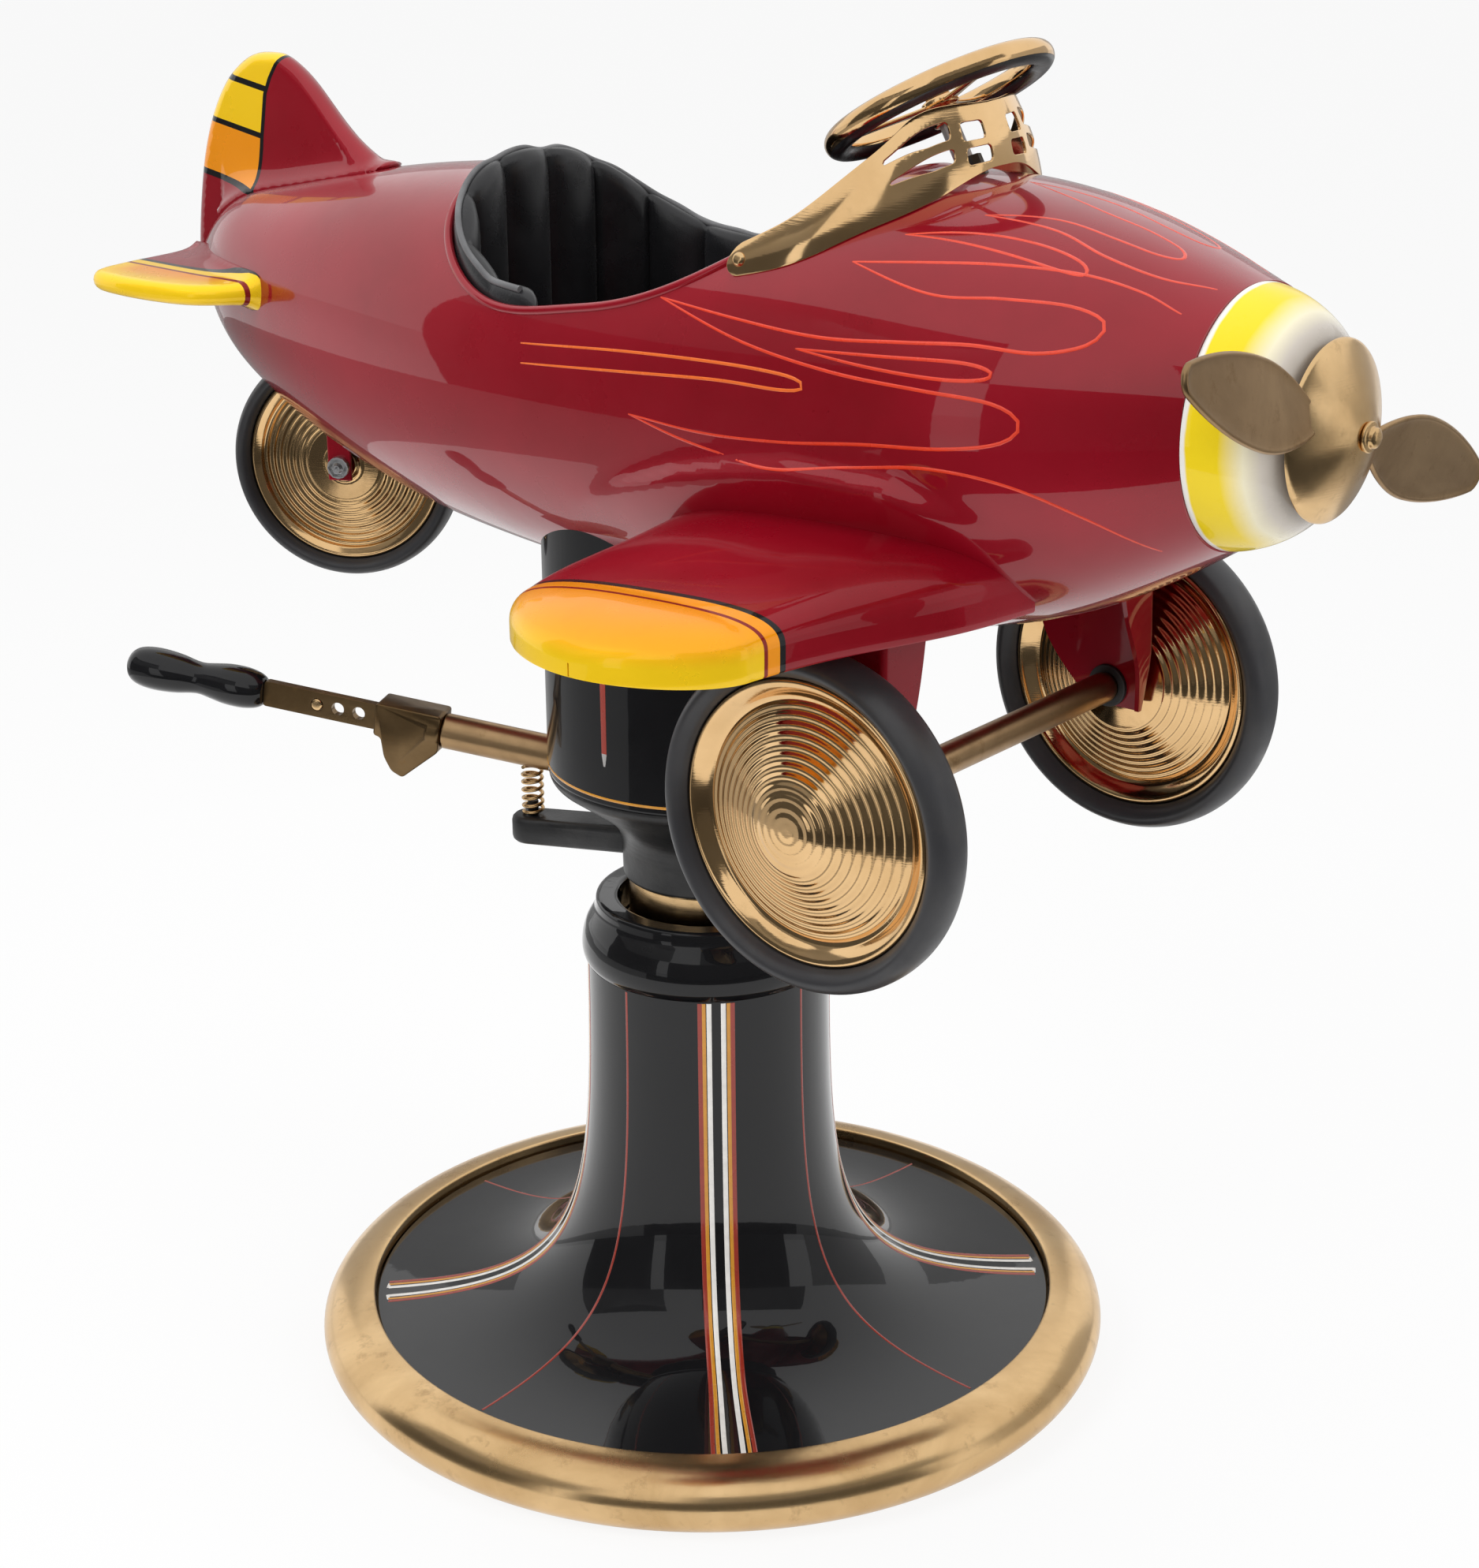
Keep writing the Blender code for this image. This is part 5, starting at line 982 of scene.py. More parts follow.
# Places of turned pieces: out over the lever, along +X, along the nose, to starboard (-1) and port (1)
OUTWARDS = rotation(LEVER_TURN, "Z")
ALONG_X = rotation(90, "Y")
ALONG_NOSE = Matrix.Translation((0, 0, NOSE_AXIS_Z)) @ ALONG_X
SIDEWAYS = {-1: rotation(90, "X"), 1: rotation(-90, "X")}


def lever_matrix():
    """Place of pieces modelled along +X from the lever's pivot."""
    pivot = polar(LEVER_PIVOT_OUT, math.radians(LEVER_TURN), LEVER_PIVOT_Z)
    return Matrix.Translation(pivot) @ OUTWARDS @ rotation(-LEVER_PITCH, "Y")


LEVER_PLACE = lever_matrix()
BASE_FLARE = bezier((POST_RADIUS, POST_TOP), (POST_RADIUS, 0.100), (0.113, 0.052),
                    (DISC_RADIUS - 0.002, DISC_EDGE_HEIGHT), 128)


def make_base():
    """Flared base and post, and the brass ring round its foot."""
    inside = [(DISC_RADIUS, DISC_EDGE_HEIGHT - 0.002), (DISC_RADIUS, 0.0045), (0.280, 0.0045), (0.275, 0.036),
              (0.125, 0.062), (0.094, 0.20), (0.090, 0.326), (0.0732, 0.328), (0.0732, POST_TOP)]
    dress(lathe("base_flare", BASE_FLARE + inside, ENAMEL, 256), "pedestal", "black_enamel", "base_casting")

    lip = RING_INNER + 0.0004
    foot = 0.012
    width = RING_WIDTH - RING_WALL
    rise = RING_HEIGHT - RING_WIDEST
    inner_rise = rise - RING_WALL
    outer = np.linspace(-math.asin(RING_WIDEST / rise), math.radians(84), 40)
    inner = np.linspace(math.radians(82), -math.asin(RING_WIDEST / inner_rise), 20)
    profile = [(RING_INNER + RING_WIDTH * math.cos(a), RING_WIDEST + rise * math.sin(a)) for a in outer]
    profile += fillet([profile[-1], (lip, RING_HEIGHT), (lip, foot)], 0.003, 6)[1:]
    profile += [(RING_INNER + RING_WALL, foot)]
    profile += [(RING_INNER + width * math.cos(a), RING_WIDEST + inner_rise * math.sin(a)) for a in inner]
    dress(lathe("base_ring", profile, BRASS, 192), "pedestal", "polished_brass", "base_trim_ring")


def make_collar():
    """Barrel-shaped collar on the post, and the ram that stands in it."""
    bore = 0.074
    edge = COLLAR_RADIUS
    foot = -0.0557
    sides = [(bore, foot), (bore, 0.0), (edge - 0.0125, 0.0), (edge - 0.0115, -0.0105),
             (edge - 0.0085, -0.0150), (edge - 0.0040, -0.0225), (edge - 0.0012, -0.0310), (edge, -0.0390),
             (edge, -0.0450), (edge - 0.0014, -0.0515), (POST_RADIUS, foot)]
    profile = fillet([(r, COLLAR_TOP + z) for r, z in sides], 0.0035, 6)
    dress(lathe("post_collar", profile, ENAMEL, 128), "pedestal", "black_enamel", "base_collar")

    bore, radius, spigot = 0.0545, 0.0645, 0.034
    foot, floor, shoulder, top = 0.0990, 0.409, 0.4288, 0.4985
    profile = fillet([(bore, foot), (radius, foot), (radius, shoulder), (spigot, shoulder), (spigot, top),
                      (0.0, top), (0.0, floor), (bore, floor)], 0.0008, 2)
    dress(lathe("lift_ram", profile, BRASS, 128), "ram", "polished_brass", "ram")


def base_stripe(middle, offset, half, serif):
    """Lines down the post and over the flare, beside a group's middle in degrees."""
    straight = np.linspace(POST_TOP - 0.0006, BASE_FLARE[1][1] + 0.002, 6)
    reach = [Vector((POST_RADIUS, z)) for z in straight] + [Vector(p) for p in BASE_FLARE[1:-1]]
    points = []
    normals = []
    for before, at, after in zip(reach, reach[1:], reach[2:]):
        spread = 1.0 + 0.25 * smooth(0.18, 0.29, at.x)
        turn = math.radians(middle) + math.asin(offset * spread / at.x)
        slope = (after - before).normalized()
        points.append(polar(at.x, turn, at.y))
        normals.append(polar(-slope.y, turn, slope.x))
    lines = [(points, normals, half)]
    if serif:
        count = 8
        turns = turn + math.copysign(1.0, offset) * np.linspace(-0.004, 0.024, count)
        stroke = [polar(at.x, a, at.y) for a in turns]
        lines.append((stroke, [normals[-1]] * count, np.linspace(0.0018, 0.0008, count)))
    return lines


def make_base_stripes():
    """Four groups of stripes on the base, and a thin line between each two."""
    groups = (("white", LINE_WHITE, -46.7, (-0.0058, 0.0058), 0.0020),
              ("gold", LINE_GOLD, -46.7, (-0.0100, 0.0100), 0.0015),
              ("red", LINE_RED, -46.7, (-0.0133, 0.0133), 0.0018),
              ("thin", LINE_RED, -91.7, (0.0,), 0.0011))
    for name, material, first, offsets, half in groups:
        lines = []
        for quarter in range(4):
            for offset in offsets:
                lines += base_stripe(first + 90 * quarter, offset, half, name == "white")
        ribbons("base_stripes_" + name, lines, material, "pedestal", "black_enamel")


def make_casting():
    """Swivel casting: neck, cone and the lug that carries the spring."""
    bore = 0.0345
    hollow = bezier((0.0695, CONE_FOOT - 0.022), (0.0698, CONE_FOOT - 0.004), (0.080, CONE_FOOT + 0.005),
                    (0.100, 0.4969), 12)
    foot = fillet([(bore, NECK_FOOT), (0.069, NECK_FOOT), (0.0695, CONE_FOOT - 0.023)], 0.004, 6)
    rim = [(0.101, 0.4976), (0.1262, 0.5158), (DRUM_RADIUS, CASTING_TOP), (bore, CASTING_TOP)]
    rim = fillet(rim, 0.004, 6)
    casting = lathe("swivel_neck", foot + hollow + rim, CAST, 128)

    root, root_half = 0.052, 0.0185
    lug_depth = 0.023
    outline = [(root, -root_half)] + arc(0.150, 0.017, -90, 90, 21) + [(root, root_half)]
    lug = prism("lug", outline, LUG_TOP - lug_depth, LUG_TOP, CAST, OUTWARDS)
    bevelled(lug, 0.005)
    combine(casting, lug, "UNION")
    notch_foot, above = 0.4748, 0.540
    notch = rectangle(0.0895, SLOT_OUT, -SLOT_HALF, SLOT_HALF)
    combine(casting, prism("notch", notch, notch_foot, above, ENAMEL, OUTWARDS), "DIFFERENCE")
    stud = fillet(rectangle(0, 0.0045, LUG_TOP - 0.002, LUG_TOP + 0.0118), 0.0012, 3)
    place = OUTWARDS @ Matrix.Translation((SPRING_OUT, 0, 0))
    combine(casting, lathe("stud", stud, ENAMEL, 24, place), "UNION")
    soften(casting)
    dress(casting, "carriage", "black_enamel", "swivel_casting")


def make_drum():
    """Drum under the belly, with the lever's slot and the painted lines."""
    wall = 0.003
    top = 0.752
    profile = fillet(rectangle(DRUM_RADIUS - wall, DRUM_RADIUS, DRUM_FOOT, top), 0.0009, 2)
    drum = lathe("drum", profile, ENAMEL, 160)
    below, slot_top = 0.514, DRUM_FOOT + 0.022
    slot = rectangle(LEVER_PIVOT_OUT, SLOT_OUT, -SLOT_HALF, SLOT_HALF)
    combine(drum, prism("slot", slot, below, slot_top, ENAMEL, OUTWARDS), "DIFFERENCE")
    cut_by_body(drum, -0.001, False)
    soften(drum)
    dress(drum, "carriage", "black_enamel", "drum_shell")

    turns = [math.radians(a) for a in np.linspace(LEVER_TURN + 9.5, LEVER_TURN + 350.5, 180)]
    around = [polar(DRUM_RADIUS, a, DRUM_FOOT + 0.006) for a in turns]
    line = (around, [polar(1, a, 0) for a in turns], 0.0011)
    ribbons("drum_line", [line], LINE_GOLD, "carriage", "black_enamel")
    count = 6
    for name, material, levels, widths in (("drum_bars", LINE_RED, (0.567, 0.690), (0.0025, 0.0029)),
                                           ("drum_bar_tips", LINE_GREY, (0.557, 0.5675), (0.0009, 0.0025))):
        lines = []
        for quarter in range(4):
            a = math.radians(-88 + 90 * quarter)
            points = [polar(DRUM_RADIUS, a, z) for z in np.linspace(*levels, count)]
            lines.append((points, [polar(1, a, 0)] * count, np.linspace(*widths, count)))
        ribbons(name, lines, material, "carriage", "black_enamel")


def make_lever_arm():
    """Tube of the pump lever, with the eye on its pin."""
    radius = 0.0148
    profile = [(0, 0.010), (0.0132, 0.010), (radius, 0.013), (radius, ARM_END), (0, ARM_END)]
    arm = lathe("lever_tube", fillet(profile, 0.002, 4), AGED_BRASS, 64, ALONG_X)
    eye = fillet(rectangle(0, 0.0115, -0.0153, 0.0153), 0.002, 3)
    combine(arm, lathe("eye", eye, AGED_BRASS, 48, SIDEWAYS[-1]), "UNION")
    bore = rectangle(0, 0.0046, -0.03, 0.03)
    combine(arm, lathe("bore", bore, AGED_BRASS, 32, SIDEWAYS[-1]), "DIFFERENCE")
    soften(arm)
    arm.data.transform(LEVER_PLACE)
    dress(arm, "pump_lever", "polished_brass", "lever_arm")


def make_lever_yoke():
    """Yoke between the tube and the bar, with a hook below and a collar."""
    half = 0.0148
    top = 0.0165
    hook = ((0.0, -0.0155), (0.0285, -0.0440), (0.0385, -0.0400), (0.0460, -0.0290), (0.0505, -0.0125))
    side = [(YOKE_START + x, z) for x, z in hook] + [(YOKE_END, -0.0115), (YOKE_END, top), (YOKE_START, top)]
    side = fillet(side, 0.003, 5, True)
    yoke = loft("lever_yoke_body", [[(x, y, z) for x, z in side] for y in (-half, half)], DARK_BRASS)
    bevelled(yoke, 0.0012)
    collar = fillet(rectangle(0, 0.0168, YOKE_START - 0.0002, YOKE_START + 0.013), 0.003, 4)
    combine(yoke, lathe("collar", collar, AGED_BRASS, 48, ALONG_X), "UNION")
    soften(yoke)
    yoke.data.transform(LEVER_PLACE)
    dress(yoke, "pump_lever", "polished_brass", "lever_yoke")


def make_lever_bar():
    """Flat bar with holes, the last of which holds a screw."""
    half_depth = 0.0039
    hole_radius = 0.0055
    middles = [BAR_START + 0.17 * BAR_LENGTH + k * 0.0185 for k in range(3)]
    holes = [arc(x, hole_radius, 0, 345, 24) for x in middles]
    corners = fillet(rectangle(BAR_START, BAR_END, -0.011, 0.011), 0.003, 4, True)
    flat, faces = panel(corners, holes, 0.006)
    bar = new_object("lever_bar_strip", [(x, -half_depth, z) for x, z in flat], faces, DARK_BRASS)
    thicken(bar, 2 * half_depth, -bar.data.polygons[0].normal.y)
    bevelled(bar, 0.0009, 2, 60)
    bar.data.transform(LEVER_PLACE)
    dress(bar, "pump_lever", "polished_brass", "lever_bar")
    screw = fillet(rectangle(0, 0.0052, -0.0052, 0.0052), 0.0022, 4)
    place = LEVER_PLACE @ Matrix.Translation((middles[2], 0, 0)) @ SIDEWAYS[-1]
    dress(lathe("lever_screw", screw, BRASS, 32, place), "pump_lever", "polished_brass")


def make_lever_grip():
    """Black handle, waisted in the middle: shares of its length and radius."""
    radius = 0.018
    length = 0.122
    shares = ((0.0, 0.62), (0.02, 0.74), (0.06, 0.86), (0.13, 0.955), (0.20, 0.975), (0.28, 0.95),
              (0.37, 0.85), (0.46, 0.75), (0.53, 0.79), (0.62, 0.91), (0.71, 0.98), (0.80, 1.0),
              (0.88, 0.95), (0.94, 0.83), (0.98, 0.62), (1.0, 0.38))
    swell = [(radius * r, GRIP_START + length * min(t, 1.0)) for t, r in rounded_line(shares, 60)]
    profile = [(0, GRIP_START)] + swell + [(0, GRIP_START + length + 0.0002)]
    grip = lathe("lever_grip", profile, ENAMEL, 64, LEVER_PLACE @ ALONG_X)
    dress(grip, "pump_lever", "black_rubber", "lever_handle")


def make_lever_spring():
    """Coil spring between the lug and the lever, drawn for the lever at rest."""
    turns = 6
    steps = 28
    radius = 0.008
    gap = 0.0018
    pitch = math.radians(LEVER_PITCH)
    low = LUG_TOP + gap
    high = LEVER_PIVOT_Z + (SPRING_OUT - LEVER_PIVOT_OUT) * math.tan(pitch) - 0.015 / math.cos(pitch) - gap
    points = []
    for i in range(turns * steps + 1):
        a = 2 * math.pi * i / steps
        t = i / (turns * steps)
        ends = 0.5 - 0.5 * math.cos(math.pi * t)
        level = low + (high - low) * (0.75 * t + 0.25 * ends)
        points.append((SPRING_OUT + radius * math.cos(a), radius * math.sin(a), level))
    spring = tube("lever_coil", points, 0.0015, BRASS, 10, matrix=OUTWARDS)
    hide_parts("lever_spring")
    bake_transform(spring)


def make_fuselage():
    """The pressed body with the cockpit's mouth, belly opening and rolled rim."""
    body = fuselage_loft("fuselage_skin", 0.0, TAIL_X, NOSE_X, 230, 224, True, CANDY)
    hollow = fuselage_loft("hollow", -SKIN, TAIL_X + SKIN, NOSE_X + 0.01, 90, 96, False, CANDY)
    combine(body, hollow, "DIFFERENCE")
    mouth = [cockpit_point(2 * math.pi * k / 160, 0.0) for k in range(160)]
    combine(body, prism("mouth", mouth, 0.885, 1.3, CANDY), "DIFFERENCE")
    middle, reach = -0.3675, 0.1325
    side = []
    for x in np.linspace(middle - reach, middle + reach, 41):
        t = abs(x - middle) / reach
        side.append((x, (0.35 + 0.65 * math.sqrt(max(0.0, 1 - t ** 6))) * 0.62 * lines_at(x)[2]))
    opening = side + [(x, -y) for x, y in reversed(side)]
    combine(body, prism("opening", opening, 0.58, 0.8391, CANDY), "DIFFERENCE")
    soften(body, 45)
    dress(body, "carriage", "candy_maroon", "fuselage_upper", "fuselage_lower")

    rim = []
    for k in range(240):
        x, y = cockpit_point(2 * math.pi * k / 240, 0.0)
        rim.append((x, y, skin_top(x, y) - 0.0012))
    dress(tube("cockpit_rim", rim, 0.0036, CANDY, 12, True), "carriage", "candy_maroon")


def make_body_lines():
    """Twin lines along the sides, and flame licks on the sides and the cowl."""
    flame_half = 0.0013
    coach = []
    flames = []
    for sign in (-1, 1):
        find = partial(side_angle, sign=sign)
        coach.append(skin_line(COACH_STROKE, find, 0.0012))
        flames += [skin_line(stroke, find, flame_half) for stroke in FLAME_STROKES]
        for stroke in FLAME_TOP:
            flames.append(skin_line([(x, sign * y) for x, y in stroke], top_angle, flame_half))
    ribbons("coach_lines", coach, LINE_COACH, "carriage", "candy_maroon")
    ribbons("flame_lines", flames, LINE_FLAME, "carriage", "candy_maroon")


def puff(obj, voxel, pressure, most):
    """Fill a cover with air by cloth simulation, and keep the result in its mesh."""
    frames = 20
    scene = bpy.context.scene
    work = linked("puff", obj.data.copy())
    remesh = work.modifiers.new("remesh", "REMESH")
    remesh.mode = "VOXEL"
    remesh.voxel_size = voxel
    bake(work)
    start = np.array([v.co for v in work.data.vertices])
    cloth = work.modifiers.new("cloth", "CLOTH")
    cloth.settings.use_pressure = True
    cloth.settings.uniform_pressure_force = pressure
    cloth.settings.effector_weights.gravity = 0.0
    cloth.settings.quality = 6
    cloth.point_cache.frame_start = 1
    cloth.point_cache.frame_end = frames
    for number in range(1, frames + 1):
        scene.frame_set(number)
    bake(work)
    scene.frame_set(1)
    moves = np.array([v.co for v in work.data.vertices]) - start
    size = np.linalg.norm(moves, axis=1)[:, None]
    moves *= np.minimum(1.0, most / np.maximum(size, 1e-9))
    low = start[:, 2].min()
    for vertex, at in zip(work.data.vertices, start + moves):
        vertex.co = (at[0], at[1], max(at[2], low))
    step = work.modifiers.new("subdivide", "SUBSURF")
    step.levels = 1
    bake(work)
    old = obj.data
    obj.data = work.data
    bpy.data.objects.remove(work)
    bpy.data.meshes.remove(old)
    obj.data.materials.clear()
    obj.data.materials.append(VINYL)
    soften(obj, 80)


def make_cushion():
    """Seat cushion: a squarish cover, puffed up."""
    count = 72
    middle = -0.036
    half = 0.112
    height = 0.046
    crown = 0.014
    roundness = 2 / 4.5
    sides = ((0.86, 0.0), (0.94, 0.07), (0.985, 0.22), (1.0, 0.48), (0.985, 0.74), (0.94, 0.90),
             (0.86, 0.985))
    domes = ((0.72, 0.30), (0.55, 0.62), (0.36, 0.86), (0.16, 0.98))
    levels = [(share, SEAT_FOOT + height * up) for share, up in sides]
    levels += [(share, SEAT_FOOT + height + crown * up) for share, up in domes]
    rings = []
    for share, level in levels:
        ring = []
        for k in range(count):
            a = 2 * math.pi * k / count
            drawn = 1 - 0.03 * math.cos(2 * a) ** 2
            ring.append((middle + half * share * drawn * power(math.cos(a), roundness),
                         half * share * drawn * power(math.sin(a), roundness), level))
        rings.append(ring)
    cushion = loft("seat_cushion_cover", rings, VINYL, 80)
    puff(cushion, 0.005, 4.0, 0.004)
    dress(cushion, "carriage", "black_vinyl", "seat_cushion")


def make_back_pad():
    """Channelled pad round the cockpit, with a welt along its crest."""
    channels = 13
    per_channel = 14
    around = [cockpit_point(2 * math.pi * k / 800, 0.004) for k in range(801)]
    left = [p for p in around[:400] if p[0] < 0.150]
    right = [p for p in around[401:] if p[0] < -0.040]
    line = resampled(left + right, channels * per_channel + 1)
    tangents = np.gradient(line, axis=0)
    low = SEAT_FOOT + 0.03
    last = len(line) - 1
    rings = []
    crests = []
    for i, (x, y) in enumerate(line):
        tangent = tangents[i] / np.linalg.norm(tangents[i])
        inward = (-tangent[1], tangent[0])
        swell = abs(math.sin(math.pi * i / per_channel)) ** 0.55
        close = min(1.0, min(i, last - i) / 6)
        ends = math.sqrt(max(0.02, 1 - (1 - close) ** 2))
        thick = (0.011 + 0.009 * swell) * ends
        back = smooth(0.0, 1.0, (-0.010 - x) / 0.180)
        crest = skin_top(x, y) + 0.003 + 0.009 * back - 0.0035 * (1 - swell) - 0.012 * (1 - ends)
        section = ((0.0, low), (0.55, low - 0.004), (0.88, low + 0.004), (0.98, low + 0.02),
                   (1.0, 0.5 * (low + crest)), (1.0, crest - 0.024), (0.97, crest - 0.014),
                   (0.88, crest - 0.006), (0.72, crest - 0.0015), (0.5, crest), (0.28, crest - 0.001),
                   (0.10, crest - 0.0035), (0.0, crest - 0.008))
        _, bottom, half, widest = lines_at(x)
        limit = half - SKIN - 0.003
        ring = []
        for d, z in section:
            px = x + inward[0] * d * thick
            py = y + inward[1] * d * thick
            share = min(abs(py) / limit, 0.999)
            floor = BELLY_Z + widest - (widest - bottom - SKIN) * (1 - share ** FULLNESS) ** (1 / FULLNESS)
            ring.append((px, py, max(z, floor)))
        rings.append(ring)
        crests.append((x + inward[0] * 0.0035, y + inward[1] * 0.0035, crest - 0.0005))
    pad = loft("back_pad_cover", rings, VINYL, 70)
    dress(pad, "carriage", "black_vinyl", "seat_back_pad")
    welt = resampled(rounded_line(crests[2:-2:5], 160), 200)
    dress(tube("back_pad_welt", welt, 0.0026, WELT, 10), "carriage", "black_vinyl")


def write_attribute(obj, name, values):
    """A float for each vertex, for a material to read."""
    layer = obj.data.attributes.new(name, "FLOAT", "POINT")
    layer.data.foreach_set("value", np.array(values, np.float32))


def past_line(distance):
    """An attribute's value beside a painted line: 0.5 on it, and 1 more for each 0.1 m past it."""
    return 0.5 + 10 * distance


def wing_row(plan, span, chord):
    """Section of a wing, from the leading edge's foot over the top to the trailing edge's foot."""
    lip = 0.0006
    hem = WING_FOOT + 0.0008
    lead, trail, depth = plan(min(span, WING_TIP_START))
    wall = WING_EDGE * (1 - 0.4 * smooth(0.30, 0.39, span))
    if span > WING_TIP_START:
        share = min(1.0, (span - WING_TIP_START) / WING_TIP_REACH)
        middle = 0.5 * (lead + trail) + 0.0026 * share
        half = 0.5 * (lead - trail) * max(1e-4, 1 - share ** 1.75) ** (1 / 1.75)
        lead, trail = middle + half, middle - half
        depth = wall + (depth - wall) * math.sqrt(max(0.0, 1 - share ** 2))
    row = [(lead - lip, WING_FOOT), (lead, hem), (lead, WING_FOOT + 0.5 * wall)]
    for t in chord:
        dome = max(0.0, 1 - abs(2 * t ** 0.85 - 1) ** WING_ROUNDNESS) ** (1 / WING_ROUNDNESS)
        row.append((lead + (trail - lead) * t, WING_FOOT + wall + (depth - wall) * dome))
    return row + [(trail, WING_FOOT + 0.5 * wall), (trail, hem), (trail + lip, WING_FOOT)]


def make_wings():
    """Wings: rounded pressings, open below, with striped tips."""
    plan = spline([row[0] for row in WING_PLAN], [row[1:] for row in WING_PLAN])
    rounds = WING_TIP_START + WING_TIP_REACH * np.sin(0.5 * np.pi * np.linspace(0.02, 1.0, 44))
    spans = np.concatenate((np.linspace(WING_PLAN[0][0], WING_TIP_START, 64), rounds))
    chord = 0.5 - 0.5 * np.cos(np.pi * np.linspace(0, 1, 81))
    rows = [wing_row(plan, span, chord) for span in spans]
    count = len(rows[0])
    faces = [(i * count + k, i * count + k + 1, (i + 1) * count + k + 1, (i + 1) * count + k)
             for i in range(len(spans) - 1) for k in range(count - 1)]
    for name, sign in (("right_wing", -1), ("left_wing", 1)):
        verts = [(x, sign * span, z) for span, row in zip(spans, rows) for x, z in row]
        wing = new_object(name + "_skin", verts, faces, WING_PAINT, 50)
        thicken(wing, 0.0028, max(wing.data.polygons, key=lambda f: f.area).normal.z)
        tip = []
        edge = []
        for v in wing.data.vertices:
            line = 0.3205 - 0.024 * max(0.0, (v.co.x - 0.12) / 0.196) ** 2.4
            tip.append(past_line(abs(v.co.y) - line))
            edge.append(smooth(0.0, 1.0, (WING_FOOT + 0.040 - v.co.z) / 0.033))
        write_attribute(wing, "tip", tip)
        write_attribute(wing, "edge", edge)
        cut_by_body(wing, -0.0015)
        soften(wing, 50)
        dress(wing, "carriage", "candy_maroon", name)


def make_fin():
    """Tail fin: a plate with a rounded edge and a rib, faired into the body."""
    outline = rounded_line([(x, BELLY_Z + z) for x, z in FIN_OUTLINE], 260, True)
    rib_start = np.array((-0.444, 1.0535))
    rib = np.array((-0.368, 0.977)) - rib_start

    def half_thickness(x, z, d):
        above = z - skin_top(max(x, TAIL_X), 0.0)
        from_rib = np.array((x, z)) - rib_start
        t = min(1.0, max(0.0, float(from_rib @ rib) / float(rib @ rib)))
        off = np.linalg.norm(from_rib - t * rib)
        flare = 0.011 * math.exp(-max(0.0, above) / 0.010) if x > -0.53 else 0.0
        ridge = 0.0013 * math.exp(-(off / 0.0028) ** 2)
        return 0.010 * round_edge(d, 0.009) + flare * round_edge(d, 0.02) + ridge

    fin = pillow("fin_plate", outline, half_thickness, lambda x, z, h: (x, h, z), FIN_PAINT, 0.0032)
    line_z = (0.935, 0.955, 0.985, 1.021, 1.035, 1.058)
    line_x = (-0.482, -0.480, -0.4765, -0.470, -0.463, -0.447)
    places = [(v.co.x, v.co.z) for v in fin.data.vertices]
    write_attribute(fin, "aft", [past_line(float(np.interp(z, line_z, line_x)) - x) for x, z in places])
    write_attribute(fin, "rank", [(z + 0.16 * (x + 0.472) - 0.9335) / 0.112 for x, z in places])
    dress(fin, "carriage", "candy_maroon", "tail_fin")


def make_stabilisers():
    """Stabilisers: plates with rounded edges, faired into the body."""
    first, last = STABILISER_OUTLINE[0], STABILISER_OUTLINE[-1]
    curve = rounded_line(STABILISER_OUTLINE[1:-1], 150)
    outline = np.concatenate((resampled([first, curve[0]], 30)[:-1], curve,
                              resampled([curve[-1], last], 30)[1:], resampled([last, first], 60)[1:-1]))

    def half_thickness(x, span, d):
        half = lines_at(max(x, TAIL_X))[2]
        flare = 0.008 * math.exp(-max(0.0, span - half) / 0.008)
        return 0.0085 * round_edge(d, 0.008) + flare * round_edge(d, 0.02)

    for name, sign in (("right_stabiliser", -1), ("left_stabiliser", 1)):
        def place(x, span, h, side=sign):
            return x, side * span, STABILISER_Z + h

        plate = pillow(name + "_plate", outline, half_thickness, place, STABILISER_PAINT, 0.0035)
        places = [(v.co.x, abs(v.co.y)) for v in plate.data.vertices]
        tip = []
        for x, span in places:
            line = 0.0815 + 0.10 * max(0.0, x + 0.44) - 0.04 * max(0.0, -0.46 - x)
            tip.append(past_line(span - line))
        edge = [1 - smooth(0.004, 0.05, d) for d in outline_distance(places, outline)]
        write_attribute(plate, "tip", tip)
        write_attribute(plate, "edge", edge)
        dress(plate, "carriage", "candy_maroon", name)


def tyre_profile(radius, half, lap, depth):
    """Section of a solid rubber tyre with round sides."""
    rim_half = 0.0022
    shoulder = radius - lap + 0.0004
    side = ((1.0, 0.50), (0.82, 0.80), (0.55, 1.0), (0.26, 0.90), (0.06, 0.52))
    points = [(radius - lap * up, -half * out) for up, out in side] + [(radius, 0.0)]
    points += [(radius - lap * up, half * out) for up, out in reversed(side)]
    tread = [tuple(p) for p in rounded_line(points, 60)]
    return tread + [(shoulder, rim_half), (radius - depth, rim_half), (radius - depth, -rim_half),
                    (shoulder, -rim_half)]


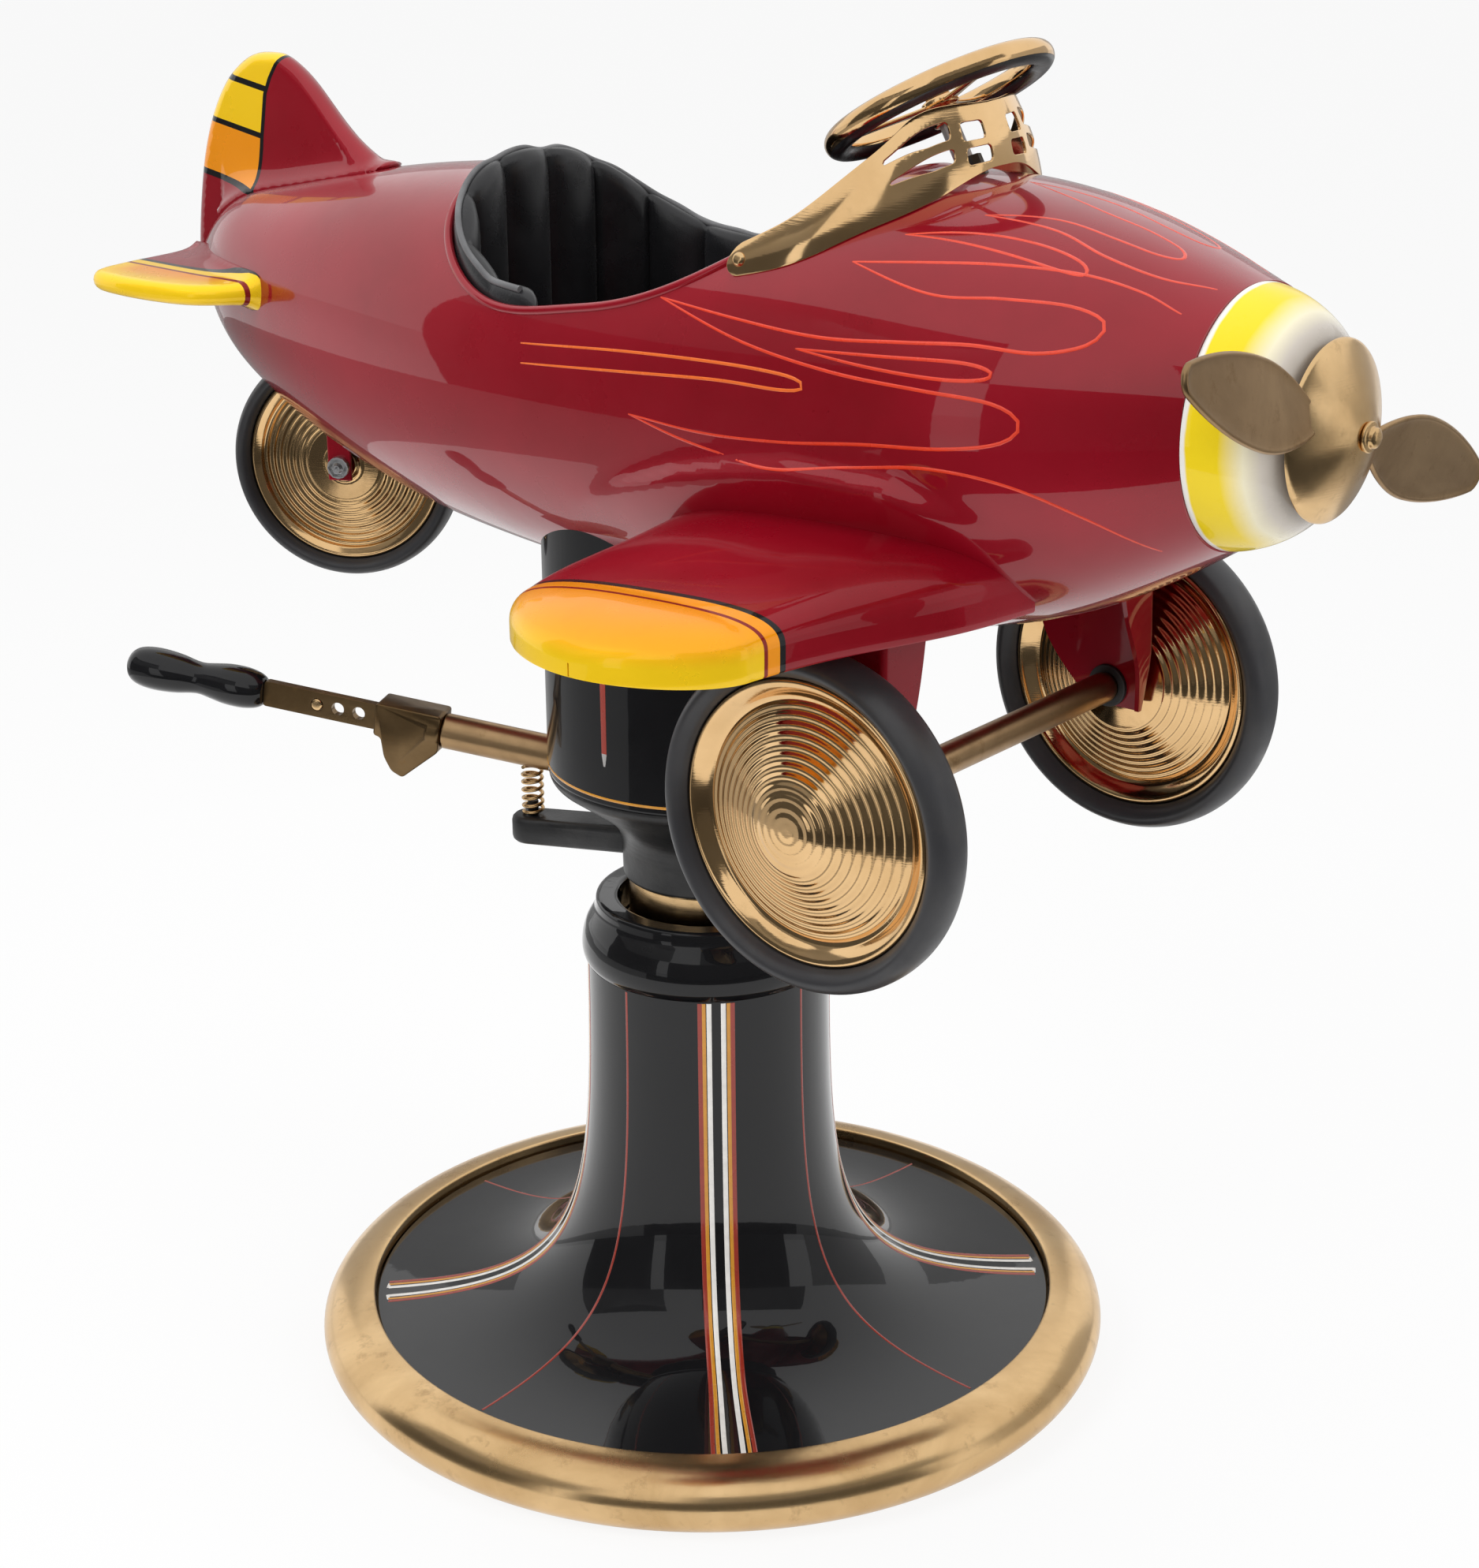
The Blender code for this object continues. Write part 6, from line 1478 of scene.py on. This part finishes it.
def disc_profile(edge, crest, start, low, dome, top, bulge, rings, hub):
    """Section of a pressed disc: rolled rim, dished band and a cone of ripples that fade to the middle."""
    rim = [(edge - 0.0006, low + 0.0006), (edge, crest - 0.0035), (edge - 0.0010, crest - 0.0008),
           (edge - 0.0032, crest), (edge - 0.0060, crest - 0.0010),
           (edge - 0.0100, 0.55 * crest + 0.45 * low), (start + 0.003, low + 0.0008), (start, low)]
    outer = fillet(rim, 0.0025, 4)
    swell = 0.17 * (start - dome) / rings
    for t in np.linspace(0.0, 1.0, 10 * rings + 1)[1:]:
        ripple = 0.5 - 0.5 * math.cos(2 * math.pi * rings * t)
        outer.append((start + (dome - start) * t, low + (top - low) * t + swell * ripple))
    if hub:
        face = bulge - 0.0002
        bore = hub + 0.0005
        boss = [(dome - 0.002, top + 0.0005), (hub + 0.012, bulge - 0.004), (hub + 0.0085, bulge - 0.003),
                (hub + 0.007, face), (bore, face), (bore, 0.001)]
        return outer + fillet(boss, 0.002, 4) + [(hub + 0.006, 0.001), (hub + 0.006, bulge - 0.007),
                                                 (dome, top - 0.003), (start, low - 0.001)]
    inner_rings = 5
    tip = bulge - 0.0003
    for t in np.linspace(0.0, 1.0, 14 * inner_rings + 1)[1:-1]:
        ripple = (1 - t) * (0.5 - 0.5 * math.cos(2 * math.pi * inner_rings * t))
        crown = top + (tip - top) * (1 - (1 - t) ** 2)
        outer.append((dome * (1 - t), crown + 0.6 * swell * ripple))
    return outer + [(0, tip), (0, bulge - 0.0025), (0.6 * dome, top - 0.001), (dome, top - 0.003),
                    (start, low - 0.001)]


def make_front_wheels():
    """Front wheels, their struts and washers, and the axle tube."""
    x, z = FRONT_AXLE
    band = {"edge": 0.1068, "crest": 0.0105, "start": 0.0895, "low": 0.0018, "rings": 8}
    cap_profile = disc_profile(dome=0.036, top=0.0235, bulge=0.030, hub=0.0, **band)
    inner_profile = disc_profile(dome=0.040, top=0.0215, bulge=0.029, hub=0.0112, **band)
    washer_profile = fillet(rectangle(0.0112, 0.0172, -0.001, 0.0032), 0.001, 2)
    for side, sign in (("right", -1), ("left", 1)):
        body = side + "_wheel"
        middle = Matrix.Translation((x, sign * FRONT_HALF_TRACK, z))
        outwards = middle @ SIDEWAYS[sign]
        tyre = lathe(side + "_tyre_round", tyre_profile(0.127, 0.019, 0.0200, 0.030), TYRE, 144, outwards)
        dress(tyre, body, "tyre_rubber", side + "_tyre")
        cap = lathe(side + "_cap", cap_profile, MIRROR_BRASS, 144, outwards)
        dress(cap, body, "polished_brass", side + "_hub_cap")
        disc = lathe(side + "_disc", inner_profile, MIRROR_BRASS, 144, middle @ SIDEWAYS[-sign])
        dress(disc, body, "polished_brass", side + "_inner_disc")
        make_strut(side + "_strut", sign)
        for name, span, facing in (("outer", STRUT_SPAN, sign), ("inner", STRUT_SPAN - STRUT_SHEET, -sign)):
            place = Matrix.Translation((x, sign * span, z)) @ SIDEWAYS[facing]
            washer = lathe("%s_axle_washer_%s" % (side, name), washer_profile, IRON, 48, place)
            dress(washer, "carriage", "cast_iron")
    reach = FRONT_HALF_TRACK + 0.014
    sleeve = 0.166
    thin, thick = 0.0104, 0.0122
    profile = fillet([(0, -reach), (thin, -reach), (thin, -sleeve), (thick, -sleeve), (thick, sleeve),
                      (thin, sleeve), (thin, reach), (0, reach)], 0.0008, 2)
    axle = lathe("axle_tube", profile, AGED_BRASS, 64, Matrix.Translation((x, 0, z)) @ SIDEWAYS[-1])
    dress(axle, "carriage", "polished_brass", "front_axle")


def make_strut(name, sign):
    """A folded-sheet strut: a plate with a front flange and a curved lower edge."""
    front_most = 0.3112
    rows = ((-0.016, 0.303, 0.255, 0.006), (0.008, 0.308, 0.231, 0.014), (0.030, 0.311, 0.214, 0.0218),
            (0.060, 0.311, 0.204, 0.0343), (0.150, 0.311, 0.204, 0.052))
    levels = [FRONT_AXLE[1] + row[0] for row in rows]
    curve = spline(levels, [row[1:] for row in rows])
    inner = STRUT_SPAN - STRUT_SHEET
    rings = []
    for z in np.linspace(levels[0], levels[-1], 40):
        front, aft, flange = curve(z)
        front = min(front, front_most)
        back = front - STRUT_SHEET
        corner = min(0.006, 0.45 * flange)
        outside = fillet([(aft, STRUT_SPAN), (front, STRUT_SPAN), (front, STRUT_SPAN - flange)], corner, 6)
        inside = fillet([(back, STRUT_SPAN - flange), (back, inner), (aft, inner)],
                        max(0.0005, corner - STRUT_SHEET), 6)
        rings.append([(px, sign * py, z) for px, py in outside + inside])
    strut = loft(name + "_sheet", rings, CANDY, 50)
    cut_by_body(strut, -0.0005)
    soften(strut, 50)
    dress(strut, "carriage", "candy_maroon", name)


def make_tail_wheel():
    """Tail wheel with its fork and nuts."""
    middle = Matrix.Translation((TAIL_AXLE[0], 0, TAIL_AXLE[1])) @ rotation(TAIL_STEER, "Z")
    right = middle @ SIDEWAYS[-1]
    sides = (("right", right), ("left", middle @ SIDEWAYS[1]))
    tyre = lathe("tail_tyre_round", tyre_profile(0.1013, 0.015, 0.0145, 0.024), TYRE, 128, right)
    dress(tyre, "tail_wheel", "tyre_rubber", "tail_tyre")
    profile = disc_profile(edge=0.0866, crest=0.0088, start=0.0735, low=0.0022, dome=0.034, top=0.0125,
                           bulge=0.016, rings=6, hub=0.0056)
    for side, place in sides:
        disc = lathe("tail_plate_" + side, profile, MIRROR_BRASS, 128, place)
        dress(disc, "tail_wheel", "polished_brass", "tail_disc_" + side)

    outer, inner = 0.024, 0.020
    half_width = 0.0105
    foot = -0.0126
    bridge = 0.1113
    top = bridge + 0.004
    path = [(-outer, foot), (-inner, foot), (-inner, bridge), (inner, bridge), (inner, foot), (outer, foot),
            (outer, top), (-outer, top)]
    fork = loft("fork_strap", [[(x, y, z) for y, z in path] for x in (-half_width, half_width)], CANDY)
    bevelled(fork, 0.0014, 3)
    fork.data.transform(middle)
    dress(fork, "tail_fork", "candy_maroon", "tail_fork")
    nut = fillet([(0, 0.0243), (0.0095, 0.0243), (0.0095, 0.0293), (0.005, 0.0293), (0.003, 0.0323),
                  (0, 0.0323)], 0.0008, 2)
    for side, place in sides:
        dress(lathe("tail_nut_" + side, nut, ZINC, 6, place, 20), "tail_fork", "zinc_steel")


def make_nose_cap():
    """Airbrushed dome at the nose, with painted shade towards the spinner, open for the propeller's shaft."""
    bore = 0.0145
    hem, hem_inner = 0.0888, 0.086
    foot = NOSE_X + 0.0003
    lap = foot - 0.0115
    outer = bezier((NOSE_RADIUS, foot), (NOSE_RADIUS - 0.003, foot + 0.0232), (0.07225, CAP_FACE_X - 0.0058),
                   (0.052, CAP_FACE_X), 48)
    profile = outer + [(bore, CAP_FACE_X), (bore, CAP_FACE_X - SKIN), (0.048, CAP_FACE_X - 0.0045),
                       (hem_inner, foot + 0.011), (hem_inner, lap), (hem, lap), (hem, foot)]
    cap = lathe("cap", profile, CAP, 144, ALONG_NOSE)
    write_attribute(cap, "along", [(v.co.x - foot) / 0.058 for v in cap.data.vertices])
    dress(cap, "carriage", "nose_yellow", "nose_cap")


def make_spinner():
    """Spinner and the nut on its tip."""
    shaft = 0.0063
    hub = 0.015
    tip = SPINNER_X + 0.027
    cone = [(0.009, tip), (0.0252, SPINNER_X + 0.0216), (0.0468, SPINNER_X + 0.0116),
            (0.0612, SPINNER_X + 0.0036), (0.063, SPINNER_X + 0.0004)]
    profile = [(0.0068, tip)] + [tuple(p) for p in rounded_line(cone, 40)]
    profile += [(0.0622, SPINNER_X), (0.057, SPINNER_X), (hub, SPINNER_X + 0.020), (hub, SPINNER_X),
                (shaft, SPINNER_X), (shaft, tip)]
    dress(lathe("spinner_cone", profile, BRASS, 128, ALONG_NOSE), "propeller", "polished_brass", "spinner")

    foot = tip + 0.0003
    bore_end = foot + 0.0055
    flange, neck = 0.0108, 0.0072
    profile = fillet([(shaft, foot), (flange, foot), (flange, foot + 0.0026), (neck, foot + 0.0034),
                      (neck, foot + 0.0066), (0.004, foot + 0.0084), (0, foot + 0.0088)], 0.0009, 3)
    profile += [(0, bore_end), (shaft, bore_end)]
    nut = lathe("spinner_nut", profile, BRASS, 48, ALONG_NOSE)
    dress(nut, "propeller", "polished_brass", "propeller_nut")


def make_blades():
    """Propeller blades: twisted plates with a hemmed edge."""
    root, reach = 0.042, 0.178
    widest = 0.031
    middle = SPINNER_X + 0.0081
    twist = math.radians(12)
    upper = []
    for t in np.linspace(0.0, 1.0, 40)[:-1]:
        swell = t / 0.42 if t < 0.42 else (1 - t) / 0.58
        share = 0.25 + 0.75 * math.sin(0.5 * math.pi * min(1.0, swell)) ** 0.8
        upper.append((root + reach * t, widest * share))
    upper += [(0.2185, 0.0068), (0.2199, 0.0030)]
    outline = upper + [(a, -b) for a, b in reversed(upper)]
    outline = resampled(outline + outline[:1], 181)[:-1]

    def place(out, across, h):
        return (middle + across * math.sin(twist) + h * math.cos(twist), out,
                across * math.cos(twist) - h * math.sin(twist))

    def half_thickness(out, across, d):
        hem = math.exp(-((d - 0.0022) / 0.0016) ** 2)
        crown = 0.0007 * math.cos(min(1.0, abs(across) / widest) * 0.5 * math.pi)
        return 0.0010 * round_edge(d, 0.0015) + 0.0009 * hem + crown * round_edge(d, 0.004)

    for number, angle in ((1, -20.0), (2, 160.0)):
        blade = pillow("blade_%d" % number, outline, half_thickness, place, AGED_BRASS, 0.004,
                       (0.0005, 0.0012, 0.0022, 0.0032, 0.0045))
        blade.data.transform(Matrix.Translation((0, 0, NOSE_AXIS_Z)) @ rotation(angle, "X"))
        dress(blade, "propeller", "polished_brass", "propeller_blade_%d" % number)


def make_windshield():
    """Bent brass sheet with rounded slots, and its screws."""
    end = 0.045
    end_round = 0.042
    rows = np.array(WINDSHIELD_LINES)
    along = np.concatenate(([0.0], np.cumsum(np.linalg.norm(np.diff(rows[:, :2], axis=0), axis=1))))
    length = along[-1]
    curve = spline(along / length, rows)
    high = rows[:, 2].max()

    def outward(share):
        step = curve(min(1.0, share + 0.01)) - curve(max(0.0, share - 0.01))
        normal = np.array((-step[1], step[0]))
        return normal / np.linalg.norm(normal)

    def place(s, r):
        share = 1 - abs(s)
        x, y, height = curve(share)
        low = skin_top(x, y) + 0.0009
        lean = WINDSHIELD_LEAN * height * r - WINDSHIELD_BOW * math.sin(math.pi * max(0.0, r))
        inward = lean * outward(share)
        return x - inward[0], math.copysign(y - inward[1], s), low + height * r

    half = [(1 - share, WINDSHIELD_LIFT * smooth(0.70, 0.96, share)) for share in np.linspace(1.0, end, 60)]
    for turn in np.radians(np.linspace(-80, 80, 13)):
        half.append((1 - end_round + end_round * math.cos(turn), 0.5 + 0.5 * math.sin(turn)))
    half += [(1 - share, 1.0) for share in np.linspace(end, 1.0, 60)]
    flat = half + [(-s, r) for s, r in reversed(half[1:-1])]
    flat = [(s * length, r * high) for s, r in flat]
    holes = []
    for aft, front, *levels in WINDSHIELD_SLOTS:
        a, b = (1 - aft) * length, (1 - front) * length
        low_a, top_a, low_b, top_b = (level * high for level in levels)
        middle = 0.35 * a + 0.65 * b
        corners = [(a, low_a), (middle, low_b), (b, low_b), (b, top_b), (middle, max(top_b, top_a)),
                   (a, top_a)]
        loop = fillet(corners, 0.0035, 5, True)
        dense = resampled(loop + loop[:1], 64)[:-1]
        holes.append([tuple(p) for p in dense])
        holes.append([(-x, y) for x, y in dense])
    points, faces = panel(flat, holes, 0.0035)
    verts = [place(max(-1.0, min(1.0, x / length)), max(0.0, min(1.0, y / high))) for x, y in points]
    sheet = new_object("windshield_sheet", verts, faces, MIRROR_BRASS, 60)
    thicken(sheet, 0.0022, max(sheet.data.polygons, key=lambda f: f.center.x).normal.x)
    bevelled(sheet, 0.0005, 2, 55)
    dress(sheet, "carriage", "polished_brass", "windshield_frame")

    radius = 0.0052
    head = fillet([(0, -0.001), (radius, -0.001), (radius, 0.0006), (0.0036, 0.0026), (0, 0.0032)], 0.001, 3)
    normal = outward(end)
    for name, sign in (("right_windshield_screw", -1), ("left_windshield_screw", 1)):
        axis = Vector((normal[0], sign * normal[1], 0.35)).normalized()
        turn = axis.to_track_quat("Z", "Y").to_matrix().to_4x4()
        at = Matrix.Translation(place((1 - end) * sign, 0.5))
        screw = lathe(name + "_head", head, BRASS, 32, at @ turn)
        dress(screw, "carriage", "polished_brass", name)


def make_steering():
    """Steering wheel: brass rim with a black band below, thin spokes and a small hub."""
    place = Matrix.Translation(STEERING_CENTRE) @ rotation(-STEERING_TILT, "Y")
    middle, radius = 0.0785, 0.0093
    rim = arc(middle, radius, -34, 196, 40) + arc(middle, radius - 0.003, 196, 326, 18)
    wheel = lathe("steering_rim", rim, MIRROR_BRASS, 128)
    hub = fillet([(0.0073, -0.018), (0.0105, -0.018), (0.0105, -0.006), (0.0135, -0.005), (0.0135, 0.001),
                  (0.0073, 0.0025)], 0.0012, 3)
    combine(wheel, lathe("hub", hub, MIRROR_BRASS, 64), "UNION")
    rings = []
    for t in np.linspace(0, 1, 14):
        half = 0.0062 - 0.0022 * math.sin(math.pi * t) + 0.0035 * smooth(0.75, 1.0, t)
        corners = fillet(rectangle(-half, half, -0.0014, 0.0014), 0.001, 3, True)
        rings.append([(0.0100 + t * 0.0625, y, -0.0025 + 0.0025 * t + up) for y, up in corners])
    for k in range(3):
        combine(wheel, loft("spoke", rings, MIRROR_BRASS, 50, rotation(120 * k - 15, "Z")), "UNION")
    soften(wheel, 40)
    wheel.data.transform(place)
    dress(wheel, "steering", "polished_brass", "steering_wheel")
    cap = fillet([(0, 0.0015), (0.0095, 0.0022), (0.0088, 0.0045), (0, 0.0065)], 0.0015, 4)
    dress(lathe("steering_cap", cap, MIRROR_BRASS, 48, place), "steering", "polished_brass")
    grip = arc(middle, radius, 197, 325, 22) + arc(middle, radius - 0.0028, 325, 197, 16)
    dress(lathe("steering_band", grip, RUBBER, 128, place), "steering", "black_rubber", "steering_grip")


def dress_cad_nodes():
    """Give the nodes that still show the looks of their slots."""
    looks = {"polished_brass": BRASS, "black_enamel": ENAMEL, "zinc_steel": ZINC, "cast_iron": IRON,
             "black_rubber": RUBBER, "tyre_rubber": TYRE, "black_vinyl": VINYL, "candy_maroon": CANDY,
             "nose_yellow": CAP}
    for node in frame["nodes"].values():
        for place in node.material_slots:
            if place.material:
                base = place.material.name.split(".")[0]
                place.material = looks.get(base, place.material)


def stage_mesh(name, verts, faces, material, hidden=()):
    """A mesh of the studio, hidden from some kinds of rays."""
    mesh = bpy.data.meshes.new(name)
    mesh.from_pydata(verts, [], faces)
    mesh.materials.append(material)
    obj = linked(name, mesh)
    for kind in hidden:
        setattr(obj, "visible_" + kind, False)


def make_world():
    """White surroundings, dimmer as a light than where they are seen."""
    world = bpy.data.worlds.new("studio")
    bpy.context.scene.world = world
    world.use_nodes = True
    nodes = Nodes(world.node_tree)
    rays = nodes.add("ShaderNodeLightPath").outputs
    seen = nodes.math("MAXIMUM", rays["Is Camera Ray"], rays["Is Glossy Ray"])
    seen = nodes.math("MAXIMUM", seen, rays["Is Transmission Ray"])
    back = nodes.tree.nodes["Background"]
    nodes.put(back.inputs["Color"], (1.0, 1.0, 1.0, 1.0))
    nodes.put(back.inputs["Strength"], nodes.value(seen, 0.55, 1.0))


def make_floor():
    """Pale floor with a glow of its own where it is seen, so that it stays even."""
    half = 20
    look = Look("floor")
    look.set(Base_Color=(0.86, 0.86, 0.86, 1.0), Roughness=0.9)
    rays = look.add("ShaderNodeLightPath").outputs
    mirrored = look.math("MAXIMUM", rays["Is Glossy Ray"], rays["Is Transmission Ray"])
    seen = look.math("MAXIMUM", look.math("MULTIPLY", rays["Is Camera Ray"], 0.88),
                     look.math("MULTIPLY", mirrored, 0.6))
    glow = look.add("ShaderNodeEmission", {"Strength": 1.0})
    blend = look.add("ShaderNodeMixShader", {0: seen, 1: look.shader.outputs[0], 2: glow.outputs[0]})
    look.put(look.tree.nodes["Material Output"].inputs["Surface"], blend.outputs[0])
    corners = [(x, y, 0) for x, y in rectangle(-half, half, -half, half)]
    stage_mesh("floor", corners, [(0, 1, 2, 3)], look.material)


def make_cards():
    """Grey cards round the part that show only in reflections: tone, two edges, spans in degrees."""
    near, far = 1.45, 3.2
    ground, eaves, top = 0.002, 1.7, 3.3
    floor = ((near, ground), (far, ground))
    walls = ((far, ground), (far, eaves))
    upper = ((far, eaves), (far, top))
    sections = {"card_floor_near": (0.05, floor, ((-105, 20),)),
                "card_floor_far": (0.36, floor, ((20, 255),)),
                "card_walls_near": (0.10, walls, ((-150, -96), (-86, 8))),
                "card_walls_far": (0.50, walls, ((26, 82), (102, 165))),
                "card_upper": (0.25, upper, ((-150, -86), (-58, 20)))}
    for name, (tone, (inner, outer), spans) in sections.items():
        shade = Look(name)
        shade.set(Base_Color=(tone, tone, tone, 1.0), Roughness=1.0, Specular_IOR_Level=0.0)
        verts = []
        faces = []
        for start, end in spans:
            turns = np.radians(np.linspace(start, end, 40))
            for a, b in zip(turns, turns[1:]):
                first = len(verts)
                corners = ((inner, a), (inner, b), (outer, b), (outer, a))
                verts += [polar(r, turn, z) for (r, z), turn in corners]
                faces.append(tuple(range(first, first + 4)))
        stage_mesh(name, verts, faces, shade.material,
                   ("camera", "diffuse", "shadow", "transmission", "volume_scatter"))


def make_lamps():
    """Three soft lamps, which reflections don't show: place, target, diameter and watts."""
    lamps = {"key": ((-0.9, -2.9, 2.9), (0.0, 0.0, 0.6), 2.0, 70),
             "fill": ((2.9, -0.2, 1.7), (0.0, 0.0, 0.6), 1.8, 27),
             "top": ((-0.2, 0.5, 3.3), (0.0, 0.0, 0.7), 2.4, 36)}
    for name, (place, target, size, watts) in lamps.items():
        light = bpy.data.lights.new(name, "AREA")
        light.shape = "ELLIPSE"
        light.size = size
        light.size_y = size
        light.energy = watts
        obj = linked(name, light)
        obj.location = place
        obj.rotation_euler = (Vector(target) - Vector(place)).to_track_quat("-Z", "Y").to_euler()
        obj.visible_glossy = False


def make_camera():
    """The photograph's camera."""
    camera = bpy.data.cameras.new("camera")
    camera.sensor_fit = "HORIZONTAL"
    camera.sensor_width = 36.0
    camera.lens = camera.sensor_width * FOCAL_PIXELS / PHOTO_WIDTH
    obj = linked("camera", camera)
    view = (CAMERA_TARGET - CAMERA_PLACE).normalized()
    right = view.cross(Vector((0, 0, 1))).normalized()
    up = right.cross(view)
    rolled = math.cos(CAMERA_ROLL) * right + math.sin(CAMERA_ROLL) * up
    upright = -math.sin(CAMERA_ROLL) * right + math.cos(CAMERA_ROLL) * up
    matrix = Matrix.Identity(4)
    for k, axis in enumerate((rolled, upright, -view, CAMERA_PLACE)):
        for row in range(3):
            matrix[row][k] = axis[row]
    obj.matrix_world = matrix
    bpy.context.scene.camera = obj
    bpy.context.scene.view_settings.view_transform = "Standard"


make_base()
make_collar()
make_base_stripes()
make_casting()
make_drum()
make_lever_arm()
make_lever_yoke()
make_lever_bar()
make_lever_grip()
make_lever_spring()
make_fuselage()
make_body_lines()
make_cushion()
make_back_pad()
make_wings()
make_fin()
make_stabilisers()
make_front_wheels()
make_tail_wheel()
make_nose_cap()
make_spinner()
make_blades()
make_windshield()
make_steering()
dress_cad_nodes()
make_world()
make_floor()
make_cards()
make_lamps()
make_camera()
